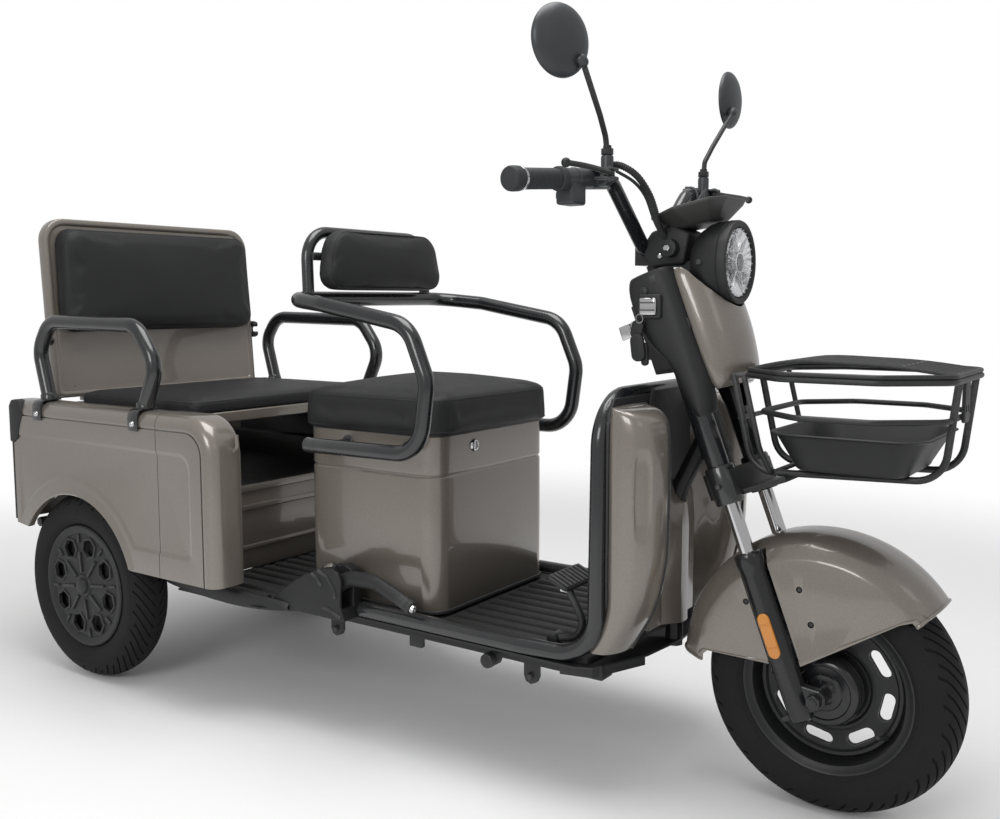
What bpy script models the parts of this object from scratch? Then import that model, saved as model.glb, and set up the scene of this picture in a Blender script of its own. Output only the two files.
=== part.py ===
"""An electric tricycle with a box seat in the middle and a bench body at the back.

Metres, +Z up. The pieces are drawn with X running forward from the rear axle, Y to the left and Z up
from the ground, and the whole vehicle is moved at the end so that its middle is over the origin.
"""

import math

import bmesh
import bpy
from mathutils import Matrix, Vector

# Driving dimensions
GAP = 0.0003            # between pieces that touch
RUNNING_GAP = 0.0006    # round a shaft that turns in its bore

WHEELBASE = 1.515
TYRE_INSET = 0.057              # from the rear body's outside to the middle of the tyre
TYRE_RADIUS = 0.2055
TYRE_WIDTH = 0.088
RIM_RADIUS = 0.133
WHEEL_STEPS = 24
REAR_AXLE_RADIUS = 0.0125
FRONT_AXLE_RADIUS = 0.007
REAR_TRAVEL = 0.030
FORK_TRAVEL = 0.035

RAKE = math.radians(21.0)
AXLE_LEAD = 0.0336      # front axle ahead of the fork legs
CROWN_OFFSET = 0.030    # fork legs ahead of the steering axis
LEG_SPREAD = 0.075      # each fork leg from the middle
LEG_RADIUS = 0.022
STANCHION_RADIUS = 0.0125
UPPER_TUBE_RADIUS = 0.0175
HEAD_TUBE_RADIUS = 0.026
STEM_RADIUS = 0.014

BODY_HALF_WIDTH = 0.360     # rear body, outside
TRACK = 2 * (BODY_HALF_WIDTH - TYRE_INSET)
BODY_REAR = -0.213
LAMP_REACH = 0.019          # tail lamps behind the tail panel
BODY_SEAM = 0.290           # between side panel and corner door
BODY_FRONT = 0.456
BODY_TOP = 0.600
BODY_SKIN = 0.003
DOOR_BOTTOM = 0.270
CAP_DEPTH = 0.062           # how far the rolled top rail reaches inwards
CAP_RADIUS = 0.022
ARCH_RADIUS = 0.203

FLOOR_TOP = 0.245
MAT_THICKNESS = 0.0145
RAIL_TOP = 0.2300
RAIL_HEIGHT = 0.025
RAIL_WIDTH = 0.035
RAIL_SPREAD = 0.185
FLOOR_HALF_WIDTH = 0.231
REAR_FLOOR_HALF = 0.296

HOOP_X = WHEELBASE - 0.315
HOOP_RADIUS = 0.0145
HOOP_HALF_WIDTH = 0.205
HOOP_TOP = 0.665
SIDE_TUBE_SPREAD = 0.225

SEAT_REAR = 0.525
SEAT_FRONT = 0.853
SEAT_HALF_WIDTH = 0.185
SEAT_BOX_TOP = 0.573
SEAT_CUSHION_HEIGHT = 0.072
SEAT_CORNER = 0.038
ARM_RADIUS = 0.0145
ARM_SPREAD = 0.250
ARM_LOW = 0.549
ARM_HIGH = 0.822
ARM_BACK_X = 0.535

BENCH_FRONT = 0.295
BENCH_HALF_WIDTH = 0.272
BENCH_TOP = 0.588
BENCH_CUSHION = 0.030
BENCH_ARM_RADIUS = 0.0155
BENCH_ARM_SPREAD = BODY_HALF_WIDTH - 0.029
BACK_HALF_WIDTH = 0.292
BACK_HEIGHT = 0.405
BACK_DEPTH = 0.028
BACK_FOOT_X = -0.143
BACK_LEAN = math.radians(4.0)

BAR_RADIUS = 0.011
BAR_X = WHEELBASE - 0.335
BAR_CLAMP_Z = 0.902
BAR_BEND_Y = 0.145
BAR_BEND_Z = 1.012
BAR_END = Vector((BAR_X - 0.030, 0.379, 0.993))
GRIP_RADIUS = 0.0158
GRIP_START = 0.268
MIRROR_RADIUS = 0.0535

BASKET_TOP = 0.705
BASKET_BOTTOM = 0.548
BASKET_REAR = WHEELBASE - 0.117
BASKET_FRONT = WHEELBASE + 0.185
BASKET_HALF_WIDTH = 0.165
BASKET_END_HALF = 0.100
WIRE_RADIUS = 0.0048
HOOP_WIRE = 0.0055      # the two lengthwise hoops that carry the tray
HOOP_RISE = 0.010       # of their bottoms towards the front
HOOP_FLAT = math.cos(math.pi / 6)
ARM_REACH = 0.128       # of the crown's arm under them

# Derived places
FLAT_DROP = math.cos(math.pi / WHEEL_STEPS)
AXLE_Z = TYRE_RADIUS * FLAT_DROP
REAR_WHEEL_Y = TRACK / 2
FRONT_AXLE = Vector((WHEELBASE, 0.0, AXLE_Z))
STEER_UP = Vector((-math.sin(RAKE), 0.0, math.cos(RAKE)))
STEER_AHEAD = Vector((math.cos(RAKE), 0.0, math.sin(RAKE)))
STEER_FOOT = FRONT_AXLE - STEER_AHEAD * (AXLE_LEAD + CROWN_OFFSET)
MIDDLE_X = (WHEELBASE + TYRE_RADIUS * FLAT_DROP + BODY_REAR - LAMP_REACH) / 2


def clear_scene():
    for obj in list(bpy.data.objects):
        bpy.data.objects.remove(obj, do_unlink=True)


def new_collection(name):
    folder = bpy.data.collections.new(name)
    bpy.context.scene.collection.children.link(folder)
    return folder


clear_scene()
parts = new_collection("electric_tricycle")
bench = new_collection("bench")


def finish(name, colour, roughness, metallic=0.0):
    paint = bpy.data.materials.new(name)
    paint.use_nodes = True
    shader = paint.node_tree.nodes["Principled BSDF"]
    shader.inputs["Base Color"].default_value = (*colour, 1.0)
    shader.inputs["Roughness"].default_value = roughness
    shader.inputs["Metallic"].default_value = metallic
    return paint


TAUPE = finish("taupe_paint", (0.205, 0.188, 0.165), 0.22, 0.35)
GLOSS_BLACK = finish("gloss_black_tube", (0.012, 0.013, 0.016), 0.22)
SATIN_BLACK = finish("satin_black_steel", (0.016, 0.017, 0.019), 0.45)
BLACK_PLASTIC = finish("black_plastic", (0.020, 0.021, 0.023), 0.55)
VINYL = finish("black_vinyl", (0.026, 0.027, 0.028), 0.50)
RUBBER = finish("tyre_rubber", (0.017, 0.017, 0.018), 0.80)
MAT = finish("floor_rubber", (0.022, 0.022, 0.023), 0.75)
CHROME = finish("chrome", (0.62, 0.62, 0.63), 0.12, 1.0)
LENS = finish("clear_lens", (0.80, 0.82, 0.84), 0.08)


def new_object(name, mesh):
    obj = bpy.data.objects.new(name, mesh)
    bench.objects.link(obj)
    return obj


def from_bmesh(shape, name="piece"):
    mesh = bpy.data.meshes.new(name)
    shape.to_mesh(mesh)
    shape.free()
    return new_object(name, mesh)


def solid(obj):
    """Turn a curve or an object with modifiers into a plain closed mesh with outward faces."""
    bpy.context.view_layer.update()
    graph = bpy.context.evaluated_depsgraph_get()
    mesh = bpy.data.meshes.new_from_object(obj.evaluated_get(graph), depsgraph=graph)
    shape = bmesh.new()
    shape.from_mesh(mesh)
    shape.transform(obj.matrix_world)
    bmesh.ops.remove_doubles(shape, verts=shape.verts, dist=2e-6)
    bmesh.ops.recalc_face_normals(shape, faces=shape.faces)
    shape.to_mesh(mesh)
    shape.free()
    bpy.data.objects.remove(obj, do_unlink=True)
    return new_object("piece", mesh)


def combine(operation, base, tools):
    for tool in tools:
        change = base.modifiers.new(operation, "BOOLEAN")
        change.operation = operation
        change.object = tool
        tool.hide_render = True
        tool.display_type = "WIRE"
    result = solid(base)
    for tool in tools:
        bpy.data.objects.remove(tool, do_unlink=True)
    return result


def fuse(base, *pieces):
    return combine("UNION", base, pieces)


def cut(base, *cutters):
    return combine("DIFFERENCE", base, cutters)


def moved(obj, matrix):
    obj.data.transform(matrix)
    if matrix.determinant() < 0:
        obj.data.flip_normals()
    return obj


def copy_of(obj):
    return new_object("copy", obj.data.copy())


def mirrored(obj):
    """A copy on the other side of the middle plane."""
    return moved(copy_of(obj), Matrix.Scale(-1.0, 4, (0.0, 1.0, 0.0)))


def block(low, high, bevel=0.0, segments=1):
    low, high = Vector(low), Vector(high)
    shape = bmesh.new()
    bmesh.ops.create_cube(shape, size=1.0)
    bmesh.ops.scale(shape, vec=high - low, verts=shape.verts)
    bmesh.ops.translate(shape, vec=(low + high) / 2, verts=shape.verts)
    if bevel:
        bmesh.ops.bevel(
            shape, geom=shape.edges[:], offset=bevel, segments=segments, profile=0.5, affect="EDGES",
        )
    return from_bmesh(shape)


def turn_to(direction):
    """Rotation that takes +Z to the direction."""
    return Vector(direction).to_track_quat("Z", "Y").to_matrix().to_4x4()


def rod(start, end, radius, sides=12, end_radius=None):
    start, end = Vector(start), Vector(end)
    shape = bmesh.new()
    tip = radius if end_radius is None else end_radius
    length = (end - start).length
    bmesh.ops.create_cone(shape, cap_ends=True, segments=sides, radius1=radius, radius2=tip, depth=length)
    shape.transform(Matrix.Translation((start + end) / 2) @ turn_to(end - start))
    return from_bmesh(shape)


def ball(centre, radius, rings=6):
    shape = bmesh.new()
    bmesh.ops.create_uvsphere(shape, u_segments=2 * rings, v_segments=rings, radius=radius)
    bmesh.ops.translate(shape, vec=Vector(centre), verts=shape.verts)
    return from_bmesh(shape)


def turned(profile, centre, direction, steps=24, closed=False):
    """Revolve a profile of (radius, height) points about the direction through the centre."""
    shape = bmesh.new()
    knots = [shape.verts.new((radius, 0.0, height)) for radius, height in profile]
    for a, b in zip(knots, knots[1:]):
        shape.edges.new((a, b))
    if closed:
        shape.edges.new((knots[-1], knots[0]))
    obj = from_bmesh(shape)
    screw = obj.modifiers.new("turn", "SCREW")
    screw.steps = steps
    screw.render_steps = steps
    screw.use_merge_vertices = True
    screw.merge_threshold = 0.00005
    return moved(solid(obj), Matrix.Translation(Vector(centre)) @ turn_to(direction))


def prism(outline, low, high, plane="XY"):
    """A flat outline with thickness, in the XY, XZ or YZ plane, from low to high along the third axis."""
    curve = bpy.data.curves.new("outline", "CURVE")
    curve.dimensions = "2D"
    curve.fill_mode = "BOTH"
    curve.extrude = (high - low) / 2
    spline = curve.splines.new("POLY")
    spline.points.add(len(outline) - 1)
    for knot, (u, v) in zip(spline.points, outline):
        knot.co = (u, v, 0.0, 1.0)
    spline.use_cyclic_u = True
    obj = solid(new_object("outline", curve))
    obj.data.transform(Matrix.Translation((0.0, 0.0, (high + low) / 2)))
    if plane == "XZ":
        moved(obj, Matrix(((1, 0, 0, 0), (0, 0, 1, 0), (0, 1, 0, 0), (0, 0, 0, 1))))
    if plane == "YZ":
        moved(obj, Matrix(((0, 0, 1, 0), (1, 0, 0, 0), (0, 1, 0, 0), (0, 0, 0, 1))))
    return obj


def arc(centre, radius, start, end, steps):
    """Points on a circle in a flat plane, angles in degrees."""
    points = []
    for i in range(steps + 1):
        angle = math.radians(start + (end - start) * i / steps)
        points.append((centre[0] + radius * math.cos(angle), centre[1] + radius * math.sin(angle)))
    return points


def bent(points, radius, steps=3, closed=False):
    """A path through the points with its corners rounded to the bend radius."""
    knots = [Vector(p) for p in points]
    if closed:
        triples = [(knots[i - 1], knots[i], knots[(i + 1) % len(knots)]) for i in range(len(knots))]
        path = []
    else:
        triples = list(zip(knots, knots[1:], knots[2:]))
        path = [knots[0]]
    for before, corner, after in triples:
        back = (before - corner).normalized()
        ahead = (after - corner).normalized()
        half = back.angle(ahead) / 2
        if math.pi / 2 - half < 0.02:
            path.append(corner)
            continue
        reach = min(
            radius / math.tan(half), 0.49 * (before - corner).length, 0.49 * (after - corner).length,
        )
        centre = corner + (back + ahead).normalized() * (reach / math.cos(half))
        start = corner + back * reach - centre
        end = corner + ahead * reach - centre
        sweep = start.angle(end)
        for i in range(steps + 1):
            share = i / steps
            turn = start * math.sin((1 - share) * sweep) + end * math.sin(share * sweep)
            path.append(centre + turn / math.sin(sweep))
    if not closed:
        path.append(knots[-1])
    return path


def tube(path, radius, detail=2, closed=False, radii=None):
    """A round tube or rod along a path. Detail 1 gives 6 sides and detail 2 gives 8."""
    curve = bpy.data.curves.new("tube", "CURVE")
    curve.dimensions = "3D"
    curve.bevel_depth = radius
    curve.bevel_resolution = detail
    curve.use_fill_caps = True
    spline = curve.splines.new("POLY")
    spline.points.add(len(path) - 1)
    for i, point in enumerate(path):
        spline.points[i].co = (*point, 1.0)
        if radii:
            spline.points[i].radius = radii[i]
    spline.use_cyclic_u = closed
    return solid(new_object("tube", curve))


def sheet(rows, thickness, offset=1.0, ring=False):
    """A shell through rows of points, with the thickness on the side that the offset picks."""
    shape = bmesh.new()
    grid = [[shape.verts.new(point) for point in row] for row in rows]
    for upper, lower in zip(grid, grid[1:]):
        last = len(upper) if ring else len(upper) - 1
        for i in range(last):
            j = (i + 1) % len(upper)
            shape.faces.new((upper[i], upper[j], lower[j], lower[i]))
    obj = from_bmesh(shape)
    wall = obj.modifiers.new("wall", "SOLIDIFY")
    wall.thickness = thickness
    wall.offset = offset
    wall.use_even_offset = True
    return solid(obj)


def cushion(low, high, crown, pull=0.03, corner=0.022, layers=1):
    """A padded block: flat below, crowned above, with sides that draw in between the corners."""
    low, high = Vector(low), Vector(high)
    middle, half = (low + high) / 2, (high - low) / 2
    shape = bmesh.new()
    bmesh.ops.create_cube(shape, size=2.0)
    for axis, cuts in ((0, 3), (1, 3), (2, layers)):
        along = [e for e in shape.edges if abs(e.verts[0].co[axis] - e.verts[1].co[axis]) > 1.5]
        bmesh.ops.subdivide_edges(shape, edges=along, cuts=cuts, use_grid_fill=True)
    for vert in shape.verts:
        place = list(vert.co)
        for axis in (0, 1):
            if 0.4 < abs(place[axis]) < 0.6:
                place[axis] = math.copysign(1.0 - corner / half[axis], place[axis])
        u, v, w = place
        side = 1.0 - pull * (1.0 - v * v) * abs(u)
        face = 1.0 - pull * (1.0 - u * u) * abs(v)
        rise = crown * (1.0 - u * u) * (1.0 - v * v) * (w + 1.0) / 2
        vert.co = middle + Vector((u * side * half.x, v * face * half.y, w * half.z + rise))
    obj = from_bmesh(shape)
    smooth = obj.modifiers.new("smooth", "SUBSURF")
    smooth.levels = 1
    smooth.render_levels = 1
    return solid(obj)


def on_fork(along, ahead=0.0, side=0.0):
    """A point measured along the steering axis, ahead of it and to its left."""
    return STEER_FOOT + STEER_UP * along + STEER_AHEAD * ahead + Vector((0.0, side, 0.0))


def fork_matrix():
    """Takes a piece drawn with X ahead, Y left and Z up the steering axis to its place."""
    turn = Matrix((STEER_AHEAD, (0.0, 1.0, 0.0), STEER_UP)).transposed().to_4x4()
    return Matrix.Translation(STEER_FOOT) @ turn


def node(name, obj, paint, origin=None, sharp=35.0):
    """Name a finished piece, paint it, and put its origin on its joint."""
    obj.name = name
    obj.data.name = name
    obj.data.materials.clear()
    obj.data.materials.append(paint)
    obj.data.polygons.foreach_set("material_index", [0] * len(obj.data.polygons))
    obj.data.shade_smooth()
    obj.data.set_sharp_from_angle(angle=math.radians(sharp))
    if origin is not None:
        obj.data.transform(Matrix.Translation(-Vector(origin)))
        obj.location = origin
    bench.objects.unlink(obj)
    parts.objects.link(obj)
    return obj


def rounded_box_outline(low, high, radius, steps=3):
    """A rectangle with rounded corners."""
    (x0, y0), (x1, y1) = low, high
    points = arc((x1 - radius, y1 - radius), radius, 0, 90, steps)
    points += arc((x0 + radius, y1 - radius), radius, 90, 180, steps)
    points += arc((x0 + radius, y0 + radius), radius, 180, 270, steps)
    points += arc((x1 - radius, y0 + radius), radius, 270, 360, steps)
    return points


# Wheels
TYRE_HALF = TYRE_WIDTH / 2
CROWN_HALF = 0.26 * TYRE_HALF


def level(wheel, centre):
    """Turn a wheel's facets so that a flat one is at the bottom, and put it on its centre."""
    return moved(wheel, Matrix.Translation(centre) @ Matrix.Rotation(math.pi / WHEEL_STEPS, 4, "Y"))


def tyre(centre):
    """A tyre with a flat band round its middle."""
    height = TYRE_RADIUS - RIM_RADIUS
    right = [
        (TYRE_RADIUS, CROWN_HALF),
        (TYRE_RADIUS - 0.12 * height, 0.74 * TYRE_HALF),
        (TYRE_RADIUS - 0.50 * height, TYRE_HALF),
        (RIM_RADIUS + GAP, 0.78 * TYRE_HALF),
    ]
    left = [(radius, -y) for radius, y in reversed(right)]
    return level(turned(right + left, (0, 0, 0), (0, 1, 0), WHEEL_STEPS, closed=True), centre)


HUB_HALF = 0.035
COVER_FACE = 0.048
BLIND_DEPTH = 0.025
HOLE_RING = 0.088
HOLE_RADIUS = 0.0205
HOLES = 8


def rear_wheel(centre, side):
    """Rim, dished cover with eight holes, and a hub bored for the axle end. Side is +1 on the left."""
    bore = (REAR_AXLE_RADIUS + RUNNING_GAP) / math.cos(math.pi / WHEEL_STEPS)
    barrel = RIM_RADIUS - 0.005
    profile = [
        (0.0, COVER_FACE), (RIM_RADIUS, COVER_FACE - 0.008), (RIM_RADIUS, -HUB_HALF),
        (barrel, -HUB_HALF), (barrel, COVER_FACE - 0.014), (0.050, COVER_FACE - 0.009), (0.032, -HUB_HALF),
        (bore, -HUB_HALF), (bore, BLIND_DEPTH), (0.0, BLIND_DEPTH),
    ]
    wheel = turned(profile, (0, 0, 0), (0, side, 0), WHEEL_STEPS)
    cutters = []
    for i in range(HOLES):
        angle = 2 * math.pi * (i + 0.5) / HOLES
        spot = Vector((math.cos(angle), 0.0, math.sin(angle))) * HOLE_RING
        cutters.append(
            rod(spot + Vector((0, side * 0.028, 0)), spot + Vector((0, side * 0.060, 0)), HOLE_RADIUS, 6),
        )
    return level(cut(wheel, *cutters), centre)


SLOTS = 8
SLOT_PHASE = 0.10
SLOT_RING = 0.089
SLOT_LENGTH = 0.048
SLOT_WIDTH = 0.020
DRUM_RADIUS = 0.058
FRONT_HUB_HALF = 0.036


def front_wheel(centre):
    """Steel rim with a slotted disc and a brake drum in its middle."""
    bore = (FRONT_AXLE_RADIUS + RUNNING_GAP) / math.cos(math.pi / WHEEL_STEPS)
    barrel = RIM_RADIUS - 0.005
    profile = [
        (bore, -FRONT_HUB_HALF), (DRUM_RADIUS, -FRONT_HUB_HALF), (DRUM_RADIUS, -0.006), (barrel, -0.002),
        (barrel, -0.033), (RIM_RADIUS, -0.035), (RIM_RADIUS, 0.035), (barrel, 0.033),
        (barrel, 0.003), (0.044, 0.003), (0.040, FRONT_HUB_HALF), (bore, FRONT_HUB_HALF),
    ]
    wheel = turned(profile, (0, 0, 0), (0, 1, 0), WHEEL_STEPS, closed=True)
    cutters = []
    half, end = SLOT_LENGTH / 2 - SLOT_WIDTH / 2, SLOT_WIDTH / 2
    slot = arc((half, 0), end, -90, 90, 2) + arc((-half, 0), end, 90, 270, 2)
    for i in range(SLOTS):
        cutter = prism(slot, -0.02, 0.02, "XZ")
        turn = Matrix.Rotation(2 * math.pi * (i + SLOT_PHASE) / SLOTS, 4, "Y")
        cutters.append(moved(cutter, turn @ Matrix.Translation((0, 0, SLOT_RING))))
    return level(cut(wheel, *cutters), centre)


for side, word in ((1, "left"), (-1, "right")):
    hub = Vector((0.0, side * REAR_WHEEL_Y, AXLE_Z))
    node("rear_tyre_" + word, tyre(hub), RUBBER, hub)
    node("rear_wheel_" + word, rear_wheel(hub, side), BLACK_PLASTIC, hub)
node("front_tyre", tyre(FRONT_AXLE), RUBBER, FRONT_AXLE)
node("front_wheel", front_wheel(FRONT_AXLE), SATIN_BLACK, FRONT_AXLE)


# Rear axle with its motor housing and shock rods
SHOCK_Y = 0.226
SHOCK_ROD = 0.008
SHOCK_CAN = 0.017
SHOCK_CAN_LOW = 0.305
SHOCK_CAN_HIGH = 0.405
MOTOR_RADIUS = 0.068
AXLE_TUBE = 0.020
AXLE_END = REAR_WHEEL_Y + BLIND_DEPTH - GAP
DRUM_IN = 0.238
DRUM_OUT = REAR_WHEEL_Y - HUB_HALF - RUNNING_GAP


def rear_axle():
    half = [
        (REAR_AXLE_RADIUS, AXLE_END), (REAR_AXLE_RADIUS, DRUM_OUT), (0.055, DRUM_OUT), (0.055, DRUM_IN),
        (AXLE_TUBE, DRUM_IN), (AXLE_TUBE, 0.10), (0.045, 0.085), (MOTOR_RADIUS, 0.062),
    ]
    profile = [(0.0, AXLE_END)] + half + [(radius, -y) for radius, y in reversed(half)] + [(0.0, -AXLE_END)]
    middle = Vector((0.0, 0.0, AXLE_Z))
    axle = turned(profile, middle, (0, 1, 0), 12)
    top = SHOCK_CAN_HIGH - 0.015 - REAR_TRAVEL
    rods = [rod((0, y, AXLE_Z), (0, y, top), SHOCK_ROD, 8) for y in (SHOCK_Y, -SHOCK_Y)]
    return fuse(axle, *rods)


node("rear_axle", rear_axle(), SATIN_BLACK, (0.0, 0.0, AXLE_Z))


# Welded frame
CROSS_HEIGHT = 0.022
REAR_RAIL_Z = 0.350
SHELF_Z = 0.4150
DOWN_TUBE_RADIUS = 0.016
DOWN_TUBE_X = WHEELBASE - 0.2788
HEAD_LOW = 0.405
HEAD_HIGH = 0.560
LUG_X = (0.612, WHEELBASE - 0.451)
LUG_BOTTOM = 0.168


def rail(side):
    """A floor rail that kicks up over the rear axle."""
    half = RAIL_HEIGHT / 2
    low = RAIL_TOP - half
    line = [(HOOP_X + 0.005, low), (0.230, low), (0.120, REAR_RAIL_Z), (BODY_REAR + 0.020, REAR_RAIL_Z)]
    upper = [(x, z + half) for x, z in line]
    lower = [(x, z - half) for x, z in reversed(line)]
    y = side * RAIL_SPREAD
    return prism(upper + lower, y - RAIL_WIDTH / 2, y + RAIL_WIDTH / 2, "XZ")


def stand_lug(x):
    """A flat lug with a round end under the right rail."""
    outline = [(x + 0.014, RAIL_TOP - 0.006), (x - 0.014, RAIL_TOP - 0.006)]
    outline += arc((x, LUG_BOTTOM + 0.014), 0.014, 180, 360, 4)
    return prism(outline, -RAIL_SPREAD - 0.012, -RAIL_SPREAD - 0.002, "XZ")


def build_frame():
    base = rail(1)
    extras = [rail(-1)]
    wide = RAIL_SPREAD
    low = RAIL_TOP - RAIL_HEIGHT + 0.002
    for x in (0.290, 0.575, 0.860, WHEELBASE - 0.365):
        extras.append(block((x, -wide, low), (x + 0.035, wide, low + CROSS_HEIGHT - 0.0015)))
    for x in (0.080, -0.190):
        z = SHELF_Z - GAP - CROSS_HEIGHT
        extras.append(block((x, -wide - 0.040, z), (x + 0.030, wide + 0.040, z + CROSS_HEIGHT)))
        for side in (1, -1):
            post = side * wide
            extras.append(
                block((x + 0.004, post - 0.012, REAR_RAIL_Z), (x + 0.026, post + 0.012, z + 0.010)),
            )
    for side in (1, -1):
        y = side * SHOCK_Y
        can = rod((0, y, SHOCK_CAN_LOW), (0, y, SHOCK_CAN_HIGH), SHOCK_CAN, 8)
        bore = rod((0, y, SHOCK_CAN_LOW - 0.01), (0, y, SHOCK_CAN_HIGH - 0.010), SHOCK_ROD + GAP, 8)
        extras.append(cut(can, bore))
        inner, outer = sorted((side * (wide + RAIL_WIDTH / 2 - 0.006), y - side * (SHOCK_CAN - 0.004)))
        extras.append(block((-0.012, inner, REAR_RAIL_Z - 0.010), (0.012, outer, REAR_RAIL_Z + 0.010)))
    tail = BODY_REAR + 0.0125
    extras.append(rod((tail, -0.315, 0.316), (tail, 0.315, 0.316), 0.011, 6))
    for side in (1, -1):
        inner, outer = sorted((side * (wide - 0.014), side * (wide + 0.014)))
        extras.append(block((tail - 0.007, inner, 0.312), (tail + 0.013, outer, REAR_RAIL_Z)))
    foot = Vector((DOWN_TUBE_X, 0.0, RAIL_TOP - 0.012))
    knee = Vector((DOWN_TUBE_X + 0.001, 0.0, 0.485))
    head = on_fork(HEAD_LOW + 0.045)
    extras.append(tube(bent([foot, knee, head], 0.10, 2), DOWN_TUBE_RADIUS))
    extras.append(rod(on_fork(HEAD_LOW), on_fork(HEAD_HIGH), HEAD_TUBE_RADIUS, 10))
    for x in LUG_X:
        extras.append(stand_lug(x))
    extras.append(rod((0.985, -RAIL_SPREAD - 0.030, 0.198), (0.985, -RAIL_SPREAD, 0.198), 0.013, 8))
    extras.append(block((0.800, -RAIL_SPREAD - 0.016, 0.186), (0.828, -RAIL_SPREAD - 0.006, 0.210)))
    wide = FLOOR_HALF_WIDTH
    pan = [
        (0.262, REAR_FLOOR_HALF), (0.500, REAR_FLOOR_HALF), (0.640, wide), (HOOP_X - 0.030, wide),
        (HOOP_X - 0.004, wide - 0.014), (HOOP_X + 0.040, 0.110), (HOOP_X + 0.052, 0.0),
    ]
    pan += [(x, -y) for x, y in reversed(pan[:-1])]
    floor = prism(pan, RAIL_TOP - 0.0035, RAIL_TOP)
    for side in (1, -1):
        corner = [
            (HOOP_X - 0.060, side * (wide - 0.004)), (HOOP_X - 0.006, side * (wide - 0.016)),
            (HOOP_X + 0.036, side * 0.110), (HOOP_X, side * 0.100), (HOOP_X - 0.060, side * 0.160),
        ]
        extras.append(prism(corner, RAIL_TOP - 0.019, RAIL_TOP - 0.001))
    frame = fuse(base, floor, *extras)
    return cut(
        frame, rod(on_fork(HEAD_LOW - 0.02), on_fork(HEAD_HIGH + 0.02), STEM_RADIUS + 3 * RUNNING_GAP, 10),
    )


node("frame", build_frame(), SATIN_BLACK)


# Leg shield hoop, running down into the floor side tubes
SIDE_TUBE_REAR = 0.706
HOOP_Z = RAIL_TOP + HOOP_RADIUS + GAP


def hoop_path():
    half = [
        (SIDE_TUBE_REAR, SIDE_TUBE_SPREAD, HOOP_Z), (HOOP_X - 0.140, SIDE_TUBE_SPREAD, HOOP_Z),
        (HOOP_X, HOOP_HALF_WIDTH + 0.010, HOOP_Z), (HOOP_X, HOOP_HALF_WIDTH, HOOP_TOP),
    ]
    points = half + [(x, -y, z) for x, y, z in reversed(half)]
    return bent(points, 0.080, 2)


node("shield_hoop", tube(hoop_path(), HOOP_RADIUS), GLOSS_BLACK)


# Leg shield: one skin from the right wing round the middle channel to the left wing
SHIELD_FACE = HOOP_X + HOOP_RADIUS + 0.0023
SHIELD_WALL = 0.0025
WING = (
    (0.000, 0.207), (0.024, 0.221), (0.056, 0.214), (0.078, 0.178), (0.074, 0.138), (0.034, 0.110),
    (0.000, 0.092),
)
WING_ROWS = (
    (0.2510, 0.30, 0.97), (0.285, 0.60, 0.98), (0.380, 1.0, 1.0), (0.570, 1.0, 1.0),
    (0.622, 0.86, 0.955), (0.653, 0.60, 0.90), (0.6720, 0.26, 0.83),
)


def shield_row(z, bulge, spread):
    wing = [(SHIELD_FACE + reach * bulge, y * spread, z) for reach, y in WING]
    return [(x, -y, z) for x, y, z in wing] + [(x, y, z) for x, y, z in reversed(wing)]


def leg_shield():
    rows = [shield_row(*row) for row in WING_ROWS]
    return sheet(rows, SHIELD_WALL, 1.0)


node("leg_shield", leg_shield(), TAUPE, sharp=60.0)


# Black inner panel in the channel, round the down tube
PANEL_BACK = SHIELD_FACE + SHIELD_WALL + GAP


def inner_panel():
    rows = []
    for z, reach, wide in ((0.2515, 0.0336, 0.046), (0.360, 0.0340, 0.048), (0.440, 0.0345, 0.048)):
        row = [(0.000, wide + 0.030), (0.003, wide + 0.006), (reach * 0.65, wide * 0.75), (reach, 0.022)]
        side = [(PANEL_BACK + x, -y, z) for x, y in row]
        rows.append(side + [(x, -y, z) for x, y, z in reversed(side)])
    return sheet(rows, 0.0022, 1.0)


node("inner_panel", inner_panel(), BLACK_PLASTIC, sharp=50.0)


# Ribbed floor mat
RIBS = 11
RIB_PITCH = 0.0345
RIB_WIDTH = 0.018
RIB_HEIGHT = 0.006
MAT_STEP = 0.502        # where the mat narrows


def mat_section(half, ribs):
    low, web = RAIL_TOP + GAP, FLOOR_TOP - RIB_HEIGHT
    outline = [(-half, low), (half, low), (half, web)]
    for i in range(ribs):
        y = ((ribs - 1) / 2 - i) * RIB_PITCH
        top, foot = RIB_WIDTH / 2 - 0.003, RIB_WIDTH / 2
        outline += [(y + foot, web), (y + top, FLOOR_TOP), (y - top, FLOOR_TOP), (y - foot, web)]
    outline.append((-half, web))
    return outline


def floor_mat():
    inside = SIDE_TUBE_SPREAD - HOOP_RADIUS - 4 * GAP
    front = prism(mat_section(inside, RIBS), MAT_STEP - 0.001, HOOP_X - HOOP_RADIUS - 0.004, "YZ")
    rear = prism(mat_section(0.290, RIBS), 0.304, MAT_STEP, "YZ")
    return cut(fuse(front, rear), tube(hoop_path(), HOOP_RADIUS + 2 * GAP))


node("floor_mat", floor_mat(), MAT)


# Front seat box, with the battery inside
BOX_BOTTOM = FLOOR_TOP + GAP
BOX_WALL = 0.0025
SEAM_Z = 0.500


def box_row(z, grow):
    x0, x1 = SEAT_REAR - grow, SEAT_FRONT + grow
    y = SEAT_HALF_WIDTH + grow
    return [(u, v, z) for u, v in rounded_box_outline((x0, -y), (x1, y), SEAT_CORNER, 3)]


def seat_box():
    rows = [box_row(SEAT_BOX_TOP, 0.0), box_row(SEAM_Z + 0.004, 0.0), box_row(SEAM_Z, -0.002)]
    rows += [box_row(SEAM_Z - 0.004, 0.0), box_row(BOX_BOTTOM, 0.0)]
    return sheet(rows, BOX_WALL, 1.0, ring=True)


node("seat_box", seat_box(), TAUPE)


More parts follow.
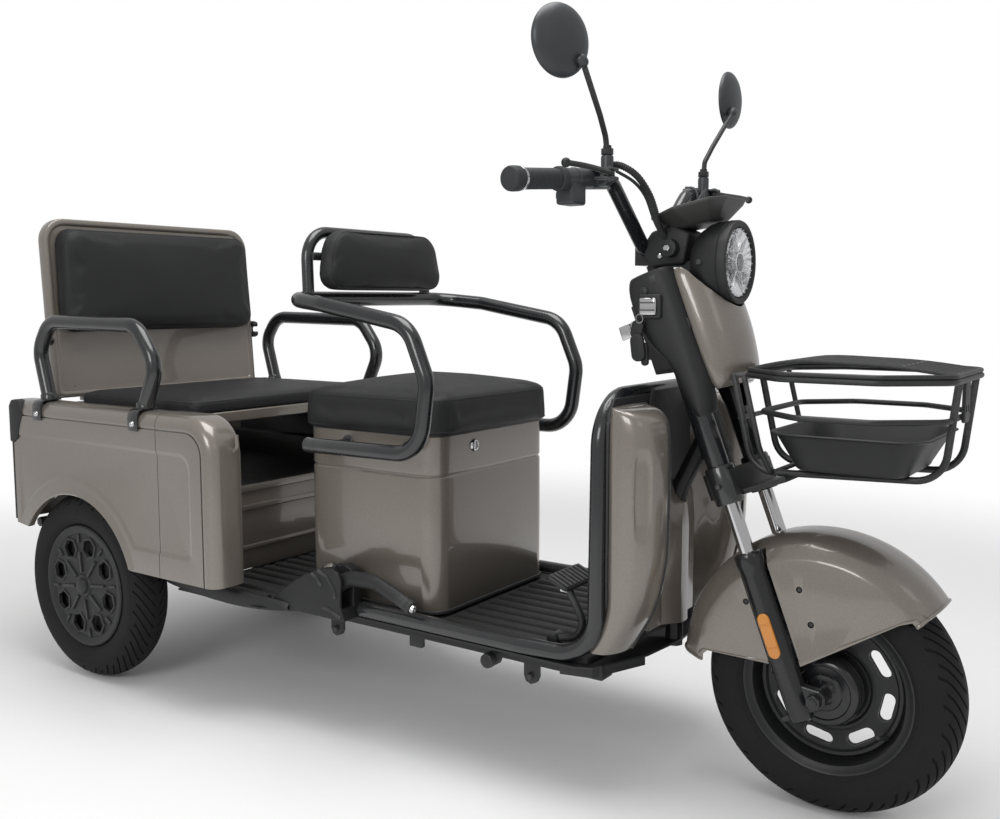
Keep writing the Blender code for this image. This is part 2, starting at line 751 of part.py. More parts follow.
def battery_pack():
    low = (SEAT_REAR + 0.030, -0.135, BOX_BOTTOM)
    pack = block(low, (SEAT_FRONT - 0.060, 0.135, 0.420))
    handle = tube(
        bent([(0.62, 0, 0.415), (0.62, 0, 0.445), (0.74, 0, 0.445), (0.74, 0, 0.415)], 0.02), 0.007, 2,
    )
    return fuse(pack, handle)


node("battery_pack", battery_pack(), BLACK_PLASTIC)


# Front seat, hinged at the back of the box
SEAT_PAN = 0.010
SEAT_HINGE = Vector((SEAT_REAR - 0.0025, 0.0, SEAT_BOX_TOP + GAP))
CUSHION_GROW = 0.007


def seat_base():
    y = SEAT_HALF_WIDTH + 0.002
    outline = rounded_box_outline((SEAT_REAR - 0.002, -y), (SEAT_FRONT + 0.002, y), SEAT_CORNER, 3)
    plate = prism(outline, SEAT_BOX_TOP + GAP, SEAT_BOX_TOP + GAP + SEAT_PAN)
    locator = block(
        (SEAT_FRONT - 0.045, -0.030, SEAT_BOX_TOP - 0.022),
        (SEAT_FRONT - 0.015, 0.030, SEAT_BOX_TOP + 0.004),
    )
    return fuse(plate, locator)


node("front_seat_base", seat_base(), BLACK_PLASTIC, SEAT_HINGE)
cushion_low = SEAT_BOX_TOP + SEAT_PAN + 2 * GAP
node(
    "front_seat_cushion",
    cushion(
        (SEAT_REAR - CUSHION_GROW, -SEAT_HALF_WIDTH - CUSHION_GROW, cushion_low),
        (SEAT_FRONT + CUSHION_GROW, SEAT_HALF_WIDTH + CUSHION_GROW, cushion_low + SEAT_CUSHION_HEIGHT),
        0.018, 0.025, 0.040, 0,
    ),
    VINYL, SEAT_HINGE, 60.0,
)


# Front armrest: one tube from the right side of the box, round behind the seat, to the left side
HOOP_BACK_HALF = 0.178
HOOP_BACK_TOP = 0.952
STUB_X = (0.640, 0.790)
PAD_BACK = ARM_BACK_X + 0.017
PAD_MIDDLE = 0.904


def armrest_path():
    half = [
        (0.598, ARM_SPREAD, ARM_LOW), (0.868, ARM_SPREAD, ARM_LOW + 0.002), (0.886, ARM_SPREAD, 0.680),
        (0.845, ARM_SPREAD, 0.776), (0.640, ARM_SPREAD, 0.812), (ARM_BACK_X, ARM_SPREAD - 0.020, ARM_HIGH),
    ]
    return bent(half + [(x, -y, z) for x, y, z in reversed(half)], 0.062, 2)


def front_armrest():
    loop = tube(armrest_path(), ARM_RADIUS)
    inner = SEAT_HALF_WIDTH + GAP
    extras = []
    for side in (1, -1):
        for x in STUB_X:
            extras.append(rod((x, side * inner, ARM_LOW), (x, side * ARM_SPREAD, ARM_LOW), 0.009, 6))
    back = [
        (ARM_BACK_X, -HOOP_BACK_HALF, ARM_HIGH), (ARM_BACK_X - 0.004, -HOOP_BACK_HALF, HOOP_BACK_TOP),
        (ARM_BACK_X - 0.004, HOOP_BACK_HALF, HOOP_BACK_TOP), (ARM_BACK_X, HOOP_BACK_HALF, ARM_HIGH),
    ]
    extras.append(tube(bent(back, 0.055, 2), 0.0115))
    bar = (PAD_BACK - GAP - 0.008, HOOP_BACK_HALF, PAD_MIDDLE)
    extras.append(rod((bar[0], -bar[1], bar[2]), bar, 0.008, 8))
    return fuse(loop, *extras)


node("front_armrest", front_armrest(), GLOSS_BLACK)

# Front backrest pad, in front of its hoop
def tipped_pad(width, height, depth, crown, place, lean, taper):
    """A cushion stood on edge: its flat back at the place, its face forward."""
    pad = cushion((-height / 2, -width / 2, 0.0), (height / 2, width / 2, depth), crown, 0.02, 0.020, 0)
    for vert in pad.data.vertices:
        rise = (vert.co.x / height + 0.5)
        vert.co.y *= 1.0 - taper * rise * rise
    stand = Matrix(((0, 0, 1, 0), (0, 1, 0, 0), (1, 0, 0, 0), (0, 0, 0, 1)))
    moved(pad, stand)
    return moved(pad, Matrix.Translation(place) @ Matrix.Rotation(-lean, 4, "Y"))


def front_pad():
    place = Vector((PAD_BACK, 0.0, PAD_MIDDLE))
    return tipped_pad(0.352, 0.118, 0.040, 0.010, place, math.radians(2.0), 0.16)


node("front_backrest_pad", front_pad(), VINYL, sharp=60.0)


# Rear body side panels, with a rolled rail along the top and a wheel arch
def panel_section(bottom):
    """Half section of the side: down the outside, over the rail and in."""
    y, top = BODY_HALF_WIDTH, BODY_TOP
    points = [(y, bottom), (y, top - CAP_RADIUS - 0.014), (y - 0.004, top - CAP_RADIUS - 0.010)]
    points += arc((y - 0.002 - CAP_RADIUS, top - CAP_RADIUS), CAP_RADIUS, 0, 90, 4)
    points += [(y - CAP_DEPTH, top - 0.003), (y - CAP_DEPTH - 0.003, top - 0.018)]
    return points


ARCH_LIP = 0.012


def side_panel(side):
    section = panel_section(DOOR_BOTTOM)
    rows = [[(x, side * y, z) for y, z in section] for x in (BODY_REAR, BODY_SEAM - GAP)]
    skin = sheet(rows, BODY_SKIN, -1.0 if side > 0 else 1.0)
    y0, y1 = sorted((side * 0.325, side * 0.375))
    arch = turned(
        [(0.0, y1), (ARCH_RADIUS, y1), (ARCH_RADIUS, y0), (0.0, y0)], (0.0, 0.0, AXLE_Z), (0, 1, 0), 32,
    )
    tail = prism(
        [(BODY_REAR - 0.01, 0.20), (0.0, 0.20), (0.0, 0.315), (BODY_REAR - 0.01, 0.322)], y0, y1, "XZ",
    )
    skin = cut(skin, arch, tail)
    lip_in = BODY_HALF_WIDTH - BODY_SKIN - GAP
    start, end = math.radians(23.0), math.radians(146.0)
    rows = []
    for i in range(10):
        angle = start + (end - start) * i / 9
        row = []
        for radius, y in (
            (ARCH_RADIUS + 0.016, lip_in + 0.002), (ARCH_RADIUS + 0.003, lip_in + 0.0050),
            (ARCH_RADIUS, lip_in + 0.001),
        ):
            row.append((radius * math.cos(angle), side * y, AXLE_Z + radius * math.sin(angle)))
        rows.append(row)
    flare = sheet(rows, 0.0022, 0.0)
    return fuse(skin, flare)


for side, word in ((1, "left"), (-1, "right")):
    node("side_panel_" + word, side_panel(side), TAUPE)


# Corner doors: the side wraps round the front corner, under the same rolled rail
DOOR_BEND = 0.078
DOOR_INNER = BODY_HALF_WIDTH - CAP_DEPTH - 0.012
DOOR_HINGE = Vector((BODY_SEAM + GAP, BODY_HALF_WIDTH + 0.0005, 0.0))


def door_outline(shrink):
    """Side view of the door, each edge but the hinge edge moved in by the shrink."""
    front, top, low = BODY_FRONT - shrink, BODY_TOP - shrink, DOOR_BOTTOM
    radius = DOOR_BEND - shrink
    points = [(BODY_SEAM + GAP, low), (front, low)]
    points += arc((front - radius, top - radius), radius, 0, 90, 5)
    points.append((BODY_SEAM + GAP, top))
    return points


def door(side):
    """Rings of the door outline, from the side face out over the rolled edge and inwards."""
    y = BODY_HALF_WIDTH
    rings = [(0.024, y), (0.008, y - 0.006), (0.0, y - 0.022), (0.0, DOOR_INNER)]
    shape = bmesh.new()
    face = [shape.verts.new((x, side * y, z)) for x, z in door_outline(rings[0][0])]
    shape.faces.new(face)
    outer = face[1:]
    for shrink, depth in rings[1:]:
        inner = [shape.verts.new((x, side * depth, z)) for x, z in door_outline(shrink)[1:]]
        for i in range(len(outer) - 1):
            shape.faces.new((outer[i + 1], outer[i], inner[i], inner[i + 1]))
        outer = inner
    obj = from_bmesh(shape)
    wall = obj.modifiers.new("wall", "SOLIDIFY")
    wall.thickness = BODY_SKIN
    wall.offset = -1.0 if side < 0 else 1.0
    wall.use_even_offset = True
    return solid(obj)


for side, word in ((1, "left"), (-1, "right")):
    hinge = Vector((DOOR_HINGE.x, side * DOOR_HINGE.y, DOOR_BOTTOM))
    node("corner_door_" + word, door(side), TAUPE, hinge)


# Tub under the bench: shelf, wheel well steps, walls and the panelled front
BOARD_HALF = BODY_HALF_WIDTH - CAP_DEPTH - 0.003 - BODY_SKIN - 2 * GAP
TUB_HALF = BOARD_HALF - 0.001
WELL_HALF = REAR_WHEEL_Y - 0.053
FACE_HALF = BODY_HALF_WIDTH - 0.068
WELL_TOP = 0.470
TUB_WALL = 0.0025
TUB_FRONT = 0.290
TUB_REAR = BODY_REAR + 0.008


def rear_tub():
    top = BODY_TOP - 0.024
    half = [(WELL_HALF, SHELF_Z), (WELL_HALF, WELL_TOP), (TUB_HALF, WELL_TOP), (TUB_HALF, top)]
    section = [(-y, z) for y, z in reversed(half)] + half
    rows = [[(x, y, z) for y, z in section] for x in (TUB_REAR, TUB_FRONT)]
    tub = sheet(rows, TUB_WALL, -1.0)
    low = DOOR_BOTTOM
    face = block((TUB_FRONT - 0.008, -FACE_HALF, low), (TUB_FRONT, FACE_HALF, SHELF_Z + 0.006))
    bands = []
    for z0, z1 in ((0.408, 0.421), (0.368, 0.380), (0.283, 0.292)):
        reach = FACE_HALF - 0.002
        bands.append(block((TUB_FRONT - 0.004, -reach, z0), (TUB_FRONT + 0.004, reach, z1)))
    return fuse(tub, face, *bands)


node("rear_tub", rear_tub(), SATIN_BLACK)


def tail_panel():
    y = BODY_HALF_WIDTH - BODY_SKIN - 2 * GAP
    x0, x1 = BODY_REAR, BODY_REAR + BODY_SKIN
    outline = [(-y, 0.330), (y, 0.330), (y, BODY_TOP - 0.040), (y - 0.020, BODY_TOP - 0.028)]
    outline += [(-y + 0.020, BODY_TOP - 0.028), (-y, BODY_TOP - 0.040)]
    extras = [block((x0 - 0.004, -0.200, 0.400), (x0 + 0.001, 0.200, 0.520))]
    for side in (1, -1):
        inner, outer = sorted((side * 0.290, side * (y - 0.001)))
        extras.append(block((x0 - LAMP_REACH, inner, 0.402), (x0 + 0.001, outer, 0.468), 0.006))
    extras.append(block((x0 + 0.001, -TUB_HALF, 0.560), (TUB_REAR - GAP, TUB_HALF, 0.570)))
    return fuse(prism(outline, x0, x1, "YZ"), *extras)


node("tail_panel", tail_panel(), TAUPE)


# Bench board with its painted front trim, and the thin bench cushion
BOARD_REAR = BACK_FOOT_X + 0.020
BOARD_TOP = BENCH_TOP - GAP
HINGE_SPREAD = 0.200        # straps of the folding backrest


def bench_board():
    low = BODY_TOP - 0.024 + GAP
    plate = block((BOARD_REAR, -BOARD_HALF, low), (BENCH_FRONT - 0.004, BOARD_HALF, BOARD_TOP))
    reach = BODY_HALF_WIDTH - 0.080
    trim = block((BENCH_FRONT - 0.006, -reach, BOARD_TOP - 0.024), (BENCH_FRONT, reach, BOARD_TOP))
    extras = [trim]
    for y in (HINGE_SPREAD, -HINGE_SPREAD):
        extras.append(
            block((BACK_FOOT_X - 0.034, y - 0.025, low), (BOARD_REAR + 0.010, y + 0.025, BOARD_TOP)),
        )
    return fuse(plate, *extras)


node("bench_board", bench_board(), TAUPE)
node(
    "bench_cushion",
    cushion(
        (BOARD_REAR + 0.020, -BENCH_HALF_WIDTH, BENCH_TOP),
        (BENCH_FRONT + 0.004, BENCH_HALF_WIDTH, BENCH_TOP + BENCH_CUSHION),
        0.006, 0.012, 0.020, 0,
    ),
    VINYL, sharp=60.0,
)


# Rear backrest: painted shell with a rolled rim, and a pad on its upper half
BACK_HINGE = Vector((BACK_FOOT_X, 0.0, BODY_TOP - 0.012))
BACK_PLACE = Matrix.Translation(BACK_HINGE) @ Matrix.Rotation(-BACK_LEAN, 4, "Y")
BACK_LIFT = 0.012
BACK_CORNER = 0.052


def backrest_shell():
    """Drawn upright with its face at X 0, then leaned back."""
    high = BACK_LIFT + BACK_HEIGHT
    outline = [(-BACK_HALF_WIDTH, BACK_LIFT), (BACK_HALF_WIDTH, BACK_LIFT)]
    outline += arc((BACK_HALF_WIDTH - BACK_CORNER, high - BACK_CORNER), BACK_CORNER, 0, 90, 5)
    outline += arc((-BACK_HALF_WIDTH + BACK_CORNER, high - BACK_CORNER), BACK_CORNER, 90, 180, 5)
    body = prism(outline, -BACK_DEPTH, 0.0, "YZ")
    hollow = [(y * 0.955, BACK_LIFT + 0.012 + (z - BACK_LIFT) * 0.94) for y, z in outline]
    body = cut(body, prism(hollow, -BACK_DEPTH - 0.01, -0.006, "YZ"))
    for side in (1, -1):
        y = side * HINGE_SPREAD
        strap = block((-0.030, y - 0.02, 0.0022), (-0.006, y + 0.02, BACK_LIFT + 0.030))
        body = fuse(body, strap)
    return moved(body, BACK_PLACE)


PAD_BOTTOM = 0.156
PAD_HEIGHT = 0.236


def backrest_pad():
    place = Vector((GAP, 0.0, PAD_BOTTOM + PAD_HEIGHT / 2))
    pad = tipped_pad(2 * BACK_HALF_WIDTH - 0.040, PAD_HEIGHT, 0.040, 0.010, place, 0.0, 0.03)
    return moved(pad, BACK_PLACE)


node("rear_backrest_shell", backrest_shell(), TAUPE, BACK_HINGE)
node("rear_backrest_pad", backrest_pad(), VINYL, BACK_HINGE, 60.0)


# Rear armrests, each a tube standing in two clamps on the rolled rail
REAR_FOOT_X = -0.112
FRONT_FOOT_X = 0.224


def rear_armrest(side):
    y = side * BENCH_ARM_SPREAD
    foot = BODY_TOP + GAP
    start = foot + 0.45 * BENCH_ARM_RADIUS
    points = [
        (REAR_FOOT_X, y, start), (-0.142, y, 0.712), (-0.098, y, 0.774),
        (0.204, y, 0.769), (0.264, y, 0.690), (FRONT_FOOT_X, y, start),
    ]
    arm = tube(bent(points, 0.058, 2), BENCH_ARM_RADIUS)
    pads = []
    for x in (REAR_FOOT_X, FRONT_FOOT_X):
        y0, y1 = sorted((side * (BODY_HALF_WIDTH - CAP_DEPTH + 0.008), side * (BODY_HALF_WIDTH - 0.006)))
        pads.append(block((x - 0.017, y0, foot), (x + 0.017, y1, foot + 0.008)))
    return fuse(arm, *pads)


for side, word in ((1, "left"), (-1, "right")):
    node("rear_armrest_" + word, rear_armrest(side), GLOSS_BLACK)


# Handbrake on the right floor edge
BRAKE_PIVOT = Vector((0.655, -0.2500, 0.284))
LEVER_WIDTH = 0.022


def handbrake_housing():
    base = RAIL_TOP + GAP
    outline = [
        (0.505, base), (0.700, base), (0.700, 0.262), (0.676, 0.303), (0.640, 0.312),
        (0.590, 0.309), (0.545, 0.286), (0.505, 0.250),
    ]
    shell = prism(outline, -0.272, -0.2125, "XZ")
    slot = prism([(0.622, 0.252), (0.71, 0.252), (0.71, 0.33), (0.622, 0.33)], -0.2625, -0.2375, "XZ")
    skirt = prism(
        [(0.440, 0.2140), (0.640, 0.2140), (0.640, 0.2460), (0.520, 0.2460), (0.440, 0.232)], -0.301,
        -0.2970, "XZ",
    )
    rim = block((0.505, -0.300, RAIL_TOP + GAP), (0.560, -0.268, RAIL_TOP + 0.010))
    return fuse(cut(shell, slot), skirt, rim)


def handbrake_lever():
    points = [
        BRAKE_PIVOT, (0.700, -0.250, 0.308), (0.760, -0.250, 0.311), (0.812, -0.250, 0.292),
        (0.845, -0.250, 0.277),
    ]
    arm = tube(bent(points, 0.06, 2), LEVER_WIDTH / 2)
    eye = rod(BRAKE_PIVOT + Vector((0, 0.0119, 0)), BRAKE_PIVOT - Vector((0, 0.0119, 0)), 0.016, 10)
    lever = fuse(arm, eye)
    tip = Vector(points[-1])
    way = (tip - Vector(points[-2])).normalized()
    bore = rod(tip - way * 0.030, tip + way * 0.01, (0.0075 + GAP) / math.cos(math.pi / 8), 8)
    return cut(lever, bore), tip, way


node("handbrake_housing", handbrake_housing(), BLACK_PLASTIC)
lever, lever_tip, lever_way = handbrake_lever()
node("handbrake_lever", lever, BLACK_PLASTIC, BRAKE_PIVOT)
BUTTON_TRAVEL = 0.006
button = rod(
    lever_tip - lever_way * (0.030 - BUTTON_TRAVEL - GAP), lever_tip + lever_way * 0.009, 0.0075, 8,
)
node("handbrake_button", button, CHROME, lever_tip)


# Foot brake pedal on the right, just behind the shield
PEDAL_X = HOOP_X - 0.092
PEDAL_PIVOT = Vector((PEDAL_X, -0.188, FLOOR_TOP + 0.0105))


def brake_pedal():
    path = [
        PEDAL_PIVOT, (PEDAL_X + 0.042, -0.188, 0.262), (PEDAL_X + 0.055, -0.188, 0.292),
        (PEDAL_X + 0.020, -0.188, 0.352),
    ]
    stalk = tube(bent(path, 0.03, 2), 0.0065, 1)
    barrel = rod(PEDAL_PIVOT - Vector((0, 0.014, 0)), PEDAL_PIVOT + Vector((0, 0.014, 0)), 0.010, 10)
    foot = block((PEDAL_X + 0.004, -0.215, 0.336), (PEDAL_X + 0.011, -0.115, 0.372))
    link = block((PEDAL_X + 0.008, -0.194, 0.342), (PEDAL_X + 0.022, -0.182, 0.354))
    return fuse(stalk, barrel, foot, link)


node("brake_pedal", brake_pedal(), SATIN_BLACK, PEDAL_PIVOT)


# Steering: stem, lower and upper crowns and the black upper tubes
CROWN_LOW = 0.335
CROWN_HIGH = 0.378
TOP_CROWN_LOW = 0.700
TOP_CROWN_HIGH = 0.714
STEM_TOP = 0.748
COVER_FRONT = 0.0610        # face of the column cover, ahead of the steering axis
HEAD_COVER_BASE = COVER_FRONT + 0.0012
CLAMP_HALF = 0.020


def bar_path():
    half = [
        (BAR_X, 0.020, BAR_CLAMP_Z), (BAR_X, BAR_BEND_Y, BAR_BEND_Z), tuple(BAR_END),
    ]
    return bent([(x, -y, z) for x, y, z in reversed(half)] + half, 0.035, 2)


def fork_crown():
    place = fork_matrix()
    low = rounded_box_outline((-0.030, -0.098), (CROWN_OFFSET + 0.026, 0.098), 0.020, 2)
    body = moved(prism(low, CROWN_LOW, CROWN_HIGH), place)
    top = rounded_box_outline((-0.024, -0.096), (CROWN_OFFSET + 0.022, 0.096), 0.018, 2)
    extras = [moved(prism(top, TOP_CROWN_LOW, TOP_CROWN_HIGH), place)]
    extras.append(rod(on_fork(CROWN_LOW + 0.005), on_fork(STEM_TOP), STEM_RADIUS, 10))
    extras.append(rod(on_fork(CROWN_HIGH - 0.003), on_fork(HEAD_LOW - GAP), 0.023, 10))
    for side in (LEG_SPREAD, -LEG_SPREAD):
        lower = on_fork(CROWN_HIGH - 0.005, CROWN_OFFSET, side)
        upper = on_fork(TOP_CROWN_LOW + 0.004, CROWN_OFFSET, side)
        extras.append(rod(lower, upper, UPPER_TUBE_RADIUS, 10))
        near, far = sorted((side * 0.93, side * 1.07))
        lug = block((CROWN_OFFSET + 0.008, near, 0.612), (HEAD_COVER_BASE - GAP, far, 0.630))
        extras.append(moved(lug, place))
    hoop_low = BASKET_BOTTOM + 0.203 * HOOP_RISE - HOOP_WIRE * HOOP_FLAT
    arm_top = hoop_low - GAP - STEER_FOOT.z - ARM_REACH * math.sin(RAKE)
    arm_top /= math.cos(RAKE)
    arm = block((CROWN_OFFSET + 0.015, -0.072, arm_top - 0.008), (ARM_REACH, 0.072, arm_top))
    extras.append(moved(arm, place))
    clamp = block(
        (BAR_X - 0.019, -CLAMP_HALF, BAR_CLAMP_Z - 0.024),
        (BAR_X + 0.019, CLAMP_HALF, BAR_CLAMP_Z + 0.018),
    )
    extras.append(clamp)
    crown = fuse(body, *extras)
    crown = cut(crown, tube(bar_path(), BAR_RADIUS + GAP))
    sockets = []
    for side in (LEG_SPREAD, -LEG_SPREAD):
        lower = on_fork(CROWN_LOW - 0.02, CROWN_OFFSET, side)
        upper = on_fork(CROWN_HIGH - 0.010, CROWN_OFFSET, side)
        sockets.append(rod(lower, upper, STANCHION_RADIUS + GAP, 10))
    return cut(crown, *sockets)


STEER_ORIGIN = on_fork(HEAD_LOW)
node("fork_crown", fork_crown(), SATIN_BLACK, STEER_ORIGIN)

LEG_TOP = 0.243
LEG_BOTTOM = -0.030
STANCHION_LOW = 0.100
for side, word in ((1, "left"), (-1, "right")):
    ends = (
        on_fork(STANCHION_LOW, CROWN_OFFSET, side * LEG_SPREAD),
        on_fork(CROWN_HIGH - 0.010 - GAP, CROWN_OFFSET, side * LEG_SPREAD),
    )
    node("fork_stanchion_" + word, rod(*ends, STANCHION_RADIUS, 10), CHROME, STEER_ORIGIN)


# Fork lowers with the axle and the drum plate
def fork_lowers():
    half_axle = LEG_SPREAD + LEG_RADIUS + 0.004
    body = rod(
        FRONT_AXLE - Vector((0, half_axle, 0)), FRONT_AXLE + Vector((0, half_axle, 0)), FRONT_AXLE_RADIUS,
        10,
    )
    extras, bores = [], []
    for side in (LEG_SPREAD, -LEG_SPREAD):
        foot = on_fork(LEG_BOTTOM, CROWN_OFFSET, side)
        profile = [
            (0.0, LEG_TOP - LEG_BOTTOM), (LEG_RADIUS + 0.001, LEG_TOP - LEG_BOTTOM),
            (LEG_RADIUS + 0.001, LEG_TOP - LEG_BOTTOM - 0.022),
            (LEG_RADIUS - 0.001, LEG_TOP - LEG_BOTTOM - 0.030),
            (LEG_RADIUS - 0.002, 0.0), (0.0, 0.0),
        ]
        extras.append(turned(profile, foot, STEER_UP, 10))
        lug = [
            (0.0, -0.020), (AXLE_LEAD, -0.017), (AXLE_LEAD + 0.016, 0.0), (AXLE_LEAD, 0.017), (0.0, 0.026),
        ]
        plate = prism([(CROWN_OFFSET + a, b) for a, b in lug], side - 0.009, side + 0.009, "XZ")
        extras.append(moved(plate, fork_matrix()))
        nut_out = side + math.copysign(LEG_RADIUS + 0.002, side)
        extras.append(rod((WHEELBASE, side, AXLE_Z), (WHEELBASE, nut_out, AXLE_Z), 0.012, 6))
        bores.append(
            rod(
                on_fork(STANCHION_LOW - FORK_TRAVEL - 0.012, CROWN_OFFSET, side),
                on_fork(LEG_TOP + 0.01, CROWN_OFFSET, side), STANCHION_RADIUS + GAP, 10,
            ),
        )
    plate_y = -FRONT_HUB_HALF - RUNNING_GAP
    extras.append(
        turned(
            [
                (0.0, plate_y), (DRUM_RADIUS - 0.002, plate_y), (DRUM_RADIUS - 0.006, plate_y - 0.010),
                (0.0, plate_y - 0.015),
            ],
            FRONT_AXLE, (0, 1, 0), 14,
        ),
    )
    extras.append(
        rod((WHEELBASE, -LEG_SPREAD + 0.004, AXLE_Z), (WHEELBASE, plate_y - 0.010, AXLE_Z), 0.013, 8),
    )
    extras.append(
        rod(
            (WHEELBASE, FRONT_HUB_HALF + RUNNING_GAP, AXLE_Z), (WHEELBASE, LEG_SPREAD - 0.004, AXLE_Z),
            0.011, 8,
        ),
    )
    return cut(fuse(body, *extras), *bores)


node("fork_lowers", fork_lowers(), SATIN_BLACK, on_fork(0.0, CROWN_OFFSET))


# Front fender: a deep rounded guard, notched round the fork legs
FENDER_RADIUS = 0.2560
FENDER_HALF = 0.0750
FENDER_FRONT = 44.0
FENDER_REAR = 173.0
FENDER_WALL = 0.0025
FENDER_STEPS = 12


def fender_edge(angle):
    """Radius where the side wall ends: along one line ahead of the axle and a level one behind it."""
    ahead = 0.0535 / max(math.sin(angle - math.radians(32.0)), 0.01)
    behind = 0.0405 / max(math.sin(math.pi - angle), 0.01)
    return min(max(ahead, behind), TYRE_RADIUS - 0.010)


def front_fender():
    rows = []
    for i in range(FENDER_STEPS + 1):
        share = i / FENDER_STEPS
        angle = math.radians(FENDER_FRONT + (FENDER_REAR - FENDER_FRONT) * share)
        squeeze = 1.0 - 0.14 * max(0.0, 1.0 - share * 4.0) ** 2 - 0.08 * max(0.0, share * 5.0 - 4.0) ** 2
        top = FENDER_RADIUS - (0.023 if share < 0.5 else 0.011) * abs(2 * share - 1) ** 1.5
        half = [
            (fender_edge(angle), FENDER_HALF), (top - 0.036, FENDER_HALF - 0.002),
            (top - 0.014, FENDER_HALF - 0.018), (top, FENDER_HALF - 0.050),
        ]
        section = half + [(radius, -y) for radius, y in reversed(half)]
        place = Vector((math.cos(angle), 0.0, math.sin(angle)))
        rows.append(
            [FRONT_AXLE + place * radius + Vector((0.0, y * squeeze, 0.0)) for radius, y in section]
        )
    shell = sheet(rows, FENDER_WALL, -1.0)
    cutters = []
    for side in (LEG_SPREAD, -LEG_SPREAD):
        ends = on_fork(-0.05, CROWN_OFFSET, side), on_fork(0.30, CROWN_OFFSET, side)
        cutters.append(rod(*ends, (LEG_RADIUS + 0.001 + 2 * GAP) / math.cos(math.pi / 10), 10))
    return cut(shell, *cutters)


node("front_fender", front_fender(), TAUPE, on_fork(0.0, CROWN_OFFSET), 50.0)


# Handlebar, grips, perches, levers and mirrors
node("handlebar", tube(bar_path(), BAR_RADIUS), SATIN_BLACK, STEER_ORIGIN)
BAR_WAY = (BAR_END - Vector((BAR_X, BAR_BEND_Y, BAR_BEND_Z))).normalized()
GRIP_LENGTH = (BAR_END.y - GRIP_START) / BAR_WAY.y


def bar_spot(y):
    """A point on the left half of the bar's outer stretch, at this distance from the middle."""
    start = Vector((BAR_X, BAR_BEND_Y, BAR_BEND_Z))
    return start + BAR_WAY * ((y - BAR_BEND_Y) / BAR_WAY.y)


def grip():
    """Left grip: ribbed sleeve, collar ring and end knob, closed over the bar's end."""
    start = bar_spot(GRIP_START)
    total = GRIP_LENGTH + 0.008
    r = GRIP_RADIUS
    profile = [
        (0.0, total), (r + 0.002, total), (r + 0.003, total - 0.020), (r - 0.001, total - 0.023),
        (r, total - 0.034),
        (r - 0.0008, 0.010), (r + 0.003, 0.008), (r + 0.003, 0.0), (0.0, 0.0),
    ]
    sleeve = turned(profile, start, BAR_WAY, 12)
    bore_radius = (BAR_RADIUS + RUNNING_GAP) / math.cos(math.pi / 12)
    return cut(sleeve, rod(start - BAR_WAY * 0.01, start + BAR_WAY * (GRIP_LENGTH + GAP), bore_radius, 12))


left_grip = grip()
node("throttle_grip", mirrored(left_grip), RUBBER, Vector((1, -1, 1)) * bar_spot(GRIP_START))
node("grip_left", left_grip, RUBBER, STEER_ORIGIN)

MIRROR_Y = 0.182
BOSS_TOP = Vector((BAR_X + 0.015, MIRROR_Y, 1.0440))
LEVER_PIVOT = bar_spot(0.200) + Vector((0.0360, 0.0, 0.0060))
LEVER_PIN = 0.0040
PERCH_START = 0.160
PERCH_SLEEVE = 0.0165


def perch():
    """Left switch and lever housing, with the mirror boss."""
    end = bar_spot(GRIP_START) - BAR_WAY * 2 * RUNNING_GAP
    sleeve = rod(bar_spot(PERCH_START), end, PERCH_SLEEVE, 10)
    middle = bar_spot(0.243)
    case = block(middle + Vector((-0.018, -0.022, -0.040)), middle + Vector((0.014, 0.0190, 0.004)), 0.004)
    boss = rod(BOSS_TOP - Vector((0, 0, 0.040)), BOSS_TOP, 0.0100, 8)
    ear_low = LEVER_PIVOT + Vector((-0.034, -0.016, -0.0100))
    ear = block(ear_low, LEVER_PIVOT + Vector((0.009, 0.010, -0.0040 - GAP)))
    top_ear = block(
        LEVER_PIVOT + Vector((-0.034, -0.016, 0.0040 + GAP)), LEVER_PIVOT + Vector((0.009, 0.010, 0.0090)),
    )
    body = fuse(sleeve, case, boss, ear, top_ear)
    pin = rod(LEVER_PIVOT - Vector((0, 0, 0.008)), LEVER_PIVOT + Vector((0, 0, 0.008)), LEVER_PIN, 8)
    body = fuse(body, pin)
    return cut(body, tube(bar_path(), BAR_RADIUS + GAP))


left_perch = perch()
node("perch_right", mirrored(left_perch), BLACK_PLASTIC, STEER_ORIGIN)
node("perch_left", left_perch, BLACK_PLASTIC, STEER_ORIGIN)

LEVER_TIP = Vector((BAR_X + 0.039, 0.345, 1.014))


def brake_lever():
    """Left lever: an eye on the pivot pin and a blade that ends in a ball."""
    eye = rod(LEVER_PIVOT - Vector((0, 0, 0.0038)), LEVER_PIVOT + Vector((0, 0, 0.0038)), 0.0085, 10)
    knuckle = LEVER_PIVOT + Vector((0.009, 0.030, 0.0))
    path = [
        LEVER_PIVOT + Vector((0.003, 0.006, 0.0)), knuckle, LEVER_TIP + Vector((0.004, -0.05, 0.0)),
        LEVER_TIP,
    ]
    blade = tube(bent(path, 0.03, 2), 0.0036, 1)
    lever_body = fuse(eye, blade, ball(LEVER_TIP, 0.0072, 4))
    hole = rod(
        LEVER_PIVOT - Vector((0, 0, 0.02)), LEVER_PIVOT + Vector((0, 0, 0.02)),
        (LEVER_PIN + RUNNING_GAP) / math.cos(math.pi / 8), 8,
    )
    return cut(lever_body, hole)


left_lever = brake_lever()
node("brake_lever_right", mirrored(left_lever), SATIN_BLACK, Vector((1, -1, 1)) * LEVER_PIVOT)
node("brake_lever_left", left_lever, SATIN_BLACK, LEVER_PIVOT)

MIRROR_CENTRE = {
    "left": Vector((BAR_X + 0.017, 0.312, 1.203)), "right": Vector((BAR_X + 0.011, 0.305, 1.196)),
}
BALL_SEAT = Vector((0.008, -0.029, -0.030))
BALL_RADIUS = 0.0085
MIRROR_TURN = {"left": math.radians(3.5), "right": math.radians(18.0)}


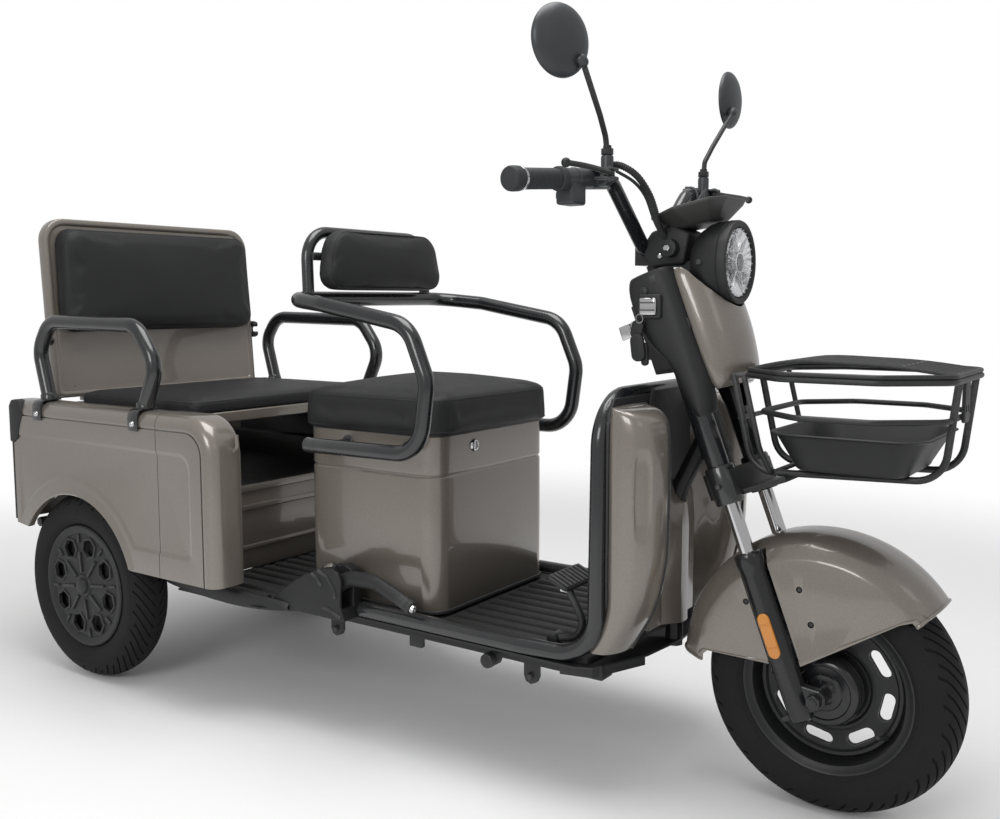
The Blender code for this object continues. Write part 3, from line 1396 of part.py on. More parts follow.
def mirror_pivot(word):
    """Centre of a mirror's ball, low on the inner side of its head, as on the left."""
    return MIRROR_CENTRE[word] + Matrix.Rotation(MIRROR_TURN[word], 3, "Z") @ BALL_SEAT


def mirror_stem(pivot):
    """A left mirror stem: a nut on the boss, a kink, and an arm up to the ball."""
    foot = BOSS_TOP + Vector((0, 0, GAP))
    nut = rod(foot, foot + Vector((0, 0, 0.010)), 0.0082, 6)
    kink = Vector((BAR_X + 0.0145, 0.187, 1.072))
    way = (pivot - kink).normalized()
    path = bent([foot + Vector((0, 0, 0.004)), kink, pivot - way * (BALL_RADIUS + GAP)], 0.02, 2)
    return fuse(nut, tube(path, 0.0045, 1))


def mirror_head(word):
    """A mirror head as on the left: a round glass in a domed cover, with its ball."""
    r = MIRROR_RADIUS
    profile = [(0.0, 0.009), (0.40 * r, 0.0075), (0.78 * r, 0.002), (r, -0.008), (r, -0.012), (0.0, -0.012)]
    turn = Matrix.Rotation(MIRROR_TURN[word], 4, "Z") @ turn_to((1, 0, 0))
    head = turned(profile, (0, 0, 0), (0, 0, 1), 18)
    moved(head, Matrix.Translation(MIRROR_CENTRE[word]) @ turn)
    return fuse(head, ball(mirror_pivot(word), BALL_RADIUS, 4))


for word in ("left", "right"):
    foot, pivot = BOSS_TOP.copy(), mirror_pivot(word)
    stem, head = mirror_stem(pivot), mirror_head(word)
    if word == "right":
        flip = Matrix.Scale(-1.0, 4, (0.0, 1.0, 0.0))
        moved(stem, flip)
        moved(head, flip)
        foot.y, pivot.y = -foot.y, -pivot.y
    node("mirror_stem_" + word, stem, SATIN_BLACK, foot)
    node("mirror_head_" + word, head, BLACK_PLASTIC, pivot)


# Column cover behind the head, with the ignition lock and the bag hook
COVER_HALF = LEG_SPREAD - UPPER_TUBE_RADIUS - 2 * GAP
COVER_LOW = HEAD_HIGH + 0.004
COVER_HIGH = TOP_CROWN_LOW - GAP
COVER_REAR = -0.040


def column_cover():
    outline = rounded_box_outline((COVER_REAR, -COVER_HALF), (COVER_FRONT, COVER_HALF), 0.014, 2)
    case = prism(outline, COVER_LOW, COVER_HIGH)
    nose = prism(
        [
            (COVER_REAR - 0.012, 0.640), (COVER_REAR + 0.004, 0.620), (COVER_REAR + 0.004, 0.694),
            (COVER_REAR - 0.012, 0.690),
        ],
        -0.030, 0.030, "XZ",
    )
    barrel = rod((COVER_REAR - 0.010, -0.018, 0.655), (COVER_REAR - 0.026, -0.018, 0.655), 0.0125, 12)
    hook = block((COVER_REAR - 0.022, -0.022, 0.596), (COVER_REAR + 0.004, 0.022, 0.612))
    case = fuse(case, nose, barrel, hook)
    hollow = rod((0, 0, COVER_LOW - 0.02), (0, 0, COVER_HIGH + 0.02), STEM_RADIUS + 5 * GAP, 10)
    return moved(cut(case, hollow), fork_matrix())


node("column_cover", column_cover(), BLACK_PLASTIC, STEER_ORIGIN)
KEY_SPOT = (COVER_REAR - 0.026 - GAP, -0.018, 0.655)


def ignition_key():
    x, y, z = KEY_SPOT
    bow = block((x - 0.026, y - 0.0025, z - 0.012), (x - 0.004, y + 0.0025, z + 0.012))
    shoulder = rod((x, y, z), (x - 0.006, y, z), 0.006, 8)
    return moved(fuse(bow, shoulder), fork_matrix())


node("ignition_key", ignition_key(), CHROME, fork_matrix() @ Vector(KEY_SPOT))


# Painted head cover in front of the column
HEAD_COVER_LOW = 0.506
HEAD_COVER_HIGH = 0.716
LIGHT_FACE_X = WHEELBASE - 0.170
LIGHT_Z = 0.880
LIGHT_RADIUS = 0.069


def head_cover():
    rows = []
    shape = ((0.000, 0.0755), (0.010, 0.0765), (0.030, 0.068), (0.046, 0.048), (0.053, 0.022), (0.055, 0.0))
    for along, bulge, spread in (
        (HEAD_COVER_LOW, 0.55, 0.80), (HEAD_COVER_LOW + 0.012, 0.84, 0.90), (0.545, 0.98, 0.96),
        (0.600, 1.10, 1.0), (0.660, 1.08, 1.0), (HEAD_COVER_HIGH, 0.80, 0.97),
    ):
        half = [(HEAD_COVER_BASE + ahead * bulge, -y * spread, along) for ahead, y in shape]
        rows.append(half + [(x, -y, z) for x, y, z in reversed(half[:-1])])
    skin = moved(sheet(rows, 0.0025, -1.0), fork_matrix())
    return cut(
        skin,
        rod(
            (LIGHT_FACE_X - 0.15, 0, LIGHT_Z), (LIGHT_FACE_X + 0.05, 0, LIGHT_Z), LIGHT_RADIUS + 0.0025,
            18,
        ),
    )


node("head_cover", head_cover(), TAUPE, STEER_ORIGIN, 50.0)


# Round headlight, held by its neck on the top crown
LIGHT_BACK_X = WHEELBASE - 0.243
LENS_INSET = 0.006


def headlight_housing():
    depth = LIGHT_FACE_X - LIGHT_BACK_X
    r = LIGHT_RADIUS
    profile = [
        (0.0, 0.0), (0.046, 0.0), (r - 0.003, 0.030), (r, depth - 0.010), (r - 0.003, depth),
        (0.0565, depth), (0.0560, depth - LENS_INSET), (0.030, depth - 0.042), (0.0, depth - 0.044),
    ]
    bowl = turned(profile, (LIGHT_BACK_X, 0, LIGHT_Z), (1, 0, 0), 18)
    place = fork_matrix()
    neck = moved(
        block(
            (CROWN_OFFSET + 0.0225, -0.026, TOP_CROWN_LOW + 0.001), (0.098, 0.026, TOP_CROWN_HIGH + 0.012),
        ),
        place,
    )
    return fuse(bowl, neck)


def headlight_lens():
    face = LIGHT_FACE_X
    r = 0.0553
    profile = [
        (0.0, face + 0.004), (0.026, face + 0.003), (0.046, face - 0.0005), (r, face - 0.004),
        (r, face - 0.0052), (0.0, face - 0.0020),
    ]
    return turned(profile, (0, 0, LIGHT_Z), (1, 0, 0), 18)


node("headlight_housing", headlight_housing(), BLACK_PLASTIC, STEER_ORIGIN)
node("headlight_lens", headlight_lens(), LENS, STEER_ORIGIN)


# Dash panel on its neck over the handlebar clamp
DASH_REAR = Vector((BAR_X + 0.023, 0.0, 0.952))
DASH_TILT = math.radians(13.0)


def dash_panel():
    """Drawn flat with its rear edge at the origin, then tilted up at the front."""
    outline = [(0.0, -0.058), (0.0, 0.058), (0.050, 0.082), (0.112, 0.074), (0.134, 0.040)]
    outline += [(x, -y) for x, y in reversed(outline[2:])]
    top = prism(outline, 0.008, 0.020)
    inset = [(0.006 + x * 0.90, y * 0.90) for x, y in outline]
    under = prism([(x * 0.86 + 0.004, y * 0.80) for x, y in inset], -0.004, 0.0082)
    body = fuse(top, under)
    place = Matrix.Translation(DASH_REAR) @ Matrix.Rotation(-DASH_TILT, 4, "Y")
    body = moved(body, place)
    neck = block((BAR_X + 0.0275, -0.022, 0.9010), (BAR_X + 0.0580, 0.022, 0.962))
    return fuse(body, neck)


node("dash_panel", dash_panel(), BLACK_PLASTIC, STEER_ORIGIN)


# Corrugated cable loom from the right perch down to the dash neck
LOOM_RADIUS = 0.0062
LOOM_RIBS = 9


def cable_loom():
    rough = [Vector(spot) for spot in (
        (BAR_X + 0.0125, -0.1716, 1.0300), (BAR_X + 0.0130, -0.1550, 1.0305),
        (BAR_X + 0.0170, -0.1200, 1.0270), (BAR_X + 0.0150, -0.0860, 0.9960),
        (BAR_X + 0.0150, -0.0645, 0.9620), (BAR_X + 0.0250, -0.0500, 0.9310),
        (BAR_X + 0.0425, -0.0370, 0.9180), (BAR_X + 0.0425, -0.0231 - GAP, 0.9180),
    )]
    path, widths = [], []
    spans = len(rough) - 1
    count = 2 * LOOM_RIBS
    for i in range(count + 1):
        place = i / count * spans
        k = min(int(place), spans - 1)
        t = place - k
        a, b, c, d = rough[max(k - 1, 0)], rough[k], rough[k + 1], rough[min(k + 2, spans)]
        bend = (2 * a - 5 * b + 4 * c - d) * t**2 + (3 * b - a - 3 * c + d) * t**3
        path.append(0.5 * (2 * b + (c - a) * t + bend))
        widths.append(1.0 if i % 2 else 0.80)
    return tube(path, LOOM_RADIUS, 2, radii=widths)


node("cable_loom", cable_loom(), BLACK_PLASTIC, STEER_ORIGIN)


# Wire basket on the crown's arm, with a tray and a hinged slatted lid
LEG_LINE_Y = 0.060
BASKET_MID = 0.648


def basket_outline(grow, z):
    """Plan of a basket hoop: narrow at both ends and widest in the middle."""
    wide, end = BASKET_HALF_WIDTH + grow, BASKET_END_HALF + grow
    x0, x1 = BASKET_REAR - grow, BASKET_FRONT + grow
    half = [(x0, end, z), (x0 + 0.075, wide, z), (x1 - 0.085, wide, z), (x1, end, z)]
    return half + [(x, -y, z) for x, y, z in reversed(half)]


def basket():
    body = tube(bent(basket_outline(0.0, BASKET_TOP), 0.035, 1, closed=True), WIRE_RADIUS, 1, closed=True)
    middle_x = (BASKET_REAR + BASKET_FRONT) / 2
    mid = [(x + 0.012 * (x < middle_x), y, z) for x, y, z in basket_outline(-0.010, BASKET_MID)]
    extras = [tube(bent(mid, 0.035, 1, closed=True), WIRE_RADIUS, 1, closed=True)]
    low = BASKET_BOTTOM
    for side in (1, -1):
        y = side * LEG_LINE_Y
        path = [
            (BASKET_REAR - 0.0365, y, BASKET_TOP - 0.004), (BASKET_REAR - 0.002, y, low),
            (BASKET_FRONT - 0.018, y, low + HOOP_RISE),
            (BASKET_FRONT - 0.002, y, BASKET_TOP),
        ]
        extras.append(tube(bent(path, 0.045, 1), HOOP_WIRE, 1))
        tie = [(BASKET_REAR - 0.035, y, BASKET_TOP - 0.006), (BASKET_REAR, y, BASKET_TOP - 0.002)]
        extras.append(tube(tie, WIRE_RADIUS - 0.0008, 1))
    reach = BASKET_END_HALF
    path = [
        (BASKET_REAR - 0.004, -reach, BASKET_TOP - 0.002), (BASKET_REAR + 0.024, -reach, 0.590),
        (BASKET_REAR + 0.032, -reach + 0.030, low + 0.001),
    ]
    path += [(x, -y, z) for x, y, z in reversed(path)]
    extras.append(tube(bent(path, 0.025, 1), WIRE_RADIUS - 0.0006, 1))
    brace = (BASKET_REAR - 0.0245, LEG_LINE_Y, 0.632)
    extras.append(tube([(brace[0], -brace[1], brace[2]), brace], WIRE_RADIUS - 0.0008, 1))
    plate = block((BASKET_FRONT - 0.006, -0.017, 0.640), (BASKET_FRONT - 0.001, 0.017, BASKET_TOP))
    extras.append(plate)
    return fuse(body, *extras)


node("basket", basket(), SATIN_BLACK, STEER_ORIGIN)

TRAY_TOP = 0.614
TRAY_X = (BASKET_REAR + BASKET_FRONT) / 2 + 0.004
TRAY_LOW = BASKET_BOTTOM + HOOP_WIRE * HOOP_FLAT + 0.84 * HOOP_RISE + GAP


def basket_tray():
    """A drafted tub with rounded ends and an outward lip."""
    low = TRAY_LOW + 0.001
    rings = ((TRAY_TOP, 0.1190, 0.130), (TRAY_TOP - 0.002, 0.113, 0.124), (low, 0.083, 0.098))
    rows = []
    for z, half_x, half_y in rings:
        outline = rounded_box_outline((TRAY_X - half_x, -half_y), (TRAY_X + half_x, half_y), 0.050, 2)
        rows.append([(x, y, z) for x, y in outline])
    wall = sheet(rows, 0.0025, 1.0, ring=True)
    floor = rounded_box_outline((TRAY_X - 0.0835, -0.0985), (TRAY_X + 0.0835, 0.0985), 0.050, 2)
    return fuse(wall, prism(floor, TRAY_LOW, TRAY_LOW + 0.003))


node("basket_tray", basket_tray(), BLACK_PLASTIC, STEER_ORIGIN)

LID_WIRE = 0.0036
LID_Z = BASKET_TOP + (WIRE_RADIUS + LID_WIRE) * math.cos(math.pi / 6) + GAP
LID_HINGE = Vector((BASKET_REAR - 0.006, 0.0, LID_Z))
SLATS = 7


def basket_lid():
    body = tube(bent(basket_outline(0.0, LID_Z), 0.035, 1, closed=True), LID_WIRE, 1, closed=True)
    extras = []
    for i in range(SLATS):
        y = (i - (SLATS - 1) / 2) * 0.026
        path = [
            (BASKET_REAR, y, LID_Z), (BASKET_REAR + 0.066, y, LID_Z + 0.013),
            (BASKET_FRONT - 0.075, y, LID_Z + 0.009), (BASKET_FRONT, y, LID_Z),
        ]
        extras.append(tube(path, LID_WIRE - 0.0004, 1))
    half = 3 * 0.026
    x, z = BASKET_REAR + 0.068, LID_Z + 0.0125
    extras.append(tube([(x, -half, z), (x, half, z)], LID_WIRE - 0.0004, 1))
    return fuse(body, *extras)


node("basket_lid", basket_lid(), SATIN_BLACK, LID_HINGE)


# Bring the middle of the vehicle over the origin
for piece in parts.objects:
    piece.location.x -= MIDDLE_X
bpy.data.collections.remove(bench)
bpy.context.view_layer.update()
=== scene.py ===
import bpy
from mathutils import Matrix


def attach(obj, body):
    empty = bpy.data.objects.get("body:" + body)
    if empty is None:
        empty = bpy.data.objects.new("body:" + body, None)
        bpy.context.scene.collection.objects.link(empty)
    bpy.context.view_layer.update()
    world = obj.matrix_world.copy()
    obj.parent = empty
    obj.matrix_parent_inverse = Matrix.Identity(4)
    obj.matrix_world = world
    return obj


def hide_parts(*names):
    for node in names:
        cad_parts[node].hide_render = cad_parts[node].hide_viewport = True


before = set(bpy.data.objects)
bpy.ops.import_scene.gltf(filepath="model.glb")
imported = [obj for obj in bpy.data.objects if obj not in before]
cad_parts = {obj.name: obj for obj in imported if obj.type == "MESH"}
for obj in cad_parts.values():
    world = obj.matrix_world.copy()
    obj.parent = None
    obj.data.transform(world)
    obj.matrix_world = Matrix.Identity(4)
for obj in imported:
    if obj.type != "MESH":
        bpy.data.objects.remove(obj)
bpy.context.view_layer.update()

import math
import bpy
from mathutils import Matrix, Vector

# every piece is drawn from the rear axle forwards and shifted to its place when it is dressed
rearAxleX = -0.743370959506159
wheelZ = 0.203742


def calm():             # object mode, nothing selected
    if bpy.context.object and bpy.context.object.mode != "OBJECT":
        bpy.ops.object.mode_set(mode="OBJECT")
    bpy.ops.object.select_all(action="DESELECT")


def pick(piece):
    calm()
    piece.select_set(True)
    bpy.context.view_layer.objects.active = piece


def rename(piece, name):
    piece.name = name
    piece.data.name = name
    return piece


def named(name):
    return rename(bpy.context.object, name)


def bakePlace(piece):   # its place goes into its mesh
    pick(piece)
    bpy.ops.object.transform_apply(location=True, rotation=True, scale=True)
    return piece


def applyAll(piece):
    pick(piece)
    for modifier in list(piece.modifiers):
        bpy.ops.object.modifier_apply(modifier=modifier.name)
    return piece


def mm(*points):        # points given in millimetres
    return [tuple(value / 1000 for value in point) for point in points]


def moveBy(piece, matrix):
    piece.data.transform(matrix)
    if matrix.determinant() < 0:
        piece.data.flip_normals()
    return piece


def twin(piece, name, matrix=None):     # a copy with its own mesh
    copy = piece.copy()
    copy.data = piece.data.copy()
    rename(copy, name)
    bpy.context.scene.collection.objects.link(copy)
    return moveBy(copy, matrix) if matrix else copy


def moveTo(piece, place):
    return moveBy(piece, Matrix.Translation(place))


def rotation(degrees, axis="Y"):
    return Matrix.Rotation(math.radians(degrees), 4, axis)


# turned round when its faces point against the way, or to the centre
def faceOut(piece, way=None, centre=None):
    facing = sum(face.area * face.normal.dot(Vector(way) if way else face.center - Vector(centre))
                 for face in piece.data.polygons)
    if facing < 0:
        piece.data.flip_normals()
    return piece


def openMesh():         # edit mode with everything selected
    bpy.ops.object.mode_set(mode="EDIT")
    bpy.ops.mesh.select_all(action="SELECT")


def mendMesh(near=0.0):         # leaves edit mode with near points merged and faces outwards
    openMesh()
    if near:
        bpy.ops.mesh.remove_doubles(threshold=near)
    bpy.ops.mesh.normals_make_consistent(inside=False)
    bpy.ops.object.mode_set(mode="OBJECT")


acrossMiddle = Matrix.Scale(-1.0, 4, (0.0, 1.0, 0.0))
forwards, leftwards, upwards = (1, 0, 0), (0, 1, 0), (0, 0, 1)


def onSide(piece, side):        # drawn on the left, and mirrored when the side is the right
    return moveBy(piece, acrossMiddle) if side < 0 else piece


def joinUp(name, pieces):
    pick(pieces[0])
    for piece in pieces:
        piece.select_set(True)
    bpy.ops.object.join()
    return named(name)


def roundEdges(piece, width, segments=3, angle=35.0):
    bevel = piece.modifiers.new("roundEdges", "BEVEL")
    bevel.width = width
    bevel.segments = segments
    bevel.limit_method = "ANGLE"
    bevel.angle_limit = math.radians(angle)
    bevel.harden_normals = False
    return applyAll(piece)


def carve(piece, cutters):
    for cutter in cutters:
        change = piece.modifiers.new("carve", "BOOLEAN")
        change.operation = "DIFFERENCE"
        change.object = cutter
    applyAll(piece)
    for cutter in cutters:
        bpy.data.objects.remove(cutter, do_unlink=True)
    return piece


def turnTo(direction):    # takes upright to the direction
    return Vector(direction).to_track_quat("Z", "Y").to_matrix().to_4x4()


def makeBlock(name, low, high, bevel=0.0015, segments=2):
    low, high = Vector(low), Vector(high)
    calm()
    bpy.ops.mesh.primitive_cube_add(size=1.0, location=(low + high) / 2)
    piece = named(name)
    piece.scale = high - low
    bakePlace(piece)
    return roundEdges(piece, bevel, segments) if bevel else piece


def makeRod(name, start, end, radius, sides=24, endRadius=None, bevel=0.0):
    start, end = Vector(start), Vector(end)
    calm()
    tip = radius if endRadius is None else endRadius
    bpy.ops.mesh.primitive_cone_add(vertices=sides, radius1=radius, radius2=tip, depth=(end - start).length)
    piece = named(name)
    piece.matrix_world = Matrix.Translation((start + end) / 2) @ turnTo(end - start)
    bakePlace(piece)
    return roundEdges(piece, bevel, 2) if bevel else piece


def makeBall(name, centre, radius, rings=10, stretch=(1, 1, 1)):
    calm()
    bpy.ops.mesh.primitive_uv_sphere_add(segments=2 * rings, ring_count=rings, radius=radius,
            location=centre)
    piece = named(name)
    piece.scale = stretch
    return bakePlace(piece)


def makeTurned(name, profile, centre, direction, steps=48, closed=False):
    calm()
    bpy.ops.mesh.primitive_circle_add(vertices=len(profile), radius=1.0)
    piece = named(name)
    mesh = piece.data
    for vertex, (radius, height) in zip(mesh.vertices, profile):
        vertex.co = (radius, 0.0, height)
    last = len(profile) - 1
    for edge in mesh.edges:
        edge.select = not closed and set(edge.vertices) == {0, last}
    for vertex in mesh.vertices:
        vertex.select = False
    bpy.ops.object.mode_set(mode="EDIT")
    bpy.ops.mesh.select_mode(type="EDGE")
    if not closed:
        bpy.ops.mesh.delete(type="EDGE")
    bpy.ops.mesh.select_all(action="SELECT")
    bpy.ops.mesh.spin(steps=steps, angle=2 * math.pi, center=(0, 0, 0), axis=upwards)
    bpy.ops.mesh.select_mode(type="VERT")
    mendMesh(0.00002)
    return moveBy(piece, Matrix.Translation(Vector(centre)) @ turnTo(direction))


def roundCorners(points, bend, steps=6, closed=False):
    knots = [Vector(point) for point in points]
    if closed:
        triples = [(knots[i - 1], knots[i], knots[(i + 1) % len(knots)]) for i in range(len(knots))]
        path = []
    else:
        triples = list(zip(knots, knots[1:], knots[2:]))
        path = [knots[0]]
    for before, corner, after in triples:
        back = (before - corner).normalized()
        ahead = (after - corner).normalized()
        half = back.angle(ahead) / 2
        if math.pi / 2 - half < 0.02:
            path.append(corner)
            continue
        reach = min(bend / math.tan(half), 0.49 * (before - corner).length, 0.49 * (after - corner).length)
        centre = corner + (back + ahead).normalized() * (reach / math.cos(half))
        start, end = corner + back * reach - centre, corner + ahead * reach - centre
        sweep = start.angle(end)
        for i in range(steps + 1):
            share = i / steps
            turn = start * math.sin((1 - share) * sweep) + end * math.sin(share * sweep)
            path.append(centre + turn / math.sin(sweep))
    if not closed:
        path.append(knots[-1])
    return path


def makeTube(name, points, radius, bend=0.03, closed=False, detail=5, steps=7, radii=None):
    path = roundCorners(points, bend, steps, closed) if bend else [Vector(point) for point in points]
    curve = bpy.data.curves.new(name, "CURVE")
    curve.dimensions = "3D"
    curve.bevel_depth = radius
    curve.bevel_resolution = detail
    curve.use_fill_caps = True
    spline = curve.splines.new("POLY")
    spline.points.add(len(path) - 1)
    for i, point in enumerate(path):
        spline.points[i].co = (*point, 1.0)
        if radii:
            spline.points[i].radius = radii[i]
    spline.use_cyclic_u = closed
    piece = bpy.data.objects.new(name, curve)
    bpy.context.scene.collection.objects.link(piece)
    pick(piece)
    bpy.ops.object.convert(target="MESH")
    piece = named(name)
    mendMesh(0.00001)
    return piece


def smoothPath(points, steps=6):        # a smooth line through all the points
    knots = [Vector(point) for point in points]
    path = []
    for i in range(len(knots) - 1):
        a, b, c, d = knots[max(i - 1, 0)], knots[i], knots[i + 1], knots[min(i + 2, len(knots) - 1)]
        for k in range(steps):
            t = k / steps
            path.append(0.5 * (2 * b + (c - a) * t + (2 * a - 5 * b + 4 * c - d) * t**2
                               + (3 * b - a - 3 * c + d) * t**3))
    path.append(knots[-1])
    return path


def makeShell(name, rows, wall=0.0, offset=-1.0, level=0, ring=False):
    calm()
    rows = [list(row) + ([row[0]] if ring else []) for row in rows]
    across = len(rows[0])
    bpy.ops.mesh.primitive_grid_add(x_subdivisions=across - 1, y_subdivisions=len(rows) - 1, size=1.0)
    piece = named(name)
    for i, vertex in enumerate(piece.data.vertices):
        vertex.co = rows[i // across][i % across]
    mendMesh(0.00001)
    if wall:
        skin = piece.modifiers.new("wall", "SOLIDIFY")
        skin.thickness = wall
        skin.offset = offset
        skin.use_even_offset = True
    if level:
        smooth = piece.modifiers.new("smooth", "SUBSURF")
        smooth.levels = smooth.render_levels = level
    return applyAll(piece)


def giveWall(piece, wall):      # a wall behind the sheet, without even offset
    skin = piece.modifiers.new("wall", "SOLIDIFY")
    skin.thickness = wall
    skin.offset = -1.0
    return applyAll(piece)


planeTurns = {"XY": Matrix(), "XZ": Matrix(((1, 0, 0, 0), (0, 0, 1, 0), (0, 1, 0, 0), (0, 0, 0, 1))),
              "YZ": Matrix(((0, 0, 1, 0), (1, 0, 0, 0), (0, 1, 0, 0), (0, 0, 0, 1)))}


def makePlate(name, outline, low, high, plane="XZ", bevel=0.001, segments=2, angle=35.0):
    calm()
    bpy.ops.mesh.primitive_circle_add(vertices=len(outline), radius=1.0, fill_type="NGON")
    piece = named(name)
    for vertex, (u, v) in zip(piece.data.vertices, outline):
        vertex.co = (u, v, low)
    openMesh()
    bpy.ops.mesh.extrude_region_move(TRANSFORM_OT_translate={"value": (0.0, 0.0, high - low)})
    mendMesh()
    moveBy(piece, planeTurns[plane])
    return roundEdges(piece, bevel, segments, angle) if bevel else piece


def arcPoints(centre, radius, start, end, steps):
    points = []
    for i in range(steps + 1):
        angle = math.radians(start + (end - start) * i / steps)
        points.append((centre[0] + radius * math.cos(angle), centre[1] + radius * math.sin(angle)))
    return points


def roundedBox(low, high, radius, steps=6):
    (x0, y0), (x1, y1) = low, high
    points = arcPoints((x1 - radius, y1 - radius), radius, 0, 90, steps)
    points += arcPoints((x0 + radius, y1 - radius), radius, 90, 180, steps)
    points += arcPoints((x0 + radius, y0 + radius), radius, 180, 270, steps)
    return points + arcPoints((x1 - radius, y0 + radius), radius, 270, 360, steps)


print("tools ready")

# materials: small effects first, each a group that several finishes share

def newNode(tree, kind, wires=None, **settings):
    made = tree.nodes.new("ShaderNode" + kind)
    for key, value in settings.items():
        setattr(made, key, value)
    for key, value in (wires or {}).items():
        if isinstance(value, bpy.types.NodeSocket):
            tree.links.new(value, made.inputs[key])
        else:
            made.inputs[key].default_value = value
    return made


def reckon(tree, operation, first, second=0.0, clamp=False):
    return newNode(tree, "Math", {0: first, 1: second}, operation=operation, use_clamp=clamp).outputs[0]


def times(tree, first, second, clamp=False):
    return reckon(tree, "MULTIPLY", first, second, clamp)


def blendColours(tree, share, first, second):
    return newNode(tree, "Mix", {0: share, 6: first, 7: second}, data_type="RGBA").outputs[2]


def newGroup(name, inputs, outputs):
    tree = bpy.data.node_groups.new(name, "ShaderNodeTree")
    for label, value in inputs.items():
        kind = "Vector" if value is None else "Color" if isinstance(value, tuple) else "Float"
        socket = tree.interface.new_socket(label, in_out="INPUT", socket_type="NodeSocket" + kind)
        if value is not None:
            socket.default_value = value
    for label in outputs:
        kind = "Color" if label == "Color" else "Float"
        tree.interface.new_socket(label, in_out="OUTPUT", socket_type="NodeSocket" + kind)
    return tree, tree.nodes.new("NodeGroupInput").outputs, tree.nodes.new("NodeGroupOutput").inputs


def softNoise(tree, place, scale, detail=3.0):
    wires = {"Vector": place, "Scale": scale, "Detail": detail, "Roughness": 0.55}
    return newNode(tree, "TexNoise", wires).outputs[0]


def grainGroup(name, build):            # all grains share the same sockets, so a finish can take any of them
    tree, given, result = newGroup(name, {"Place": None, "Scale": 900.0}, ("Height", "Shade"))
    height, shade = build(tree, given["Place"], given["Scale"])
    tree.links.new(height, result["Height"])
    tree.links.new(shade, result["Shade"])
    return tree


def flakeGrain(tree, place, scale):     # metal flakes, each its own shade, under a slightly waved coat
    flakes = newNode(tree, "TexVoronoi", {"Vector": place, "Scale": scale}).outputs["Color"]
    shade = newNode(tree, "SeparateColor", {0: flakes}).outputs[0]
    return softNoise(tree, place, times(tree, scale, 0.05), 1.0), shade


def mouldedGrain(tree, place, scale):   # fine spark-eroded plastic
    pits = newNode(tree, "TexVoronoi", {"Vector": place, "Scale": scale}, feature="SMOOTH_F1").outputs[0]
    rough = softNoise(tree, place, times(tree, scale, 1.7))
    return reckon(tree, "ADD", pits, rough), softNoise(tree, place, times(tree, scale, 0.02))


def hideGrain(tree, place, scale):      # pebbled vinyl with fine creases between the pebbles
    bend = times(tree, softNoise(tree, place, times(tree, scale, 0.4)), 0.0006)
    push = newNode(tree, "CombineXYZ", {0: bend, 1: bend, 2: bend}).outputs[0]
    bent = newNode(tree, "VectorMath", {0: place, 1: push}, operation="ADD").outputs[0]
    pebbles = newNode(tree, "TexVoronoi", {"Vector": bent, "Scale": scale},
                      feature="DISTANCE_TO_EDGE").outputs[0]
    return times(tree, pebbles, 3.0, True), softNoise(tree, place, times(tree, scale, 0.012))


def brushedGrain(tree, place, scale):   # fine lines left by polishing and plating
    lines = newNode(tree, "VectorMath", {0: place, 1: (1.0, 1.0, 0.06)}, operation="MULTIPLY").outputs[0]
    return softNoise(tree, lines, scale, 2.0), softNoise(tree, place, times(tree, scale, 0.03))


grains = {build.__name__: grainGroup(build.__name__, build)
          for build in (flakeGrain, mouldedGrain, hideGrain, brushedGrain)}


# tone from the grain, dust on upward faces, and a painted highlight along sharp edges
def buildWearAndEdgeHighlight():
    tree, given, result = newGroup("surfaceWearAndEdgeHighlight", {"Place": None, "Color": (0.1, 0.1, 0.1, 1.0),
                "Other Color": (0.1, 0.1, 0.1, 1.0), "Shade": 0.5, "Shade Amount": 0.3,
                "Dust Color": (0.3, 0.28, 0.25, 1.0), "Dust Amount": 0.1, "Painted Edge Highlight Color": (0.3, 0.3, 0.3, 1.0),
                "Painted Edge Highlight Amount": 0.1, "Roughness": 0.4,}, ("Color", "Roughness"))
    tint = blendColours(tree, times(tree, given["Shade"], given["Shade Amount"], True), given["Color"],
                        given["Other Color"])
    patches = times(tree, softNoise(tree, given["Place"], 9.0), softNoise(tree, given["Place"], 70.0))
    facing = newNode(tree, "SeparateXYZ", {0: newNode(tree, "TexCoord").outputs["Normal"]}).outputs[2]
    upward = reckon(tree, "ADD", times(tree, facing, 0.6), 0.5, True)
    dust = times(tree, times(tree, patches, upward), times(tree, given["Dust Amount"], 4.0), True)
    # painted highlight: sharp edges, found by pointiness and broken up by noise, are blended towards a
    # lighter colour
    edge = newNode(tree, "NewGeometry").outputs["Pointiness"]
    edge = times(tree, reckon(tree, "SUBTRACT", edge, 0.53), 9.0, True)
    edgeHighlight = times(tree, times(tree, edge, softNoise(tree, given["Place"], 120.0)), given["Painted Edge Highlight Amount"], True)
    dusty = blendColours(tree, dust, tint, given["Dust Color"])
    tree.links.new(blendColours(tree, edgeHighlight, dusty, given["Painted Edge Highlight Color"]), result["Color"])
    uneven = times(tree, reckon(tree, "SUBTRACT", softNoise(tree, given["Place"], 22.0), 0.5), 0.12)
    rough = reckon(tree, "ADD", reckon(tree, "ADD", given["Roughness"], uneven), times(tree, dust, 0.35),
                   True)
    tree.links.new(rough, result["Roughness"])
    return tree


wearAndEdgeHighlightGroup = buildWearAndEdgeHighlight()


finishes = {}
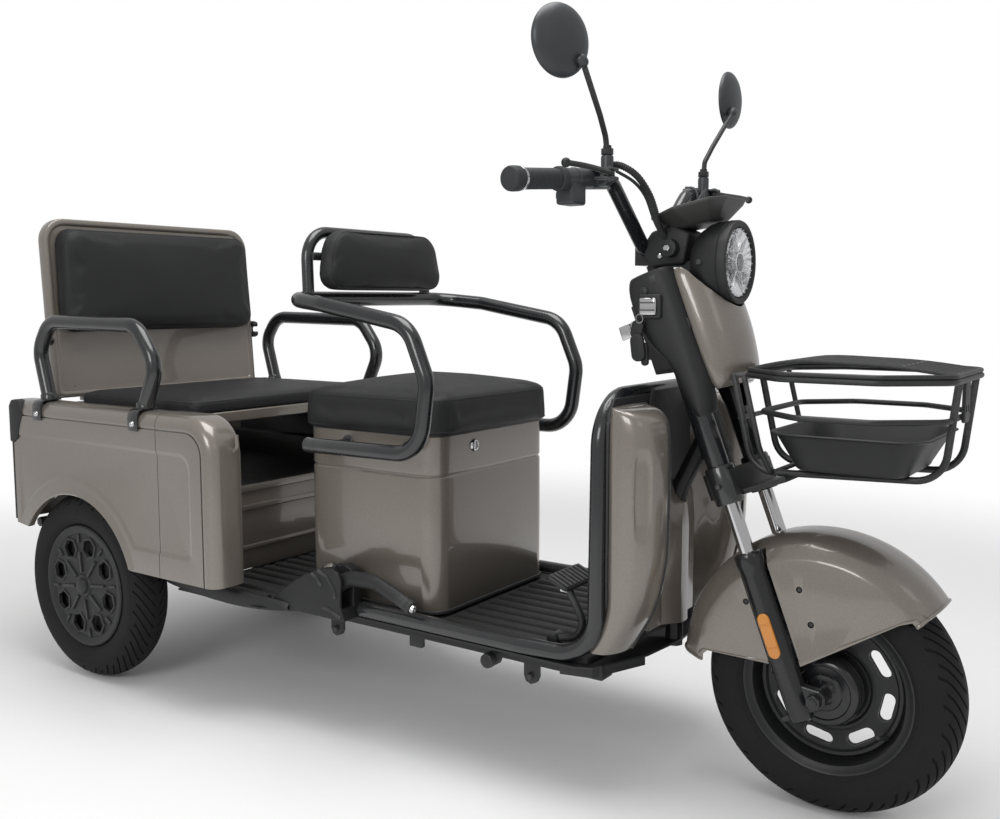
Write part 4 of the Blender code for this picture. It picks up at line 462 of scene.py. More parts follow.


# the rub amount and colour set the painted highlight along sharp edges
def makeFinish(name, slot, color, other, grain, scale, rough, bump=0.2, depth=0.0003, shade=0.5, dust=0.012,
               edgeHighlight=0.2, metal=0.0, coat=0.0, coatRough=0.05, specular=0.5, dustColor=(0.3, 0.28, 0.25),
               edgeHighlightColor=(0.25, 0.25, 0.25), **more):
    material = bpy.data.materials.new(name)
    material.use_nodes = True
    tree = material.node_tree
    shader = tree.nodes["Principled BSDF"]
    place = newNode(tree, "TexCoord").outputs["Object"]
    texture = newNode(tree, "Group", node_tree=grains[grain])
    tree.links.new(place, texture.inputs["Place"])
    texture.inputs["Scale"].default_value = scale
    wearAndEdgeHighlight = newNode(tree, "Group", node_tree=wearAndEdgeHighlightGroup)
    tree.links.new(place, wearAndEdgeHighlight.inputs["Place"])
    tree.links.new(texture.outputs["Shade"], wearAndEdgeHighlight.inputs["Shade"])
    for label, value in {"Color": (*color, 1), "Other Color": (*other, 1), "Shade Amount": shade,
                         "Dust Color": (*dustColor, 1), "Dust Amount": dust, "Painted Edge Highlight Color": (*edgeHighlightColor, 1),
                         "Painted Edge Highlight Amount": edgeHighlight, "Roughness": rough}.items():
        wearAndEdgeHighlight.inputs[label].default_value = value
    tree.links.new(wearAndEdgeHighlight.outputs["Color"], shader.inputs["Base Color"])
    tree.links.new(wearAndEdgeHighlight.outputs["Roughness"], shader.inputs["Roughness"])
    relief = newNode(tree, "Bump",
                     {"Strength": bump, "Distance": depth, "Height": texture.outputs["Height"]})
    tree.links.new(relief.outputs[0], shader.inputs["Normal"])
    for label, value in {"Metallic": metal, "Coat Weight": coat, "Coat Roughness": coatRough,
                         "Specular IOR Level": specular, **more}.items():
        shader.inputs[label].default_value = value
    finishes[name] = (material, slot)


makeFinish("taupePaint", "taupe_paint", (0.165, 0.143, 0.122), (0.3, 0.268, 0.235), "flakeGrain", 1500.0,
           0.3, bump=0.05, depth=0.0004, shade=0.42, dust=0.03, edgeHighlight=0.1, metal=0.3, coat=1.0, coatRough=0.04)
makeFinish("tubeBlack", "gloss_black_tube", (0.006, 0.0068, 0.0085), (0.012, 0.0135, 0.016), "flakeGrain",
           900.0, 0.26, bump=0.08, depth=0.0005, shade=0.3, edgeHighlight=0.15, coat=0.6, coatRough=0.08)
makeFinish("steelBlack", "satin_black_steel", (0.008, 0.0085, 0.0095), (0.016, 0.017, 0.018),
           "mouldedGrain", 500.0, 0.42, bump=0.12, edgeHighlight=0.35, specular=0.4)
makeFinish("plasticBlack", "black_plastic", (0.01, 0.0105, 0.0115), (0.019, 0.02, 0.021), "mouldedGrain",
           900.0, 0.5, bump=0.35, depth=0.00025, edgeHighlight=0.3, specular=0.4)
makeFinish("plasticGloss", "black_plastic", (0.01, 0.0105, 0.012), (0.018, 0.019, 0.021), "mouldedGrain",
           300.0, 0.2, bump=0.04, shade=0.3)
makeFinish("shellBlack", "black_plastic", (0.028, 0.032, 0.036), (0.042, 0.046, 0.05), "mouldedGrain",
           700.0, 0.38, bump=0.15, depth=0.00025)
# a paler grey copy of black plastic for the dash: painted light, the floor's bounce on its underside
makeFinish("dashPaintedBounceGrey", "black_plastic", (0.036, 0.038, 0.036), (0.054, 0.055, 0.051), "mouldedGrain", 800.0,
           0.42, bump=0.2, depth=0.00025, specular=0.45)
makeFinish("vinylBlack", "black_vinyl", (0.012, 0.0125, 0.0135), (0.023, 0.024, 0.025), "hideGrain", 850.0,
           0.5, bump=0.45, shade=0.55, specular=0.3)
makeFinish("tyreRubber", "tyre_rubber", (0.007, 0.007, 0.0074), (0.015, 0.015, 0.0155), "mouldedGrain",
           650.0, 0.68, bump=0.4, depth=0.0004, shade=0.6, dust=0.04, edgeHighlight=0.3, specular=0.2,
           dustColor=(0.1, 0.095, 0.09), edgeHighlightColor=(0.05, 0.05, 0.05))
makeFinish("floorRubber", "floor_rubber", (0.011, 0.011, 0.0115), (0.022, 0.022, 0.022), "mouldedGrain",
           550.0, 0.6, bump=0.5, depth=0.0004, shade=0.6, dust=0.06, edgeHighlight=0.3, specular=0.35,
           dustColor=(0.12, 0.115, 0.105), edgeHighlightColor=(0.06, 0.06, 0.06))
makeFinish("gripRubber", "grip_rubber", (0.024, 0.027, 0.03), (0.036, 0.039, 0.042), "mouldedGrain", 1100.0,
           0.6, bump=0.4, specular=0.35)
makeFinish("chrome", "chrome", (0.58, 0.58, 0.59), (0.66, 0.66, 0.67), "brushedGrain", 700.0, 0.1,
           bump=0.03, depth=0.0002, shade=0.4, dust=0.03, edgeHighlight=0.1, metal=1.0)
makeFinish("clearGlass", "clear_lens", (0.93, 0.94, 0.95), (0.95, 0.96, 0.97), "flakeGrain", 300.0, 0.03,
           bump=0.02, depth=0.0002, shade=0.3, dust=0.0, edgeHighlight=0.0,
           **{"Transmission Weight": 1.0, "IOR": 1.45})
makeFinish("mirrorGlass", "chrome", (0.72, 0.74, 0.76), (0.75, 0.77, 0.79), "brushedGrain", 40.0, 0.03,
           bump=0.0, depth=0.0001, shade=0.2, dust=0.01, edgeHighlight=0.0, metal=1.0)
makeFinish("amberLens", "clear_lens", (0.55, 0.19, 0.012), (0.75, 0.3, 0.03), "hideGrain", 420.0, 0.22,
           bump=0.5, depth=0.0004, dust=0.02, edgeHighlight=0.0, coat=0.8)
makeFinish("redLens", "clear_lens", (0.16, 0.006, 0.006), (0.26, 0.012, 0.01), "hideGrain", 300.0, 0.15,
           bump=0.4, depth=0.0004, dust=0.02, edgeHighlight=0.0, coat=1.0)
print("finishes ready")


def dress(piece, finishName, body, nodes=(), smooth=35.0):
    moveTo(piece, (rearAxleX, 0.0, 0.0))
    pick(piece)
    material, slot = finishes[finishName]
    piece.data.materials.clear()
    piece.data.materials.append(material)
    piece.data.polygons.foreach_set("material_index", [0] * len(piece.data.polygons))
    bpy.ops.object.shade_smooth_by_angle(angle=math.radians(smooth))
    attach(piece, body)
    if nodes:
        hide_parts(*nodes)
    return piece


# the piece and its mirror twin
def dressBoth(piece, otherName, finishName, bodies, nodes=(), smooth=35.0):
    other = twin(piece, otherName, acrossMiddle)
    dress(piece, finishName, bodies[0], nodes[:1], smooth)
    dress(other, finishName, bodies[-1], nodes[1:], smooth)


# a copy of a CAD shape with merged faces and soft edges
def refined(name, nodeName, bevel=0.0012, segments=2):
    piece = bpy.data.objects.new(name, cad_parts[nodeName].data.copy())
    bpy.context.scene.collection.objects.link(piece)
    moveTo(piece, (-rearAxleX, 0.0, 0.0))
    pick(piece)
    openMesh()
    bpy.ops.mesh.remove_doubles(threshold=0.00003)
    bpy.ops.mesh.dissolve_limited(angle_limit=math.radians(2.0))
    bpy.ops.object.mode_set(mode="OBJECT")
    if bevel:
        roundEdges(piece, bevel, segments, 38.0)
    return piece


# the floor, the light and the camera

# each lamp: name, place, aim, width, power
stageLook = {"floorTone": 0.93, "skyForShade": 0.56, "whiteRange": (1.6, 3.2),
             "lamps": (("ceilingPanel", (0.2, -0.2, 3.0), (0.0, 0.0, 0.3), 1.8, 50.0),
                       ("sideBox", (0.4, -3.2, 1.9), (0.1, 0.0, 0.4), 1.2, 28.0),
                       ("frontBox", (3.0, -1.2, 2.2), (0.6, 0.0, 0.5), 0.8, 1.5)), "lens": 37.446,
             "shift": (-0.0027, -0.0032), "viewer": (1.25952, -1.63355, 0.82044),
             "viewTurn": (math.pi / 2 - 0.10239, 0.00102, 0.60629),}


def setTheStage():
    look = stageLook
    calm()
    bpy.ops.mesh.primitive_plane_add(size=40.0, location=(0.0, 0.0, -0.0006))
    floor = named("studioFloor")
    material = bpy.data.materials.new("studioFloor")
    material.use_nodes = True
    tree = material.node_tree
    shader = tree.nodes["Principled BSDF"]
    output = tree.nodes["Material Output"]
    shader.inputs["Roughness"].default_value = 0.6
    shader.inputs["Specular IOR Level"].default_value = 0.1
    place = newNode(tree, "TexCoord").outputs["Object"]
    speckle = softNoise(tree, place, 60.0)
    tone = look["floorTone"]
    mottled = blendColours(tree, speckle, (tone, tone, tone, 1.0),
                           (tone - 0.02, tone - 0.02, tone - 0.02, 1.0))
    tree.links.new(mottled, shader.inputs["Base Color"])
    away = newNode(tree, "VectorMath", {0: place}, operation="LENGTH").outputs["Value"]
    low, high = look["whiteRange"]
    fade = newNode(tree, "MapRange", {0: away, 1: low, 2: high}, interpolation_type="SMOOTHSTEP").outputs[0]
    seen = newNode(tree, "LightPath").outputs
    white = newNode(tree, "Emission", {"Color": (1, 1, 1, 1), "Strength": 1.0})
    mix = newNode(tree, "MixShader", {0: times(tree, fade, seen["Is Camera Ray"]), 1: shader.outputs[0],
                2: white.outputs[0]})
    tree.links.new(mix.outputs[0], output.inputs["Surface"])
    floor.data.materials.append(material)

    world = bpy.data.worlds.new("studioSky")
    bpy.context.scene.world = world
    world.use_nodes = True
    tree = world.node_tree
    seen = newNode(tree, "LightPath").outputs
    direct = reckon(tree, "ADD", seen["Is Camera Ray"], seen["Is Transmission Ray"], True)
    strength = newNode(tree, "MapRange", {0: direct, 3: look["skyForShade"], 4: 1.0}).outputs[0]
    backdrop = tree.nodes["Background"]
    backdrop.inputs[0].default_value = (1.0, 1.0, 1.0, 1.0)
    tree.links.new(strength, backdrop.inputs[1])

    for name, place, aim, width, power in look["lamps"]:
        lamp = bpy.data.lights.new(name, "AREA")
        lamp.energy = power
        lamp.size = width
        holder = bpy.data.objects.new(name, lamp)
        bpy.context.scene.collection.objects.link(holder)
        holder.matrix_world = Matrix.Translation(place) @ turnTo(Vector(place) - Vector(aim))

    camera = bpy.data.cameras.new("photoView")
    camera.sensor_fit = "HORIZONTAL"
    camera.sensor_width = 36.0
    camera.lens = look["lens"]
    camera.shift_x, camera.shift_y = look["shift"]
    viewer = bpy.data.objects.new("photoView", camera)
    bpy.context.scene.collection.objects.link(viewer)
    viewer.location = look["viewer"]
    viewer.rotation_euler = look["viewTurn"]
    bpy.context.scene.camera = viewer
    bpy.context.scene.view_settings.view_transform = "Standard"


setTheStage()
print("stage ready")


# tyres and wheels

tyreLook = {"radius": 0.2037, "bead": 0.1337, "beadHalf": 0.025, "tread": (0.176, 0.186), "grooves": 52,
            "columns": 4, "sweep": 15.0, "grooveDepth": 0.003, "centreRib": 0.007}
tyreCurve = mm((133.7, 33.6), (137, 36.6), (144, 40.4), (152, 42.6), (161, 43.6), (170, 43.5), (178, 42),
               (184.5, 39.4), (189.5, 36), (193.5, 31.8), (196.8, 26.8), (199.5, 21.2), (201.5, 15.6),
               (202.9, 10.4), (203.6, 5.2))


def grooveLag(y):       # how far round a groove leads at this distance from the middle
    return math.radians(tyreLook["sweep"]) * min(abs(y) / 0.036, 1.2) ** 1.4


def makeTyre(name, centre):
    look = tyreLook
    section = tyreCurve + [(look["radius"], 0.0)] + [(r, -y) for r, y in reversed(tyreCurve)]
    section += [(look["bead"], -look["beadHalf"]), (look["bead"], look["beadHalf"])]
    steps = look["grooves"] * look["columns"]
    rows = []
    for i in range(steps + 1):
        row = []
        for radius, y in section + section[:1]:
            angle = 2 * math.pi * i / steps + grooveLag(y)
            row.append((radius * math.cos(angle), y, radius * math.sin(angle)))
        rows.append(row)
    tyre = makeShell(name, rows)
    pitch = 2 * math.pi / look["grooves"]
    mesh = tyre.data
    for face in mesh.polygons:
        x, y, z = face.center
        radius = math.hypot(x, z)
        turns = (math.atan2(z, x) - grooveLag(y)) / pitch
        inTread = radius > look["tread"][0] and look["centreRib"] < abs(y)
        short = radius < look["tread"][1] and int(turns // 1) % 2      # every other groove ends early
        face.select = inTread and turns % 1.0 < 0.25 and not short
    pick(tyre)
    bpy.context.tool_settings.mesh_select_mode = (False, False, True)
    bpy.ops.object.mode_set(mode="EDIT")
    bpy.ops.mesh.inset(thickness=0.0007, depth=-look["grooveDepth"])
    bpy.ops.mesh.select_mode(type="VERT")
    bpy.ops.object.mode_set(mode="OBJECT")
    return moveTo(tyre, centre)


def ringMark(name, radius, y, size, centre, side=1.0):     # a thin raised ring moulded on a sidewall
    profile = [(radius - size, y - 0.001), (radius - size * 0.5, y + size * 0.55),
               (radius + size * 0.5, y + size * 0.55), (radius + size, y - 0.001)]
    return makeTurned(name, profile, centre, (0, side, 0), 96, closed=True)


frontAxle = Vector((1.515, 0.0, wheelZ))
rearHubs = {"left": Vector((0.0, 0.303, wheelZ)), "right": Vector((0.0, -0.303, wheelZ))}
for word, centre, body, node in (("front", frontAxle, "front_wheel", "front_tyre"),
                                 ("rearLeft", rearHubs["left"], "rear_wheel_left", "rear_tyre_left"),
                                 ("rearRight", rearHubs["right"], "rear_wheel_right", "rear_tyre_right")):
    tyre = makeTyre(word + "Tyre", centre)
    rings = []
    for side in (1.0, -1.0):
        for radius, y, size in ((0.145, 0.0404, 0.0012), (0.1705, 0.0432, 0.0009)):
            rings.append(ringMark(word + "Ring", radius, y, size, centre, side))
    dress(joinUp(word + "Tyre", [tyre] + rings), "tyreRubber", body, (node,), 40.0)
print("tyres ready")

frontWheelLook = {"slots": 8, "slotPhase": 0.1, "slotRing": 0.089, "slotLength": 0.048, "slotWidth": 0.02}


def makeFrontWheel():
    look = frontWheelLook
    rim = mm((135.5, 35), (136.2, 36.2), (135, 36.8), (131.8, 35.2), (129, 32.2), (122.5, 30), (120.5, 27),
             (119.5, 16), (118, 12), (115, 10.5))
    other = [(r, -y) for r, y in reversed(rim)]
    barrel = makeTurned("frontWheelRim", rim[:-1] + mm((116.5, 4), (116.5, -4)) + other[1:]
                        + mm((132.5, -30), (124, -24), (123.5, 24), (132.5, 30)), (0, 0, 0), leftwards, 96,
                        closed=True)
    disc = makeTurned("frontWheelDisc", mm((40, 3), (62, 3), (66, 6), (70, 6.2), (74, 4.2), (104, 4.2),
                (107.5, 7.5), (112.5, 7.8), (116.5, 4), (120, 3), (120, -3), (116.5, -5), (112.5, -8.8),
                (107.5, -8.5), (104, -4.8), (74, -4.8), (70, -7), (66, -6.8), (62, -4), (40, -4)),
                      (0, 0, 0), leftwards, 96, closed=True)
    half, end = look["slotLength"] / 2 - look["slotWidth"] / 2, look["slotWidth"] / 2
    slot = arcPoints((half, 0), end, -90, 90, 8) + arcPoints((-half, 0), end, 90, 270, 8)
    cutters, lips = [], []
    for i in range(look["slots"]):
        turn = Matrix.Rotation(2 * math.pi * (i + look["slotPhase"]) / look["slots"] + math.pi / 24, 4, "Y")
        place = turn @ Matrix.Translation((0, 0, look["slotRing"]))
        cutters.append(moveBy(makePlate("slotCutter", slot, -0.02, 0.02, "XZ", bevel=0.0), place))
        lip = makeTube("slotLip", [(u, 0.0042, v) for u, v in slot], 0.0012, bend=0.0, closed=True, detail=1)
        lips.append(moveBy(lip, place))
    disc = carve(disc, cutters)
    hub = mm((0, 34), (14, 34), (15, 35.5), (30, 34.5), (36, 30), (40, 20), (42, 6), (42, 0), (0, 0))
    leftHub = makeTurned("frontHub", hub, (0, 0, 0), leftwards, 48)
    drum = makeTurned("frontDrum", mm((0, 35.5), (20, 35.5), (50, 35), (54, 33.5), (56, 30), (57.5, 26),
                (56, 24.5), (57.5, 23), (56, 19), (58, 12), (59, 4), (0, 4)), (0, 0, 0), (0, -1, 0), 64)
    valve = makeRod("frontValve", (0.0, -0.002, 0.1165), (0.0, -0.03, 0.101), 0.0032, 10)
    moveBy(valve, Matrix.Rotation(2.2, 4, "Y"))
    wheel = joinUp("frontWheel", [barrel, disc, leftHub, drum, valve] + lips)
    return moveTo(wheel, frontAxle)


dress(makeFrontWheel(), "steelBlack", "front_wheel", ("front_wheel",), 30.0)

coverLook = {"holes": 8, "holeRing": 0.088, "holeRadius": 0.0205, "ribWidth": 0.003}


def makeRearWheel(word):
    look = coverLook
    cover = makeTurned("rearCover", mm((0, 40), (24, 40), (27, 37), (60, 36.5), (112, 34.5), (116, 37.5),
                (122, 38.5), (126, 40), (130, 39.8), (132.5, 37), (132.8, 30), (132.8, -34.5),
                (128.5, -34.5), (128.5, 20), (120, 31), (50, 32), (32, -34), (0, -34)), (0, 0, 0),
                       leftwards, 96)
    cutters, ribs = [], []
    for i in range(look["holes"]):
        angle = 360.0 * (i + 0.5) / look["holes"] + 7.5
        place = rotation(-angle) @ Matrix.Translation((look["holeRing"], 0, 0))
        hexagon = arcPoints((0, 0), look["holeRadius"] - 0.001, 0, 300, 5)
        cutters.append(moveBy(makePlate("holeCutter", hexagon, 0.025, 0.06, "XZ", bevel=0.0), place))
        wide = [(u, 0.0362, v) for u, v in arcPoints((0, 0), look["holeRadius"] + 0.0022, 0, 300, 5)]
        ribs.append(moveBy(makeTube("holeFrame", wide, look["ribWidth"], bend=0.0, closed=True, detail=1),
                           place))
        between = rotation(-(angle + 22.5))
        for run in (mm((112, 36, 0), (94, 37.2, 0)), mm((74, 38, 0), (30, 39.2, 0))):
            ribs.append(moveBy(makeTube("coverSpoke", run, look["ribWidth"], bend=0.0, detail=1), between))
    cover = carve(cover, cutters)
    cap = makeTurned("rearCap", mm((0, 47), (12, 46.6), (16, 45), (17.2, 42.5), (17.5, 38), (0, 38)),
                     (0, 0, 0), leftwards, 32)
    back = makeTurned("rearRimBack", mm((0, 24), (128, 16), (128, 13), (0, 20)), (0, 0, 0), leftwards, 48)
    wheel = joinUp("rearWheel", [cover, cap, back] + ribs)
    if word == "right":
        moveBy(wheel, acrossMiddle)
    return moveTo(wheel, rearHubs[word])


for word in ("left", "right"):
    wheel = makeRearWheel(word)
    dress(rename(wheel, "rearWheel" + word.title()), "plasticBlack", "rear_wheel_" + word,
          ("rear_wheel_" + word,), 30.0)
print("wheels ready")


# rear body: pressed side skins, rolled rail, corner doors

bodyLook = {"half": 0.36, "skin": 0.0026, "press": 0.0032, "seam": 0.29, "rear": -0.2126, "front": 0.456,
            "top": 0.6, "low": 0.27, "bend": 0.078, "arch": 0.203, "archBand": 0.03, "lowBend": 0.012}
rollCurve = mm((-34.5, 359.8), (-34.2, 356), (-32.8, 356), (-31.8, 359.2), (-29, 360), (-21.5, 359.6),
               (-14, 357.2), (-7.5, 352.4), (-2.8, 345.5), (-0.4, 337), (0, 324), (-0.2, 308), (-1.2, 301),
               (-4, 297.6))


def makeSkin():         # the left side and its door in one sheet, with a field pressed in across the seam
    look = bodyLook
    inner = look["bend"] - 0.0345
    corner = (look["front"] - look["bend"], look["top"] - look["bend"])

    def outlineAt(rear, low, top, front, round, arch, start, end):
        points = [(rear, wheelZ + math.sqrt(arch ** 2 - rear ** 2) if arch > abs(rear) else low),
                  (rear, top), (look["seam"], top)]
        points += list(reversed(arcPoints((front - round, top - round), round, 0, 90, 10)))
        if low > look["low"]:
            points += reversed(arcPoints((front - look["lowBend"], low + look["lowBend"]), look["lowBend"],
                        270, 360, 4))
        else:
            points += [(front, low)] * 5
        points.append((look["seam"], low))
        return points + arcPoints((0.0, wheelZ), arch, start, end, 30)

    topLine, frontLine = look["top"] - 0.035, corner[0] + inner
    rings = [(outlineAt(look["rear"], look["low"], topLine, frontLine, inner, look["arch"], 19.1, 146.0),
              0.0)]
    for shift, press in ((0.0, 0.0), (0.003, 0.0005), (0.007, 0.0027), (0.01, look["press"])):
        arch = look["arch"] + look["archBand"] + shift
        low = look["low"] + 0.045 + shift
        rear = look["rear"] + 0.012 + shift
        rings.append((outlineAt(rear, low, topLine - 0.038 - shift, frontLine - 0.03 - shift, 0.03, arch,
                                math.degrees(math.asin((low - wheelZ) / arch)),
                                math.degrees(math.acos(rear / arch))), press))
    rings[0][0][0] = (look["rear"], 0.3225)
    rows = [[(x, look["half"] - press, z) for x, z in outline] for outline, press in rings]
    skin = makeShell("bodySkin", rows, ring=True)
    pick(skin)
    bpy.ops.object.mode_set(mode="EDIT")
    bpy.ops.mesh.select_mode(type="EDGE")
    bpy.ops.mesh.select_all(action="DESELECT")
    bpy.ops.mesh.select_non_manifold()
    bpy.ops.object.mode_set(mode="OBJECT")
    for edge in skin.data.edges:        # only the inner border is filled
        ends = [skin.data.vertices[i] for i in edge.vertices]
        edge.select = edge.select and all(v.co.y < look["half"] - look["press"] + 0.0001 for v in ends)
    for vertex in skin.data.vertices:
        vertex.select = vertex.select and vertex.co.y < look["half"] - look["press"] + 0.0001
    bpy.ops.object.mode_set(mode="EDIT")
    bpy.ops.mesh.edge_face_add()
    bpy.ops.mesh.select_mode(type="VERT")
    mendMesh()
    return faceOut(skin, leftwards)


def keepSide(piece, place, normal):     # cuts a sheet with a plane and keeps what lies behind it
    pick(piece)
    openMesh()
    bpy.ops.mesh.bisect(plane_co=place, plane_no=normal, clear_outer=True, use_fill=False)
    bpy.ops.object.mode_set(mode="OBJECT")
    return piece


def makeRoll(name, path, curve):
    rows = [[place + outward * out + Vector((0.0, y, 0.0)) for out, y in curve] for place, outward in path]
    return giveWall(faceOut(makeShell(name, rows), centre=(0.1, 0.2, 0.4)), bodyLook["skin"])


def makeBodySide():
    look = bodyLook
    skin = makeSkin()
    doorSkin = giveWall(keepSide(twin(skin, "doorSkin"), (look["seam"] + 0.0008, 0, 0), (-1, 0, 0)),
                        look["skin"])
    panelSkin = giveWall(keepSide(skin, (look["seam"] - 0.0008, 0, 0), forwards), look["skin"])
    up, ahead = Vector(upwards), Vector(forwards)
    panelRoll = makeRoll("panelRoll", [(Vector((x, 0, look["top"])), up)
                for x in (look["rear"], 0.0, look["seam"] - 0.0008)], rollCurve)
    corner = (look["front"] - look["bend"], look["top"] - look["bend"])
    path = [(Vector((look["seam"] + 0.0008, 0, look["top"])), up)]
    for i in range(13):
        angle = math.radians(90.0 - 7.5 * i)
        outward = ahead * math.cos(angle) + up * math.sin(angle)
        path.append((Vector((corner[0], 0, corner[1])) + outward * look["bend"], outward))
    path += [(Vector((look["front"], 0, z)), ahead) for z in (0.4, look["low"])]
    doorCurve = rollCurve[:-2] + mm((-0.4, 296), (-3, 288), (-12, 286.2))
    doorRoll = makeRoll("doorRoll", path, doorCurve)
    flare = []
    for i in range(37):
        angle = math.radians(19.6 + (145.6 - 19.6) * i / 36)
        row = mm((223, 359.2), (217, 360.2), (210, 362.2), (205.5, 362.8), (203, 361), (202.5, 356),
                 (203.5, 348))
        flare.append([(r * math.cos(angle), y, wheelZ + r * math.sin(angle)) for r, y in row])
    flare = makeShell("archFlare", flare, wall=0.0016, offset=0.0)
    hook = makeTube("doorHook", mm((448, 306, 528), (466, 306, 540), (464, 306, 564)), 0.004, 0.008,
                    detail=3)
    return joinUp("sidePanelLeft", [panelSkin, panelRoll, flare]), joinUp("cornerDoorLeft",
            [doorSkin, doorRoll, hook])


panel, door = makeBodySide()
dressBoth(panel, "sidePanelRight", "taupePaint", ("chassis",), ("side_panel_left", "side_panel_right"), 20.0)
doors = ("corner_door_left", "corner_door_right")
dressBoth(door, "cornerDoorRight", "taupePaint", doors, doors, 20.0)
print("rear body ready")


# tail, tub and bench

def makeTail():
    plate = makePlate("tailPlate", mm((-356, 330), (356, 330), (356, 560), (336, 572), (-336, 572),
                (-356, 560)), -0.213, -0.21, "YZ", bevel=0.0008)
    panel = makePlate("tailRaised", roundedBox((-0.2, 0.4), (0.2, 0.52), 0.012), -0.2168, -0.212, "YZ",
                      bevel=0.0018, segments=3)
    rib = makePlate("tailRib", roundedBox((-0.18, 0.352), (0.18, 0.378), 0.01), -0.215, -0.212, "YZ",
                    bevel=0.0012, segments=3)
    shelf = makeBlock("tailShelf", (-0.21, -0.295, 0.56), (-0.2055, 0.295, 0.57), 0.0006)
    return joinUp("tailPanel", [plate, panel, rib, shelf])


dress(makeTail(), "taupePaint", "chassis", ("tail_panel",), 30.0)
for side, word in ((1, "Left"), (-1, "Right")):
    near, far = sorted((side * 0.29, side * 0.3545))
    outline = roundedBox((near, 0.402), (far, 0.468), 0.01)
    lens = makePlate("tailLamp" + word, outline, -0.2315, -0.215, "YZ", bevel=0.004, segments=4)
    dress(lens, "redLens", "chassis")
    near, far = sorted((side * 0.286, side * 0.3575))
    frameBand = makePlate("tailLampFrame" + word, roundedBox((near, 0.398), (far, 0.472), 0.012), -0.224,
                          -0.2131, "YZ", bevel=0.002, segments=3)
    guard = [makePlate("cornerGuard", mm((-223, 505), (-208, 503), (-196, 512), (-185, 545), (-173, 569),
                (-173, 585), (-180, 595.5), (-199, 601), (-214, 599), (-223, 586)), 0.34, 0.3636, "XZ",
                       bevel=0.004, segments=3)]
    guard.append(makePlate("cornerStrip", mm((-218.5, 330), (-212, 330), (-212, 515), (-218.5, 515)), 0.348,
                           0.3612, "XZ", bevel=0.002))
    guard = onSide(joinUp("cornerGuard", guard), side)
    dress(joinUp("cornerGuard" + word, [guard, frameBand]), "plasticBlack", "chassis")


def makeTub():          # painted front with three bands, and a dark inside
    face = makeBlock("tubFace", (0.284, -0.2915, 0.24), (0.2904, 0.2915, 0.4225), 0.001)
    bands = [makeBlock("tubBand", (0.286, -0.2905, low - 0.0003), (0.2945, 0.2905, high + 0.0003), 0.0022, 3)
             for low, high in ((0.408, 0.421), (0.368, 0.38), (0.283, 0.292))]
    return joinUp("tubFront", [face] + bands)


dress(makeTub(), "taupePaint", "chassis", (), 30.0)
dress(refined("tubInside", "rear_tub", 0.0008, 1), "steelBlack", "chassis", ("rear_tub",), 30.0)


def makeBenchBoard():
    trim = makePlate("benchTrim", mm((288.5, 564), (293, 564.5), (294.8, 567), (294.8, 585), (292.5, 587.2),
                (288.5, 587.6)), -0.2795, 0.2795, "XZ", bevel=0.0008)
    plate = makeBlock("benchPlate", (-0.1225, -0.291, 0.5765), (0.2905, 0.291, 0.5872), 0.001)
    tongues = [makeBlock("benchTongue", (-0.1765, y - 0.0245, 0.5765), (-0.113, y + 0.0245, 0.5872), 0.0012)
               for y in (0.2, -0.2)]
    return joinUp("benchBoard", [plate, trim] + tongues)


dress(makeBenchBoard(), "taupePaint", "chassis", ("bench_board",), 30.0)


# rear backrest shell with a rolled rim

backPlace = Matrix.Translation((-0.143, 0.0, 0.588)) @ rotation(-4.0)
backLook = {"half": 0.292, "low": 0.012, "high": 0.417, "corner": 0.052}


def backOutline(shrink):
    half, low = backLook["half"] - shrink, backLook["low"] + shrink
    high, corner = backLook["high"] - shrink, backLook["corner"] - shrink * 0.8
    points = arcPoints((half - 0.01, low + 0.01), 0.01, -90, 0, 3)
    points += arcPoints((half - corner, high - corner), corner, 0, 90, 8)
    points += arcPoints((-half + corner, high - corner), corner, 90, 180, 8)
    return points + arcPoints((-half + 0.01, low + 0.01), 0.01, 180, 270, 3)


def makeBackShell():
    rings = mm((24, -26.5), (6, -28), (1.6, -26.2), (0, -22.5), (0, -7), (1.4, -2.4), (5, -0.4), (10, -0.6),
               (13.8, -2.8), (16, -5.6), (23, -6))
    rows = [[(depth, y, z) for y, z in backOutline(shrink)] for shrink, depth in rings]
    rim = makeShell("backRim", rows, ring=True)
    face = makePlate("backFace", backOutline(0.0225), -0.0075, -0.0058, "YZ", bevel=0.0)
    rear = makePlate("backRear", backOutline(0.0235), -0.0268, -0.0256, "YZ", bevel=0.0)
    press = makePlate("backPress", roundedBox((-0.22, 0.08), (0.22, 0.35), 0.03), -0.0285, -0.0262, "YZ",
                      bevel=0.0014, segments=3)
    straps = [makeBlock("backStrap", (-0.0285, y - 0.0195, 0.003), (-0.007, y + 0.0195, 0.041), 0.0015)
              for y in (0.2, -0.2)]
    return moveBy(joinUp("backrestShell", [rim, face, rear, press] + straps), backPlace)


dress(makeBackShell(), "taupePaint", "rear_backrest", ("rear_backrest_shell",))


